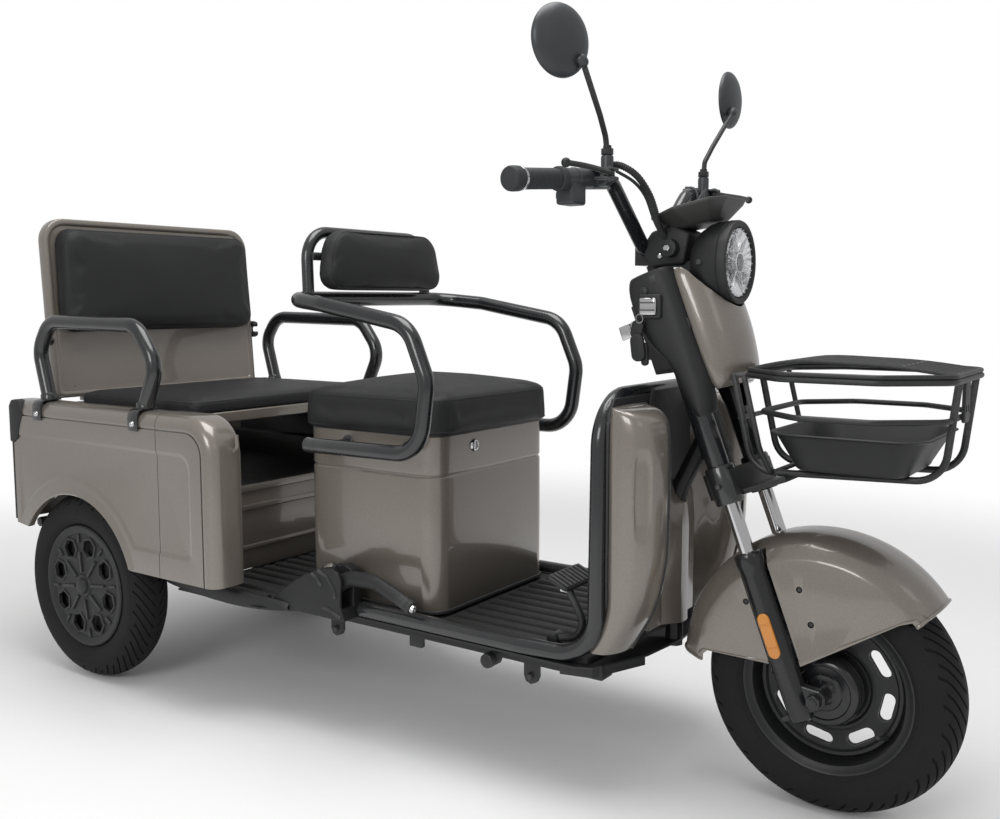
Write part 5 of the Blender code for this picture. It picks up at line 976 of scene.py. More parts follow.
def makeBackClaw(side):          # the small claw on each edge of the shell, open to the front
    claw = mm((-25, 136), (-5, 133), (4, 136), (7.5, 143), (4, 148), (-1, 146), (-7, 145.5), (-12, 150),
              (-12.5, 157), (-8, 162), (-1, 162), (4, 160), (8, 165), (5, 172.5), (-6, 176), (-20, 174))
    low, high = sorted((side * 0.2915, side * 0.306))
    foot = makePlate("backClawFoot", roundedBox((-0.0245, 0.132), (-0.004, 0.177), 0.003, 2),
                     *sorted((side * 0.2905, side * 0.2945)), "XZ", bevel=0.0006)
    screw = makeTurned("backClawScrew", mm((0, 1.6), (2.2, 1.4), (3.4, 0), (0, 0)),
                       (-0.018, side * 0.3058, 0.1545), (0, side, 0), 16)
    return moveBy(joinUp("backClaw", [makePlate("backClaw", claw, low, high, "XZ", bevel=0.0012), foot,
                screw]), backPlace)


for side, word in ((1, "Left"), (-1, "Right")):
    dress(makeBackClaw(side), "plasticBlack", "rear_backrest").name = "backClaw" + word


# padded pieces: a filled block is swelled by a short cloth run, then its seams are laid on

def padBlock(name, half, depth, corner, crown, rim=0.01, taper=0.0, dishes=0.0):
    rings = [(0.012, 0.0), (0.003, 0.0), (0.0, 0.004), (0.0, depth - rim), (rim * 0.3, depth - rim * 0.25),
             (rim, depth)]
    rows = []
    for shrink, height in rings:
        rows.append([(u, v, height) for u, v in roundedBox((-half[0] + shrink, -half[1] + shrink),
                    (half[0] - shrink, half[1] - shrink), corner - shrink * 0.5, 7)])
    flatTop = roundedBox((-half[0] + rim, -half[1] + rim), (half[0] - rim, half[1] - rim),
                         corner - rim * 0.5, 7)
    for share in (0.9, 0.78, 0.62, 0.42, 0.2, 0.001):
        row, dome = [], 1.0 - share ** 2
        for u, v in flatTop:
            rise = dome * crown - 3.0 * dishes * dome * (share * u / half[0]) ** 2
            row.append((u * share, v * share, depth + rise))
        rows.append(row)
    under = [[(u * share, v * share, 0.0) for u, v in flatTop] for share in (0.001, 0.5, 0.9)]
    pad = makeShell(name, under + rows, ring=True)
    pick(pad)
    openMesh()
    bpy.ops.mesh.remove_doubles(threshold=0.0008)
    bpy.ops.mesh.select_all(action="DESELECT")
    bpy.ops.mesh.select_non_manifold()
    bpy.ops.mesh.edge_face_add()
    mendMesh()
    if taper:
        for vertex in pad.data.vertices:
            rise = vertex.co.x / (2 * half[0]) + 0.5
            vertex.co.y *= 1.0 - taper * rise * rise
    return pad


clothLook = {"grid": 0.0055, "pressure": 4.0, "stiffness": 22.0, "mass": 0.25, "heldBelow": 0.004,
             "moments": 18}


def swell(pad, most):       # no point moves farther than the most
    look = clothLook
    grid = pad.modifiers.new("grid", "REMESH")
    grid.mode = "VOXEL"
    grid.voxel_size = look["grid"]
    applyAll(pad)
    before = [vertex.co.copy() for vertex in pad.data.vertices]
    held = pad.vertex_groups.new(name="held")
    for vertex in pad.data.vertices:
        held.add([vertex.index], 1.0 if vertex.co.z < look["heldBelow"] else 0.0, "REPLACE")
    cloth = pad.modifiers.new("cloth", "CLOTH")
    cloth.settings.quality = 5
    cloth.settings.mass = look["mass"]
    cloth.settings.tension_stiffness = look["stiffness"]
    cloth.settings.compression_stiffness = look["stiffness"]
    cloth.settings.use_pressure = True
    cloth.settings.uniform_pressure_force = look["pressure"]
    cloth.settings.vertex_group_mass = "held"
    cloth.settings.effector_weights.gravity = 0.0
    scene = bpy.context.scene
    for moment in range(1, look["moments"] + 1):
        scene.frame_set(moment)
    applyAll(pad)
    scene.frame_set(1)
    for vertex, old in zip(pad.data.vertices, before):
        shift = vertex.co - old
        if shift.length > most:
            vertex.co = old + shift * (most / shift.length)
    even = pad.modifiers.new("even", "SMOOTH")
    even.factor = 0.5
    even.iterations = 3
    smooth = pad.modifiers.new("smooth", "SUBSURF")
    smooth.levels = smooth.render_levels = 1
    return applyAll(pad)


def seamRound(name, pad, half, corner, height, taper):   # piping that follows the swelled side
    points, thick = [], 0.0014
    for u, v in roundedBox((-half[0], -half[1]), (half[0], half[1]), corner, 10):
        if taper:
            v *= 1.0 - taper * (u / (2 * half[0]) + 0.5) ** 2
        outward = Vector((u, v, 0.0)).normalized()
        origin = Vector((u, v, height)) + outward * 0.06
        hit, place = pad.ray_cast(origin, -outward)[:2]
        points.append(place - outward * thick * 0.25 if hit else Vector((u, v, height)))
    return makeTube(name, points, thick, bend=0.0, closed=True, detail=1)


def makePad(name, half, depth, corner, crown, place, body, node, rim=0.01, taper=0.0, most=0.005,
            seams=(), dishes=0.0):
    pad = padBlock(name, half, depth, corner, crown, rim, taper, dishes)
    swell(pad, most)
    bpy.context.view_layer.update()
    lines = [seamRound(name + "Seam", pad, half, corner, height, taper) for height in seams]
    moveBy(pad, place)
    dress(pad, "vinylBlack", body, (node,), 60.0)
    for i, line in enumerate(lines):
        moveBy(line, place)
        dress(rename(line, name + "Seam" + str(i + 1)), "vinylBlack", body, (), 60.0)
    return pad


upright = Matrix(((0, 0, 1, 0), (0, 1, 0, 0), (1, 0, 0, 0), (0, 0, 0, 1)))
makePad("frontSeatCushion", (0.1765, 0.1975), 0.072, 0.05, 0.022,
        Matrix.Translation((0.689, 0.0, 0.577)), "front_seat", "front_seat_cushion", rim=0.014,
        seams=(0.062, 0.005), most=0.004, dishes=0.008)
makePad("benchCushion", (0.199, 0.27), 0.027, 0.022, 0.005, Matrix.Translation((0.098, 0.0, 0.5885)),
        "chassis", "bench_cushion", rim=0.008, seams=(0.022,), most=0.003)
makePad("backrestPad", (0.1185, 0.271), 0.042, 0.034, 0.007, backPlace
        @ Matrix.Translation((-0.0052, 0.0, 0.277)) @ upright, "rear_backrest", "rear_backrest_pad",
        rim=0.014, taper=0.02, seams=(0.034,), most=0.004)
makePad("frontBackrestPad", (0.058, 0.174), 0.039, 0.034, 0.008,
        Matrix.Translation((0.552, 0.0, 0.897)) @ rotation(-2.0) @ upright, "chassis",
        "front_backrest_pad", rim=0.013, taper=0.15, seams=(0.031,), most=0.004)
print("pads ready")


# tubes: armrests and shield hoop

def mirrorPath(half):
    return [Vector(p) for p in half] + [Vector((x, -y, z)) for x, y, z in reversed([tuple(p) for p in half])]


armHalf = mm((598, 250, 549), (868, 250, 551), (886, 250, 680), (845, 250, 776), (640, 250, 812),
             (535, 230, 822))
arm = [makeTube("frontArm", mirrorPath(armHalf), 0.0145, 0.062, detail=6, steps=10)]
for side in (1, -1):
    arm.append(makeBall("armEnd", (0.598, side * 0.25, 0.549), 0.0144, 8, (0.6, 1.0, 1.0)))
    for x in (0.64, 0.79):
        arm.append(makeRod("armStub", (x, side * 0.1853, 0.549), (x, side * 0.25, 0.549), 0.009, 20))
        arm.append(makeTurned("armWasher", mm((0, 0), (15, 0), (15, 2.2), (13.5, 3), (0, 3)),
                              (x, side * 0.1853, 0.549), (0, side, 0), 24))
backHoop = mm((535, -178, 822), (531, -178, 952), (531, 178, 952), (535, 178, 822))
arm.append(makeTube("backHoop", backHoop, 0.0115, 0.055, detail=5, steps=9))
arm.append(makeRod("padBar", (0.5437, -0.178, 0.904), (0.5437, 0.178, 0.904), 0.008, 16))
dress(joinUp("frontArmrest", arm), "tubeBlack", "chassis", ("front_armrest",), 40.0)

hoopHalf = mm((706, 225, 244.8), (1060, 225, 244.8), (1200, 215, 244.8), (1200, 205, 665))
hoop = [makeTube("shieldHoop", mirrorPath(hoopHalf), 0.0145, 0.08, detail=6, steps=12)]
hoop += [makeBall("hoopEnd", (0.706, side * 0.225, 0.2448), 0.0144, 8, (0.5, 1.0, 1.0)) for side in (1, -1)]
dress(joinUp("shieldHoop", hoop), "tubeBlack", "chassis", ("shield_hoop",), 40.0)

clampPlaces = (-0.112, 0.224)
for side, word in ((1, "left"), (-1, "right")):
    y = side * 0.331
    path = [(x, y, z) for x, z in ((clampPlaces[0], 0.6073), (-0.142, 0.712), (-0.098, 0.774),
                (0.204, 0.769), (0.264, 0.69), (clampPlaces[1], 0.6073))]
    pieces = [makeTube("rearArm", path, 0.0155, 0.058, detail=6, steps=9)]
    for x in clampPlaces:
        band = mm((312, 604.6), (349, 604.6), (357.5, 601.7), (362.7, 595), (364.2, 585), (364.2, 560),
                  (362, 560), (362, 584.8), (360.6, 593.3), (356.3, 599.1), (348.5, 601.8), (312, 601.8))
        pieces.append(makePlate("clampBand", [(side * u, v) for u, v in band], x - 0.0155, x + 0.0155, "YZ",
                                0.0008))
        pieces.append(makeRod("clampCollar", (x, y, 0.6), (x - 0.0035, y, 0.616), 0.0185, 24, 0.0165, 0.001))
    dress(joinUp("rearArmrest" + word.title(), pieces), "tubeBlack", "chassis", ("rear_armrest_" + word,),
          40.0)
    bolts = []
    for x in clampPlaces:
        bolts.append(makeTurned("clampBolt", mm((0, 5.2), (2.8, 5.2), (5, 3.6), (6, 0), (0, 0)),
                                (x, side * 0.364, 0.574), (0, side, 0.0), 16))
    dress(joinUp("clampBolts" + word.title(), bolts), "chrome", "chassis", (), 40.0)
print("tubes ready")


# shield, floor and seat box

shieldLook = {"face": 1.2168, "wall": 0.0025, "wing": mm((0, 207), (10, 216.5), (24, 220.5), (42, 219),
            (56, 213), (69, 198), (76.5, 178), (78.5, 158), (74, 138), (58, 122.5), (34, 110), (12, 97.5),
            (0, 92))}
shieldRows = [(0.2512, 0.7, 0.96), (0.262, 0.68, 0.965), (0.285, 0.67, 0.972), (0.325, 0.75, 0.988),
              (0.36, 0.86, 0.998), (0.405, 0.97, 1.0), (0.45, 1.0, 1.0), (0.51, 1.01, 1.0),
              (0.57, 1.005, 1.0), (0.608, 0.98, 0.998), (0.628, 0.92, 0.992), (0.64, 0.8, 0.984),
              (0.647, 0.62, 0.972), (0.6505, 0.36, 0.955)]
shieldPress = {"centre": Vector((0.06, 0.2065)), "run": Vector((0.655, -0.756)),
               "out": Vector((0.756, 0.655)), "middle": 0.518, "half": (0.013, 0.064), "depth": 0.0055}


# bulged forwards, swept back with the tube at its foot, with a pressed oval in its side
def shieldPoint(z, bulge, spread, reach, y):
    press = shieldPress
    spot = Vector((reach, y))
    across = (spot - press["centre"]).dot(press["run"]) / press["half"][0]
    along = (z - press["middle"]) / press["half"][1]
    if reach > 0.03 and y > 0.15:
        share = (across ** 4 + along ** 4) ** 0.25
        spot -= press["out"] * press["depth"] * max(0.0, min(1.0, (1.12 - share) / 0.24))
    sweep = 0.041 * max(0.0, (0.352 - z) / 0.1008) ** 2
    return (shieldLook["face"] + spot.x * bulge - sweep, spot.y * spread, z)


def makeShield():
    look = shieldLook
    wing = smoothPath([Vector((reach, y, 0.0)) for reach, y in look["wing"]], 7)
    fine = smoothPath([Vector(row) for row in shieldRows], 7)
    rows = []
    for z, bulge, spread in fine:
        half = [shieldPoint(z, bulge, spread, p.x, p.y) for p in wing]
        rows.append([(x, -y, height) for x, y, height in half]
                    + [(x, y, height) for x, y, height in reversed(half)])
    shield = giveWall(faceOut(makeShell("legShield", rows), forwards), look["wall"])
    top = fine[-1]
    caps = []
    for side in (1, -1):
        ring = [shieldPoint(top.x, top.y, top.z, p.x, p.y) for p in wing]
        middle = Vector((look["face"] + 0.012, 0.15, 0.6515))
        lid = []
        for share in (1.0, 0.75, 0.4, 0.02):
            lid.append([Vector(p).lerp(middle, 1 - share) + Vector((0, 0, 0.0015 * (1 - share ** 2)))
                        for p in ring])
        lid = makeShell("shieldTop", lid, wall=0.002, offset=0.0)
        caps.append(onSide(lid, side))
    return joinUp("legShield", [shield] + caps)


def makeShieldTrim():   # the black board behind the wings and the rubber lips on their edges
    board = makePlate("shieldTrim", mm((-206, 335), (-95, 300), (-95, 252), (95, 252), (95, 300),
                (206, 335), (206, 640), (190, 664), (-190, 664), (-206, 640)), 1.211, 1.2176, "YZ",
                      bevel=0.0012)
    backs = []
    for side in (1, -1):
        rows = [[shieldPoint(z, 1.0, 0.99, -0.0015, y) for y in (0.086, 0.207)]
                for z in (0.35, 0.335, 0.32, 0.305, 0.29, 0.275, 0.262, 0.2525)]
        backs.append(makeShell("shieldBack", [[(x, side * y, z) for x, y, z in row] for row in rows],
                               wall=0.002, offset=0.0))
    lips = []
    for side in (1, -1):
        inner, outer = [], []
        for z, bulge, spread in smoothPath([Vector(row) for row in shieldRows[:-3]], 3):
            x, y, height = shieldPoint(z, bulge, spread, 0.0785, 0.158)
            inner.append((x - 0.0005, side * (y - 0.003), height))
            x, y, height = shieldPoint(z, bulge, spread, 0.0, 0.207)
            outer.append((x - 0.001, side * (y + 0.001), height))
        lips.append(makeTube("shieldLip", inner, 0.003, bend=0.0, detail=2))
        lips.append(makeTube("shieldLip", outer, 0.0042, bend=0.0, detail=2))
    return joinUp("shieldTrim", [board] + backs + lips)


dress(makeShield(), "taupePaint", "chassis", ("leg_shield",), 40.0)
dress(makeShieldTrim(), "plasticBlack", "chassis", (), 40.0)
bellyRows = []          # the painted lower centre, folded over the down tube
for z, reach, wide in ((0.262, 1.0, 0.088), (0.3, 1.0, 0.088), (0.43, 1.0, 0.09), (0.468, 0.98, 0.082),
                       (0.49, 0.55, 0.064), (0.505, 0.1, 0.046)):
    half = [(1.222, wide), (1.23, wide - 0.001), (1.2312, 0.48 * wide), (1.23 + 0.015 * reach, 0.28 * wide),
            (1.23 + 0.024 * reach, 0.15 * wide), (1.23 + 0.025 * reach, 0.0)]
    bellyRows.append([(x, y, z) for x, y in half] + [(x, -y, z) for x, y in reversed(half[:-1])])
dress(makeShell("shieldBelly", bellyRows, wall=0.0016, offset=0.0), "taupePaint", "chassis", (), 30.0)


def makeInnerPanel():
    rows = []
    reach = 0.01
    for z, wide in ((0.2515, 0.046), (0.3, 0.047), (0.36, 0.048), (0.4, 0.048), (0.44, 0.048)):
        row = [(0.0, wide + 0.03), (0.001, wide + 0.016), (0.003, wide + 0.006), (0.005, wide - 0.002),
               (reach * 0.65, wide * 0.8), (reach * 0.9, wide * 0.68), (reach, 0.022), (reach, 0.008)]
        half = [(1.2196 + x, -y, z) for x, y in row]
        rows.append(half + [(x, -y, height) for x, y, height in reversed(half)])
    panel = makeShell("innerPanel", rows, wall=0.0022, offset=-1.0)
    screws = [makeTurned("panelScrew", mm((0, 3), (4, 3), (5.5, 0), (0, 0)), (1.2225, side * 0.064, 0.42),
                         forwards, 16) for side in (1, -1)]
    return joinUp("innerPanel", [panel] + screws)


dress(makeInnerPanel(), "plasticBlack", "chassis", ("inner_panel",), 40.0)

# the dark centre of the shield between its wings, above the panel
centre = []
for z, half, x in ((0.444, 0.086, 1.2198), (0.52, 0.088, 1.22), (0.6, 0.086, 1.22), (0.64, 0.08, 1.2196),
                   (0.668, 0.066, 1.2192)):
    centre.append([(x, -half, z), (x + 0.003, -half * 0.85, z), (x + 0.003, 0.0, z),
                   (x + 0.003, half * 0.85, z), (x, half, z)])
dress(makeShell("shieldCentre", centre, wall=0.0016, offset=0.0), "plasticBlack", "chassis", (), 40.0)


def makeMat():
    ribs = {"pitch": 0.0345, "count": 11, "width": 0.018, "narrow": 0.502}
    inside = 0.2093
    plates = []
    hoopLine = makeTube("matCutter", mirrorPath(hoopHalf), 0.0151, 0.08, detail=4, steps=8)
    front = makePlate("matFront", [(ribs["narrow"], -inside), (1.1815, -inside), (1.1815, inside),
                (ribs["narrow"], inside)], 0.2303, 0.2385, "XY", bevel=0.0)
    rear = makePlate("matRear", [(0.304, -0.29), (ribs["narrow"], -0.29), (ribs["narrow"], 0.29),
                (0.304, 0.29)], 0.2303, 0.2384, "XY", bevel=0.0)
    for i in range(ribs["count"]):
        y = ((ribs["count"] - 1) / 2 - i) * ribs["pitch"]
        half = ribs["width"] / 2
        for low, high in ((0.312, 0.515), (0.866, 1.168)):
            section = [(y - half, 0.238), (y - half + 0.0018, 0.2426), (y - half + 0.0042, 0.245),
                       (y + half - 0.0042, 0.245), (y + half - 0.0018, 0.2426), (y + half, 0.238)]
            plates.append(makePlate("matRib", section, low, high, "YZ", bevel=0.001, segments=2))
    for side in (1, -1):
        for i in range(2):
            y = side * (0.2245 + 0.0345 * i)
            section = [(y - 0.009, 0.238), (y - 0.005, 0.2448), (y + 0.005, 0.2448), (y + 0.009, 0.238)]
            plates.append(makePlate("matRib", section, 0.312, 0.49, "YZ", bevel=0.001, segments=2))
        plates.append(makeBlock("matEdge", (0.7, side * 0.206 - 0.003, 0.2384),
                                (1.12, side * 0.206 + 0.003, 0.241), 0.001))
    return joinUp("floorMat", [carve(front, [hoopLine]), rear] + plates)


dress(makeMat(), "floorRubber", "chassis", ("floor_mat",), 30.0)


def boxRing(z, grow, steps=8):
    x0, x1, y = 0.525 - grow, 0.853 + grow, 0.185 + grow
    return [(u, v, z) for u, v in roundedBox((x0, -y), (x1, y), 0.038, steps)]


def makeSeatBox():
    levels = mm((573, -3.5), (573, -0.6), (572.2, 0), (506, 0), (503, -0.4), (501, -2.2), (499, -2.2),
                (497, -0.4), (494, 0), (370, 0.6), (247, 0), (245.5, -1), (245.3, -3.5))
    box = makeShell("seatBox", [boxRing(z, grow) for z, grow in levels], ring=True)
    return giveWall(faceOut(box, centre=(0.689, 0.0, 0.41)), 0.0022)


dress(makeSeatBox(), "taupePaint", "chassis", ("seat_box",))
skirting = makeShell("seatBoxFoot", [boxRing(z, grow, 6) for z, grow in ((0.2455, 0.0008), (0.2455, 0.0026),
            (0.25, 0.0026), (0.252, 0.0006))], ring=True)
dress(skirting, "plasticBlack", "chassis")
lock = [makeTurned("seatLock", mm((0, 2), (7, 2), (7.8, 4.5), (10, 4), (11.8, 0.6), (0, -0.5)),
                   (0.853, -0.07, 0.548), forwards, 32)]
lock.append(makeBlock("seatLockSlot", (0.8548, -0.071, 0.544), (0.856, -0.069, 0.552), 0.0003))
dress(joinUp("seatLock", lock), "chrome", "chassis")
dress(refined("frontSeatBase", "front_seat_base", 0.002, 3), "plasticBlack", "front_seat",
      ("front_seat_base",))
dress(refined("batteryPack", "battery_pack", 0.004, 3), "plasticBlack", "chassis", ("battery_pack",))
print("shield and box ready")


# frame, axle, brakes: the CAD shapes with soft edges, then their small parts

dress(refined("weldedFrame", "frame", 0.001, 2), "steelBlack", "chassis", ("frame",))
dress(refined("rearAxle", "rear_axle", 0.002, 2), "steelBlack", "rear_axle", ("rear_axle",))
nuts = []
for x in (0.612, 1.064):
    nuts.append(makeTurned("lugBolt", mm((0, 6), (5, 5.6), (6.4, 4), (6.6, 0), (0, 0)), (x, -0.197, 0.182),
                           (0, -1, 0), 6))
nuts.append(makeTurned("bossCap", mm((0, 4), (9, 3.8), (12.5, 2), (13.5, -6), (0, -6)),
                       (0.985, -0.215, 0.198), (0, -1, 0), 24))
dress(joinUp("frameBolts", nuts), "steelBlack", "chassis")


leverPivot = (0.655, -0.25, 0.284)
capPlace, capWay = (0.646, -0.249, 0.32), (-0.05, -0.46, 0.88)


def makeHandbrakeCover():
    outline = mm((496, 230.6), (704, 230.6), (700, 242), (693, 256), (694, 285), (696, 305), (688, 320),
                 (671, 326.5), (645, 322.5), (604, 306.5), (566, 284), (530, 256.5), (500, 235))
    cover = makePlate("handbrakeCover", outline, -0.272, -0.213, "XZ", bevel=0.0)
    slot = makeBlock("leverSlot", (0.659, -0.2645, 0.252), (0.74, -0.2355, 0.36), 0.0)
    cover = roundEdges(carve(cover, [slot]), 0.0056, 4, 25.0)
    lines = (mm((623, 310), (636, 304), (648, 290)), mm((640, 319), (662, 309), (680, 286), (682, 272)),
             mm((652, 250), (670, 247), (696, 237)))
    ribs = [makeTube("coverRib", [(x, -0.2718, z) for x, z in line], 0.0036, 0.012, detail=3)
            for line in lines]
    pivot = makeTurned("coverPivot", mm((0, 4), (10.5, 4), (14, 3), (15.2, 0), (15.2, -14), (0, -14)),
                       capPlace, capWay, 32)
    return joinUp("handbrakeHousing", [cover, pivot] + ribs)


def makeSkirt():        # the wide curved strip under the door, from the rear wheel to the handbrake
    rows = []
    for x, y, low, high in ((0.226, 0.3, 0.235, 0.27), (0.27, 0.306, 0.233, 0.269),
                            (0.34, 0.306, 0.227, 0.264), (0.42, 0.303, 0.222, 0.256),
                            (0.48, 0.295, 0.221, 0.25), (0.53, 0.285, 0.223, 0.246),
                            (0.562, 0.276, 0.227, 0.242)):
        rows.append([(x, -y + 0.012, high + 0.0015), (x, -y + 0.004, high + 0.0006), (x, -y, high - 0.004),
                     (x, -y - 0.0012, (low + high) / 2), (x, -y, low + 0.004), (x, -y + 0.006, low),
                     (x, -y + 0.02, low - 0.001)])
    return makeShell("sideSkirt", rows, wall=0.0026, offset=-1.0, level=1)


dress(makeHandbrakeCover(), "plasticBlack", "chassis", ("handbrake_housing",))
dressBoth(makeSkirt(), "sideSkirtLeft", "plasticBlack", ("chassis",))
cap = makeTurned("handbrakeBadge", mm((0, 5.6), (8, 5.4), (10, 4.2), (10.4, 2), (0, 2)), capPlace, capWay,
                 28)
dress(cap, "taupePaint", "chassis", (), 60.0)

leverLine = roundCorners([leverPivot, (0.7, -0.25, 0.308), (0.76, -0.25, 0.311), (0.812, -0.25, 0.292),
            (0.845, -0.25, 0.277)], 0.06, 6)
reach = len(leverLine) - 1
leverRadii = [1.08 - 0.2 * i / reach for i in range(reach + 1)]
lever = [makeTube("handbrakeLever", leverLine, 0.0142, bend=0.0, detail=5, radii=leverRadii)]
moveBy(lever[0], Matrix.Translation((0, -0.25, 0)) @ Matrix.Scale(0.82, 4, leftwards)
       @ Matrix.Translation((0, 0.25, 0)))
lever.append(makeTurned("leverEye", mm((0, 11.8), (13, 11.8), (15.8, 9.5), (15.8, -9.5), (13, -11.8),
            (0, -11.8)), leverPivot, (0, -1, 0), 32))
tip, tipWay = leverLine[-1], (leverLine[-1] - leverLine[-2]).normalized()
lever.append(makeTurned("leverCollar", mm((7.7, 2), (10.8, 1.6), (12.2, -1), (12.2, -8), (11, -10),
            (7.7, -10)), tip, tipWay, 32, closed=True))
dress(joinUp("handbrakeLever", lever), "plasticBlack", "handbrake_lever", ("handbrake_lever",))
button = makeTurned("handbrakeButton", mm((0, 9), (5, 8.6), (7, 6.8), (7.5, 4), (7.5, -23), (0, -23)), tip,
                    tipWay, 32)
dress(button, "chrome", "handbrake_button", ("handbrake_button",))

pedalLine = mm((1108, -188, 255.5), (1150, -188, 262), (1163, -188, 292), (1128, -188, 352))
pedal = [makeTube("pedalStalk", pedalLine, 0.0065, 0.03, detail=4)]
pedal.append(makeRod("pedalBarrel", (1.108, -0.202, 0.2555), (1.108, -0.174, 0.2555), 0.01, 24, bevel=0.001))
padPlace = Matrix.Translation((1.125, -0.165, 0.356)) @ rotation(24.0)
pad = [makePlate("pedalPad", roundedBox((-0.022, -0.05), (0.022, 0.05), 0.008), -0.0034, 0.0034, "XY",
                 bevel=0.0016, segments=3)]
pad += [makeBlock("pedalRib", (-0.019, -0.044 + 0.0122 * i, 0.003), (0.019, -0.038 + 0.0122 * i, 0.0056),
                  0.0006, 1) for i in range(8)]
pad = [moveBy(piece, padPlace) for piece in pad]
dress(joinUp("brakePedal", pedal + pad), "steelBlack", "brake_pedal", ("brake_pedal",))
dress(makeBlock("pedalLink", (1.12, -0.1955, 0.338), (1.135, -0.1805, 0.352), 0.0016, 3), "chrome",
      "brake_pedal")
print("controls ready")


# steering: everything that turns with the fork

rake = math.radians(21.0)
steerUp = Vector((-math.sin(rake), 0.0, math.cos(rake)))
steerAhead = Vector((math.cos(rake), 0.0, math.sin(rake)))
steerFoot = frontAxle - steerAhead * 0.0636
forkPlace = Matrix.Translation(steerFoot) @ Matrix((steerAhead, (0.0, 1.0, 0.0),
            steerUp)).transposed().to_4x4()
legLine, legSpread = 0.03, 0.075


def onFork(along, ahead=0.0, side=0.0):
    return steerFoot + steerUp * along + steerAhead * ahead + Vector((0.0, side, 0.0))


def forkBlock(name, low, high):
    return moveBy(makeBlock(name, low, high, 0.0), forkPlace)


crown = refined("forkCrown", "fork_crown", 0.0)
trims = []
for side in (1, -1):
    near, far = sorted((side * 0.034, side * 0.12))
    trims.append(forkBlock("crownTrim", (-0.06, near, 0.325), (0.01, far, 0.39)))
    trims.append(forkBlock("crownTrim", (-0.06, near, 0.69), (0.012, far, 0.725)))
    near, far = sorted((side * 0.0905, side * 0.12))
    trims.append(forkBlock("crownTrim", (0.0, near, 0.325), (0.09, far, 0.39)))
trims.append(forkBlock("crownTrim", (-0.06, -0.05, 0.325), (-0.0215, 0.05, 0.39)))
crown = roundEdges(carve(crown, trims), 0.003, 3, 38.0)
dress(crown, "steelBlack", "steering", ("fork_crown",))
extras = []
for side in (legSpread, -legSpread):
    extras.append(makeTurned("upperTube", mm((17.5, 0), (18.2, 2), (18.2, 318), (17.5, 320)),
                onFork(0.379, legLine, side), steerUp, 32))
    extras.append(makeTurned("crownCollar", mm((0, -12), (22.5, -12), (24, -9), (24, 46), (22.2, 50),
                (0, 50)), onFork(0.337, legLine, side), steerUp, 32))
    extras.append(makeTurned("crownBolt", mm((0, 6), (4, 6), (5.2, 4.5), (5.5, 0), (0, 0)),
                onFork(0.356, legLine, side + math.copysign(0.024, side)), (0, side, 0), 6))
dress(joinUp("forkTubes", extras), "tubeBlack", "steering")
for side, word in ((1, "left"), (-1, "right")):
    rod = makeTurned("forkStanchion", mm((0, 0), (12.5, 0), (12.5, 267), (0, 267)),
                     onFork(0.1, legLine, side * legSpread), steerUp, 40)
    dress(rename(rod, "forkStanchion" + word.title()), "chrome", "steering", ("fork_stanchion_" + word,),
          40.0)


def axlePiece(name, start, end, radius, sides, bevel):
    return makeRod(name, frontAxle + Vector((0, start, 0)), frontAxle + Vector((0, end, 0)), radius, sides,
                   bevel=bevel)


def makeForkLegs():
    pieces = []
    for side in (1, -1):
        foot = onFork(-0.03, legLine, side * legSpread)
        profile = mm((13.2, 273), (18, 273.5), (21.2, 272.5), (22.6, 270), (22.9, 264), (22.9, 256),
                     (22, 250), (20.5, 242), (20.3, 235), (20.6, 150), (20.6, 50), (19.8, 10), (18, 3),
                     (13, 0.2), (0, 0))
        pieces.append(makeTurned("forkLeg", profile, foot, steerUp, 40))
        lug = mm((0, -20), (33.6, -17), (44.6, -12), (49.6, 0), (44.6, 12), (33.6, 17), (10, 30), (0, 45))
        plate = makePlate("axleLug", [(legLine + a, b) for a, b in lug], side * legSpread - 0.009,
                          side * legSpread + 0.009, "XZ", bevel=0.003, segments=3)
        pieces.append(moveBy(plate, forkPlace))
        pieces.append(axlePiece("axleNut", side * 0.075, side * 0.0985, 0.012, 6, 0.001))
        pieces.append(axlePiece("axleTip", side * 0.075, side * 0.101, 0.0068, 20, 0.001))
    pieces.append(axlePiece("axleRod", -0.0985, 0.0985, 0.007, 24, 0.0))
    pieces.append(makeTurned("drumPlate", mm((0, 51.6), (16, 51), (18, 49), (20, 47), (28, 46.2), (30, 44),
                (42, 45), (44, 46.8), (50, 46), (54.5, 42), (56, 36.8), (0, 36.8)), frontAxle, (0, -1, 0),
                64))
    pieces.append(axlePiece("axleSpacer", -0.071, -0.046, 0.013, 24, 0.001))
    pieces.append(axlePiece("axleSpacer", 0.0366, 0.071, 0.011, 24, 0.001))
    arm = makePlate("brakeArm", mm((-6, -6), (4, -8), (52, -4), (54, 3), (4, 8), (-6, 6)), -0.0545, -0.0505,
                    "XZ", bevel=0.001)
    pieces.append(moveBy(arm, Matrix.Translation((1.499, 0.0, wheelZ - 0.03)) @ rotation(150.0)))
    pieces.append(makeRod("brakeCam", (1.499, -0.04, wheelZ - 0.03), (1.499, -0.057, wheelZ - 0.03), 0.0055,
                          16, bevel=0.0006))
    return joinUp("forkLowers", pieces)


dress(makeForkLegs(), "plasticGloss", "fork_lowers", ("fork_lowers",))


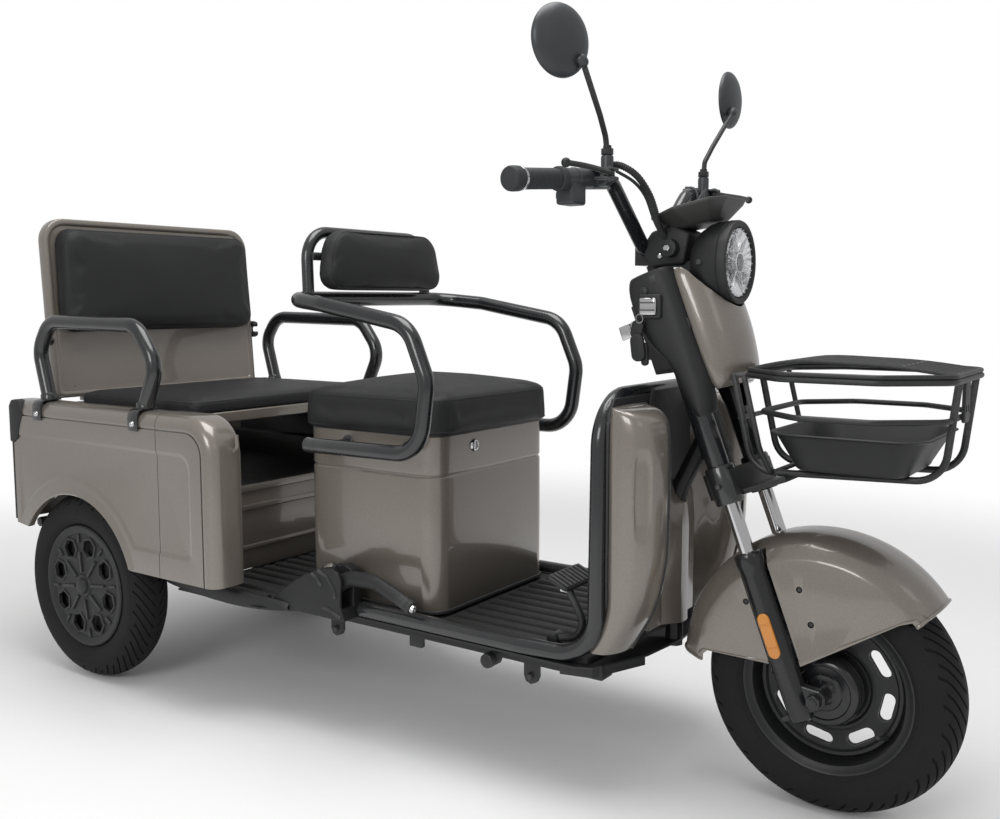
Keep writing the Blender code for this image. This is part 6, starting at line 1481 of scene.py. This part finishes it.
def makeLegReflector(side):
    outline = arcPoints((0.0, 0.0265), 0.0098, 0, 180, 10) + arcPoints((0.0, -0.0265), 0.0098, 180, 360, 10)
    lens = makePlate("legReflector", outline, 0.0, 0.006, "YZ", bevel=0.0022, segments=3)
    bars = [makeBlock("reflectorBar", (0.0052, -0.009, z - 0.001), (0.0072, 0.009, z + 0.001), 0.0005, 1)
            for z in (0.019, -0.019)]
    lens = joinUp("legReflector", [lens] + bars)
    place = onFork(0.112, legLine, side * legSpread) + Vector((0.0, side * 0.0196, 0.0))
    out = Vector((0.0, side, 0.0))
    frameOf = Matrix((out, steerUp.cross(out), steerUp)).transposed().to_4x4()
    return moveBy(lens, Matrix.Translation(place) @ frameOf)


for side, word in ((1, "Left"), (-1, "Right")):
    dress(rename(makeLegReflector(side), "legReflector" + word), "amberLens", "fork_lowers")


# front fender, with a rolled lip, a crease and the notches round the legs

fenderLook = {"radius": 0.256, "half": 0.075, "front": 44.0, "rear": 173.0, "steps": 48, "wall": 0.0016}
fenderHoles = ((0.062, 0.168), (0.062, 0.112), (-0.03, 0.168))        # ahead of the leg and along it


def fenderEdge(angle):      # how far from the axle the side ends, in front of the leg and behind it
    ahead = 0.0535 / max(math.sin(angle - math.radians(32.0)), 0.01)
    behind = 0.0405 / max(math.sin(math.pi - angle), 0.01)
    return min(max(ahead, behind), 0.1955)


def makeFender():
    look = fenderLook
    rows = []
    for i in range(look["steps"] + 1):
        share = i / look["steps"]
        angle = math.radians(look["front"] + (look["rear"] - look["front"]) * share)
        squeeze = 1.0 - 0.14 * max(0.0, 1.0 - share * 4.0) ** 2 - 0.08 * max(0.0, share * 5.0 - 4.0) ** 2
        top = look["radius"] - (0.023 if share < 0.5 else 0.011) * abs(2 * share - 1) ** 1.5
        edge, half = fenderEdge(angle), look["half"]
        side = max(top - 0.036, edge + 0.012)
        profile = [(edge, half + 0.0018), (edge + 0.006, half + 0.0018), (edge + 0.0095, half - 0.0002),
                   (edge + (side - edge) * 0.45, half - 0.0006), (side - 0.004, half - 0.0016),
                   (side, half - 0.003), (side + 0.005, half - 0.0066), (top - 0.0215, half - 0.0125),
                   (top - 0.014, half - 0.019), (top - 0.0075, half - 0.029), (top - 0.003, half - 0.04),
                   (top - 0.0006, half - 0.052), (top, half - 0.064)]
        section = profile + [(top, 0.0)] + [(r, -y) for r, y in reversed(profile)]
        place = Vector((math.cos(angle), 0.0, math.sin(angle)))
        rows.append([frontAxle + place * radius + Vector((0.0, y * squeeze, 0.0)) for radius, y in section])
    shell = giveWall(faceOut(makeShell("frontFender", rows), centre=frontAxle), look["wall"])
    cutters = []
    for side in (1, -1):
        outline = [(legLine + a, b) for a, b in roundedBox((-0.0245, -0.06), (0.0245, 0.262), 0.02, 6)]
        near, far = sorted((side * 0.052, side * 0.105))
        cutters.append(moveBy(makePlate("notch", outline, near, far, "XZ", bevel=0.0), forkPlace))
        for ahead, along in fenderHoles:
            spot = onFork(along, legLine + ahead, 0.0)
            cutters.append(makeRod("fenderHole", spot + Vector((0, side * 0.06, 0)), spot
                                   + Vector((0, side * 0.09, 0)), 0.0052, 20))
    shell = carve(shell, cutters)
    lips = [makeTube("fenderLip", row, 0.0028, bend=0.0, detail=2) for row in (rows[0], rows[-1])]
    return joinUp("frontFender", [shell] + lips)


dress(makeFender(), "taupePaint", "fork_lowers", ("front_fender",), 40.0)
bolts = []
for side in (1, -1):
    for ahead, along in fenderHoles:
        spot = onFork(along, legLine + ahead, side * 0.0715)
        bolts.append(makeTurned("fenderBolt", mm((0, 1.8), (3, 1.8), (3.4, 0.4), (5.2, 0), (5.2, -3),
                    (0, -3)), spot, (0, side, 0), 20))
    brace = [onFork(0.168, legLine + 0.062, side * 0.069), onFork(0.16, legLine + 0.01, side * 0.056),
             onFork(0.168, legLine - 0.03, side * 0.069)]
    bolts.append(makeTube("fenderBrace", brace, 0.004, 0.01, detail=2))
dress(joinUp("fenderBolts", bolts), "steelBlack", "fork_lowers")
print("fork ready")


# column cover, head cover, lamp and dash

dress(refined("columnCover", "column_cover", 0.0035, 3), "plasticBlack", "steering", ("column_cover",))
dress(refined("ignitionKey", "ignition_key", 0.001, 2), "chrome", "ignition_key", ("ignition_key",))
ignitionRing = makeTurned("ignitionRing", mm((0, 16.4), (6.6, 16.4), (8.2, 15.8), (12, 15), (13.4, 13.6),
            (13.4, 2), (0, 2)), onFork(0.655, -0.05, -0.018), -steerAhead, 36)
dress(ignitionRing, "chrome", "steering")


def makeFlank():        # the black side panel between the column and the painted head cover
    rows = []
    for along, rear, front in ((0.722, -0.016, 0.056), (0.718, -0.02, 0.06), (0.7, -0.028, 0.0622),
            (0.65, -0.028, 0.0622), (0.61, -0.02, 0.0622), (0.585, -0.004, 0.0622), (0.56, 0.006, 0.062),
            (0.53, 0.008, 0.0622), (0.505, 0.011, 0.0618), (0.48, 0.014, 0.057), (0.47, 0.02, 0.052)):
        rows.append([(rear, 0.062, along), (rear + 0.003, 0.082, along), (rear + 0.01, 0.0925, along),
                     (rear + 0.018, 0.0958, along), (0.5 * (rear + front), 0.0968, along),
                     (front - 0.014, 0.0945, along), (front - 0.005, 0.087, along), (front, 0.077, along),
                     (front + 0.0008, 0.06, along)])
    return moveBy(makeShell("headFlank", rows, wall=0.0022, offset=-1.0, level=1), forkPlace)


dressBoth(makeFlank(), "headFlankRight", "plasticBlack", ("steering",), (), 40.0)
studs = [makeTurned("flankBolt", mm((0, 4.6), (5.2, 4.4), (7.2, 3), (8, 0), (0, 0)),
                    onFork(0.694, 0.012, side * 0.0962), (0, side, 0), 20) for side in (1, -1)]
dress(joinUp("flankBolts", studs), "steelBlack", "steering")


lampCentre = (1.272, 0, 0.88)


def makeHeadCover():
    shape = mm((0, 75.5), (6, 76.8), (14, 76.2), (24, 71.5), (34, 64), (42, 54.5), (47.5, 44), (50.5, 34),
               (53, 22), (54.5, 11), (55, 0))
    rows = []
    steps = smoothPath([Vector(row) for row in ((0.506, 0.55, 0.8), (0.512, 0.74, 0.86),
                (0.52, 0.86, 0.905), (0.545, 0.98, 0.96), (0.6, 1.1, 1.0), (0.66, 1.08, 1.0),
                (0.69, 0.98, 0.995), (0.704, 0.9, 0.975), (0.713, 0.82, 0.93), (0.718, 0.76, 0.86))], 4)
    for along, bulge, spread in steps:
        half = [(0.0622 + ahead * bulge, -y * spread, along) for ahead, y in shape]
        rows.append(half + [(x, -y, z) for x, y, z in reversed(half[:-1])])
    cover = moveBy(giveWall(faceOut(makeShell("headCover", rows), forwards), 0.0025), forkPlace)
    return carve(cover, [makeRod("lampCutter", (1.195, 0, lampCentre[2]), (1.395, 0, lampCentre[2]), 0.0715,
                64)])


dress(makeHeadCover(), "taupePaint", "steering", ("head_cover",), 40.0)
chinHalf = mm((0, 75.5), (30, 68), (46, 48), (53, 22))
chinEdge = chinHalf + [(0.055, 0.0)] + [(x, -y) for x, y in reversed(chinHalf)]
chinRows = [[(0.0622 + x * 0.55, -y * 0.8, 0.506) for x, y in chinEdge],
            [(0.064, 0.015 * (i - 4), 0.5075) for i in range(9)]]
chin = makeShell("headChin", chinRows, wall=0.002, offset=0.0)
dress(moveBy(chin, forkPlace), "taupePaint", "steering", (), 40.0)


def makeLamp():
    bowl = makeTurned("headlightBowl", mm((0, 0), (38, 0.6), (45, 3), (56, 14), (64, 27), (67.2, 38),
                (68.4, 56), (67.6, 57), (69, 58.5), (69, 69), (67.6, 72), (65, 73), (61, 72.2), (58, 70),
                (56.6, 67), (56.2, 60), (0, 56)), lampCentre, forwards, 96)
    neck = makeBlock("lampNeck", (0.0525, -0.026, 0.701), (0.098, 0.026, 0.726), 0.003, 3)
    moveBy(neck, forkPlace)
    screws = [makeTurned("lampScrew", mm((0, 4), (4, 3.6), (5.2, 0), (0, 0)), (1.3, side * 0.0655, 0.88),
                         (0, side, 0.0), 16) for side in (1, -1)]
    return joinUp("headlightHousing", [bowl, neck] + screws)


dress(makeLamp(), "plasticBlack", "steering", ("headlight_housing",))


def makeReflector():    # a fluted bowl round a small projector
    rows = []
    flutes, mouth, throat = 30, 0.056, 0.016
    for k in range(9):
        radius = throat + (mouth - throat) * k / 8
        depth = 0.0685 - 0.0125 * (1.0 - (radius / mouth) ** 2)
        row = []
        for i in range(flutes * 4):
            angle = 2 * math.pi * i / (flutes * 4)
            wave = (abs((i % 4) - 2) / 2 - 0.5) * 0.0042 * min(1.0, k / 2)
            row.append((depth + wave, radius * math.cos(angle), radius * math.sin(angle)))
        rows.append(row)
    bowl = faceOut(makeShell("reflectorBowl", rows, ring=True), forwards)
    ring = makeTurned("projectorRing", mm((16.5, 56), (18, 64), (17, 70), (14.5, 70.5), (13.8, 64),
                (13.8, 56)), (0, 0, 0), forwards, 48, closed=True)
    bars = [moveBy(makeBlock("lampBar", (0.064, -0.0016, 0.018), (0.07, 0.0016, 0.054), 0.0005, 1),
                   rotation(a, "X")) for a in (20, 80, 140, 200, 260, 320)]
    return moveBy(joinUp("headlightReflector", [bowl, ring] + bars), Matrix.Translation(lampCentre))


dress(makeReflector(), "chrome", "steering", (), 20.0)
bulb = makeTurned("headlightProjector", mm((0, 69), (5, 68.2), (9.5, 65.5), (12.5, 61), (13.8, 56),
            (0, 56)), lampCentre, forwards, 40)
dress(bulb, "clearGlass", "steering", (), 40.0)
lens = makeTurned("headlightLens", mm((0, 76.9), (14, 76.6), (28, 75.7), (40, 74.2), (50, 71.6), (55.3, 69),
            (55.3, 67.8), (50, 70.2), (40, 72.7), (28, 74.2), (14, 75.1), (0, 75.4)), lampCentre, forwards,
                  64)
dress(lens, "clearGlass", "steering", ("headlight_lens",), 40.0)
print("lamp ready")


# dash panel, a boat-shaped board with a dark face and a paler underside, the paler grey being painted bounce
# light from the floor

dashPlace = Matrix.Translation((1.206, 0, 0.9415)) @ rotation(-13.0)
dashCorners = mm((0, 48), (56, 81), (118, 71), (134, 40), (134, -40), (118, -71), (56, -81), (0, -48))
dashEdge = [(p.x, p.y) for p in roundCorners([(x, y, 0) for x, y in dashCorners], 0.01, 5, closed=True)]


def insetOutline(outline, share, shift=0.0):
    middle = sum((Vector(p) for p in outline), Vector((0, 0))) / len(outline)
    return [tuple(middle + (Vector(p) - middle) * share + Vector((shift, 0))) for p in outline]


def makeDash():
    rows = []
    for share, z in ((0.0, 0.0142), (0.84, 0.0142), (0.86, 0.0152), (0.98, 0.0152), (1.0, 0.0142),
                     (1.0, 0.0112), (0.985, 0.0098), (0.56, -0.012), (0.5, -0.015), (0.42, -0.016),
                     (0.0, -0.016)):
        rows.append([(x, y, z) for x, y in insetOutline(dashEdge, share)])
    panel = makeShell("dashPanel", rows, ring=True)
    neck = makeBlock("dashNeck", (1.2075, -0.022, 0.901), (1.238, 0.022, 0.962), 0.004, 3)
    return joinUp("dashPanel", [moveBy(panel, dashPlace), neck])


dress(makeDash(), "dashPaintedBounceGrey", "steering", ("dash_panel",), 40.0)
glass = makePlate("dashGlass", insetOutline(dashEdge, 0.66, -0.004), 0.0135, 0.0152, "XY", bevel=0.0006)
dress(moveBy(glass, dashPlace), "plasticGloss", "steering", (), 40.0)
for side in (0.046, -0.046):
    stud = makeTurned("dashStud", mm((0, 2.6), (5, 2), (6.2, 0), (0, 0)), (0.036, side, 0.0148), upwards, 24)
    dress(moveBy(stud, dashPlace), "chrome", "steering", (), 30.0)


# handlebar, grips, perches and levers

barLeft = mm((1180, 20, 902), (1180, 145, 1012), (1150, 379, 993))
barWay = (Vector(barLeft[2]) - Vector(barLeft[1])).normalized()
leverHinge = Vector((0.036, 0, 0.006))      # from the bar's axis


def barSpot(y):     # on the bar's axis, this far from the middle
    return Vector(barLeft[1]) + barWay * ((y - barLeft[1][1]) / barWay.y)


def makeBar():
    path = [(x, -y, z) for x, y, z in reversed(barLeft)] + barLeft
    parts = [makeTube("handlebar", path, 0.0124, bend=0.045, steps=9, detail=5)]
    for y in (0.0125, -0.0125):
        for x in (1.168, 1.192):
            parts.append(makeRod("clampBolt", (x, y, 0.9185), (x, y, 0.9235), 0.0042, 12, bevel=0.0008))
    return joinUp("handlebar", parts)


def makeGrip(name):
    length, core = 0.11227 + 0.008, 0.0158
    profile = [(0.0, length), (core - 0.001, length), (core + 0.0012, length - 0.001),
               (core + 0.0024, length - 0.0035), (core + 0.0028, length - 0.009),
               (core + 0.0026, length - 0.019), (core + 0.001, length - 0.022),
               (core - 0.0008, length - 0.0232), (core - 0.0008, length - 0.0262), (core, length - 0.028)]
    steps = 30
    for i in range(steps + 1):
        t = length - 0.03 - (length - 0.046) * i / steps
        profile.append((core + (0.0 if i % 2 else -0.0008), t))
    profile += [(core - 0.0006, 0.012), (core + 0.0022, 0.0105), (core + 0.003, 0.008),
                (core + 0.003, 0.0012), (core + 0.0022, 0.0), (0.0, 0.0)]
    grip = makeTurned(name, profile, (0, 0, 0), upwards, 40)
    ring = makeTurned(name + "Ring", [(core + 0.0012, length - 0.0268), (core + 0.0016, length - 0.0264),
                (core + 0.0016, length - 0.023), (core + 0.0012, length - 0.0226),
                (core - 0.001, length - 0.0226), (core - 0.001, length - 0.0268)], (0, 0, 0), upwards, 40,
                      closed=True)
    place = Matrix.Translation(barSpot(0.268)) @ turnTo(barWay)
    return moveBy(grip, place), moveBy(ring, place)


def makePerch():
    sleeve = makeTurned("perch", mm((12.5, 0), (15.5, 0), (16.5, 1), (16.5, 40), (16, 41.5), (16, 42.5),
                (16.5, 44), (16.5, 106.8), (15.5, 107.8), (12.5, 107.8)), barSpot(0.16), barWay, 36)
    case = makeBlock("perchCase", (-0.018, -0.022, -0.04), (0.014, 0.019, 0.004), 0.005, 4)
    case = moveTo(case, barSpot(0.243))
    boss = makeTurned("perchBoss", mm((0, 0), (7.5, 0), (9.5, -1.5), (10, -6), (9.5, -40), (0, -40)),
                      (1.195, 0.182, 1.044), upwards, 32)
    strap = makePlate("perchStrap", mm((-18.5, -13), (22, -13), (30, -4), (30, 8), (18, 16.5),
                (-18.5, 16.5)), -0.011, 0.011, "XZ", bevel=0.003, segments=3)
    strap = moveTo(strap, barSpot(0.184))
    pivot = barSpot(0.2) + leverHinge
    ears = [makeBlock("perchEar", tuple(pivot + Vector((-0.034, -0.016, low))),
                      tuple(pivot + Vector((0.009, 0.01, high))), 0.0022, 2)
            for low, high in ((-0.01, -0.0043), (0.0043, 0.009))]
    pin = makeRod("perchPin", pivot + Vector((0, 0, -0.012)), pivot + Vector((0, 0, 0.011)), 0.004, 20,
                  bevel=0.0008)
    seam = makeTurned("perchSeam", mm((16.8, 78), (17.4, 78.5), (17.4, 81.5), (16.8, 82)), barSpot(0.16),
                      barWay, 36, closed=True)
    switch = [makeBlock("switchPad", (-0.0215, -0.012, -0.03), (-0.017, 0.0, -0.018), 0.0012, 2),
              makeBlock("switchPad", (-0.0205, 0.004, -0.03), (-0.017, 0.014, -0.02), 0.0012, 2)]
    switch = [moveTo(piece, barSpot(0.243)) for piece in switch]
    screws = [makeRod("strapBolt", barSpot(y) + Vector((-0.012, 0, 0.014)), barSpot(y)
                      + Vector((-0.012, 0, 0.0195)), 0.0036, 12, bevel=0.0006) for y in (0.178, 0.19)]
    return joinUp("perchLeft", [sleeve, case, boss, strap, pin, seam] + ears + switch + screws)


def makeLever():
    pivot = barSpot(0.2) + leverHinge
    tip = Vector((1.219, 0.345, 1.014))
    eye = makeRod("leverEye", pivot - Vector((0, 0, 0.0038)), pivot + Vector((0, 0, 0.0038)), 0.0085, 28,
                  bevel=0.001)
    path = [pivot + Vector((0.003, 0.006, 0)), pivot + Vector((0.009, 0.03, 0)), tip
            + Vector((0.004, -0.05, 0)), tip]
    path = smoothPath(path, 8)
    radii = [1.35 - 0.35 * min(1.0, k / 8) for k in range(len(path))]
    blade = makeTube("brakeLever", path, 0.0042, bend=0.0, detail=3, radii=radii)
    ball = makeBall("leverBall", tip, 0.007, 14)
    return joinUp("brakeLeverLeft", [eye, blade, ball])


dress(makeBar(), "tubeBlack", "steering", ("handlebar",))
for side, word, body, node in ((1, "Left", "steering", "grip_left"),
        (-1, "Right", "throttle_grip", "throttle_grip")):
    grip, ring = makeGrip("grip" + word)
    dress(onSide(grip, side), "gripRubber", body, (node,))
    dress(rename(onSide(ring, side), "gripRing" + word), "chrome", body)
perch, lever = makePerch(), makeLever()
dressBoth(perch, "perchRight", "shellBlack", ("steering",), ("perch_left", "perch_right"))
levers = ("brake_lever_left", "brake_lever_right")
dressBoth(lever, "brakeLeverRight", "steelBlack", levers, levers)


# mirrors on thin cranked stems

# centre, turn, side
mirrorLook = {"Left": ((1.197, 0.312, 1.203), 3.5, 1), "Right": ((1.191, 0.305, 1.196), 18.0, -1)}
stemX, stemY = 1.195, 0.182
mirrorBall = (0.008, -0.029, -0.03)        # from the mirror's centre


def makeMirror(word):
    centre, turn, side = mirrorLook[word]
    place = Matrix.Translation(centre) @ rotation(turn, "Z")
    shell = makeTurned("mirrorHead" + word, mm((0, 9), (12, 8.8), (21.5, 7.5), (33, 5.4), (41.7, 2.2),
                (48, -1.5), (51.7, -5), (53.2, -8), (53.5, -10.5), (53, -11.8), (51.6, -12), (50.5, -11.6),
                (50.2, -10.6), (0, -10.6)), (0, 0, 0), forwards, 72)
    cup = makeTurned("mirrorCup", mm((0, 0), (6.2, 0), (8, 3), (8.8, 9), (7, 13), (0, 14)),
                     (0.01, -0.031, -0.0325), (-0.3, 0.62, 0.72), 28)
    ball = makeBall("mirrorBall", mirrorBall, 0.0085, 14)
    shell = moveBy(joinUp("mirrorHead" + word, [shell, cup, ball]), place)
    glass = moveBy(makeTurned("mirrorGlass" + word, mm((0, -10.5), (50, -10.6), (50, -11.2), (0, -11.8)),
                (0, 0, 0), forwards, 64), place)
    seat = place @ Vector(mirrorBall)
    kink = Vector((1.1945, 0.187, 1.072))
    path = [Vector((stemX, stemY, 1.046)), kink, kink + (seat - kink) * 0.3 + Vector((0.0, -0.003, 0.0)),
            seat + (kink - seat).normalized() * 0.004]
    stem = makeTube("mirrorStem" + word, path, 0.0045, bend=0.02, detail=4)
    nut = makeRod("stemNut", (stemX, stemY, 1.0443), (stemX, stemY, 1.0543), 0.0098, 6, bevel=0.0008)
    lockNut = makeRod("stemNut", (stemX, stemY, 1.0543), (stemX, stemY, 1.059), 0.0066, 24, bevel=0.0008)
    stem = joinUp("mirrorStem" + word, [stem, nut, lockNut])
    for piece in (shell, glass, stem):
        onSide(piece, side)
    headNode, stemNode = "mirror_head_" + word.lower(), "mirror_stem_" + word.lower()
    dress(shell, "shellBlack", headNode, (headNode,), 40.0)
    dress(glass, "mirrorGlass", headNode, (), 40.0)
    dress(stem, "steelBlack", stemNode, (stemNode,), 40.0)


for word in mirrorLook:
    makeMirror(word)
print("handlebar ready")


# basket of bent wire with a moulded tray and a slatted lid

basketLook = {"ahead": 1.7, "behind": 1.398, "wide": 0.165, "end": 0.1, "top": 0.705, "middle": 0.648}


def basketPlan(z, grow):
    look = basketLook
    x0, x1, wide, end = look["behind"] - grow, look["ahead"] + grow, look["wide"] + grow, look["end"] + grow
    half = [(x0, end), (x0 + 0.075, wide), (x1 - 0.085, wide), (x1, end)]
    return [(x, y, z) for x, y in half] + [(x, -y, z) for x, y in reversed(half)]


def makeBasket():
    top, middle = basketPlan(basketLook["top"], 0.0), basketPlan(basketLook["middle"], -0.01)
    middle = [(x + 0.012, y, z) if x < 1.5 else (x, y, z) for x, y, z in middle]
    wires = [makeTube("basket", top, 0.0048, 0.035, closed=True, detail=3, steps=9),
             makeTube("basket", middle, 0.0045, 0.035, closed=True, detail=3, steps=9)]
    for side in (1, -1):
        hoop = [(1.3615, side * 0.06, 0.701), (1.396, side * 0.06, 0.548), (1.682, side * 0.06, 0.558),
                (1.698, side * 0.06, 0.705)]
        wires.append(makeTube("basket", hoop, 0.0055, 0.045, detail=3, steps=9))
        wires.append(makeTube("basket", [(1.363, side * 0.06, 0.699), (1.398, side * 0.06, 0.703)], 0.004,
                              0.0, detail=3))
    rear = mm((1394, -100, 703), (1422, -100, 590), (1430, -70, 549), (1430, 70, 549), (1422, 100, 590),
              (1394, 100, 703))
    wires.append(makeTube("basket", rear, 0.0042, 0.025, detail=3, steps=6))
    wires.append(makeTube("basket", mm((1373.5, -60, 632), (1373.5, 60, 632)), 0.004, 0.0, detail=3))
    plate = makePlate("basket", roundedBox((-0.017, 0.64), (0.017, 0.706), 0.006, 4), 1.6938, 1.699, "YZ",
                      bevel=0.0012)
    slots = [makeBlock("slotCutter", (1.68, y - 0.003, 0.656), (1.71, y + 0.003, 0.666), 0.0)
             for y in (-0.008, 0.008)]
    return joinUp("basket", wires + [carve(plate, slots)])


def makeTray():
    rings = mm((556, 0, 0), (556, 78, 93), (556.6, 81.5, 96.5), (559, 84, 99), (564, 86, 101),
               (608, 110, 121), (611.2, 112.6, 123.6), (612.2, 115, 126), (612.4, 118, 129),
               (613, 118.9, 129.9), (614, 119, 130), (614.8, 118.2, 129.2), (615, 115, 126.2),
               (614.2, 111.2, 122.2), (611, 109, 120), (566, 83.4, 98.4), (561, 80.5, 95.5),
               (559.5, 77, 92), (559, 0, 0))
    rows = []
    for z, x, y in rings:
        corner = 0.05 * max(x, 0.0001) / 0.119
        ring = roundedBox((-x, -y), (x, y), corner, 8)
        rows.append([(1.553 + a, b, z + 0.0052) for a, b in ring]
                    if x else [(1.553, 0.0, z + 0.0052)] * len(ring))
    return makeShell("basketTray", rows, ring=True)


def makeLid():
    z = 0.7126
    wires = [makeTube("basketLid", basketPlan(z, 0.0), 0.0036, 0.035, closed=True, detail=3, steps=9)]
    for i in range(7):
        y = (i - 3) * 0.026
        path = [(1.398, y, z), (1.464, y, z + 0.013), (1.55, y, z + 0.0125), (1.625, y, z + 0.009),
                (1.7, y, z)]
        wires.append(makeTube("basketLid", smoothPath([Vector(p) for p in path], 4), 0.0032, bend=0.0,
                              detail=2))
    for x, lift in ((1.466, 0.0125), (1.622, 0.009)):
        wires.append(makeTube("basketLid", [(x, -0.078, z + lift), (x, 0.078, z + lift)], 0.0032, 0.0,
                              detail=2))
    loops = [makeTube("basketLid", [(1.392, y - 0.009, z - 0.003), (1.392, y + 0.009, z - 0.003)], 0.0054,
                      0.0, detail=3) for y in (-0.06, 0.06)]
    return joinUp("basketLid", wires + loops)


dress(makeBasket(), "steelBlack", "steering", ("basket",))
dress(makeTray(), "plasticBlack", "steering", ("basket_tray",))
dress(makeLid(), "steelBlack", "basket_lid", ("basket_lid",))
print("basket ready")


# cables, the bracket under the bar, the lock and its keys

def makeLoom():
    points = mm((1192.5, -171.6, 1030), (1208, -159, 1029), (1222.8, -135, 1014.7), (1226.6, -100, 989.2),
                (1227.8, -80, 963.5), (1224.2, -65, 946.8), (1222.5, -40, 930), (1222.5, -23.4, 918))
    path = smoothPath([Vector(p) for p in points], 14)
    return makeTube("cableLoom", path, 0.006, bend=0.0, detail=2,
                    radii=[1.0 if i % 2 else 0.84 for i in range(len(path))])


dress(makeLoom(), "plasticBlack", "steering", ("cable_loom",), 40.0)


def makeCables():
    half = mm((1205, 170, 1020), (1215, 130, 1006.3), (1218.5, 95, 985), (1218.1, 60, 947.4),
              (1217, 19, 930))
    paths = [smoothPath([Vector((x, side * y, z)) for x, y, z in half], 8) for side in (1, -1)]
    return joinUp("barCables", [makeTube("barCable", path, 0.0027, bend=0.0, detail=2) for path in paths])


dress(makeCables(), "gripRubber", "steering", (), 40.0)


barBracket = [makePlate("barBracket", mm((1184, 890), (1196, 874), (1258, 878), (1268, 930), (1236, 944),
            (1198, 934), (1184, 914)), -0.034, 0.034, "XZ", bevel=0.005, segments=3)]
barBracket.append(makeRod("barBracket", (1.236, -0.05, 0.905), (1.236, 0.05, 0.905), 0.015, 24, bevel=0.002))
dress(joinUp("barBracket", barBracket), "plasticBlack", "steering")
bracketBolts = []
for side in (1, -1):
    bracketBolts.append(makeTurned("bracketBolt", mm((0, 6), (4.6, 6), (6.2, 4.6), (6.6, 0), (0, 0)),
                (1.236, side * 0.05, 0.905), (0, side, 0), 6))
    bracketBolts.append(makeTurned("bracketBolt", mm((0, 4), (3.4, 4), (4.6, 3), (5, 0), (0, 0)),
                (1.216, side * 0.0335, 0.892), (0, side, 0), 20))
dress(joinUp("bracketBolts", bracketBolts), "chrome", "steering")
lockFrame = [makeBlock("lockFrame", (1.212, -0.104, 0.789), (1.251, -0.094, 0.829), 0.004, 3)]
lockFrame += [makeBlock("lockFrame", (1.217, -0.113, z - 0.001), (1.245, -0.105, z + 0.001), 0.0004, 1)
              for z in (0.803, 0.815)]
lockFace = makeBlock("lockFace", (1.2165, -0.1115, 0.7945), (1.246, -0.103, 0.823), 0.003, 3)
for piece, finish in ((joinUp("lockFrame", lockFrame), "plasticBlack"), (lockFace, "chrome")):
    dress(piece, finish, "steering")


def makeKeys():         # plain fobs and a tag hanging chain-like under the lock
    ring = makeTurned("keyRing", mm((6.6, -0.7), (7.8, -0.7), (7.8, 0.7), (6.6, 0.7)),
                      (1.216, -0.107, 0.789), (0.2, 1, 0.0), 32, closed=True)
    fobs = []
    for x, y, low, high, half, lean in ((1.21, -0.103, 0.756, 0.787, 0.0105, 12.0),
            (1.214, -0.108, 0.719, 0.764, 0.012, -7.0), (1.223, -0.101, 0.712, 0.75, 0.0062, -4.0)):
        tall = (high - low) / 2
        outline = roundedBox((-half, -tall), (half, tall), half * 0.92, 6)
        fob = makePlate("keyFob", outline, -0.0036, 0.0036, "XZ", bevel=0.0018, segments=3)
        fobs.append(moveBy(fob, Matrix.Translation((x, y, low + tall)) @ rotation(lean)))
    return ring, joinUp("keyFobs", fobs)


ring, fobs = makeKeys()
dress(ring, "chrome", "steering")
dress(fobs, "plasticBlack", "steering")


print("pieces ready")
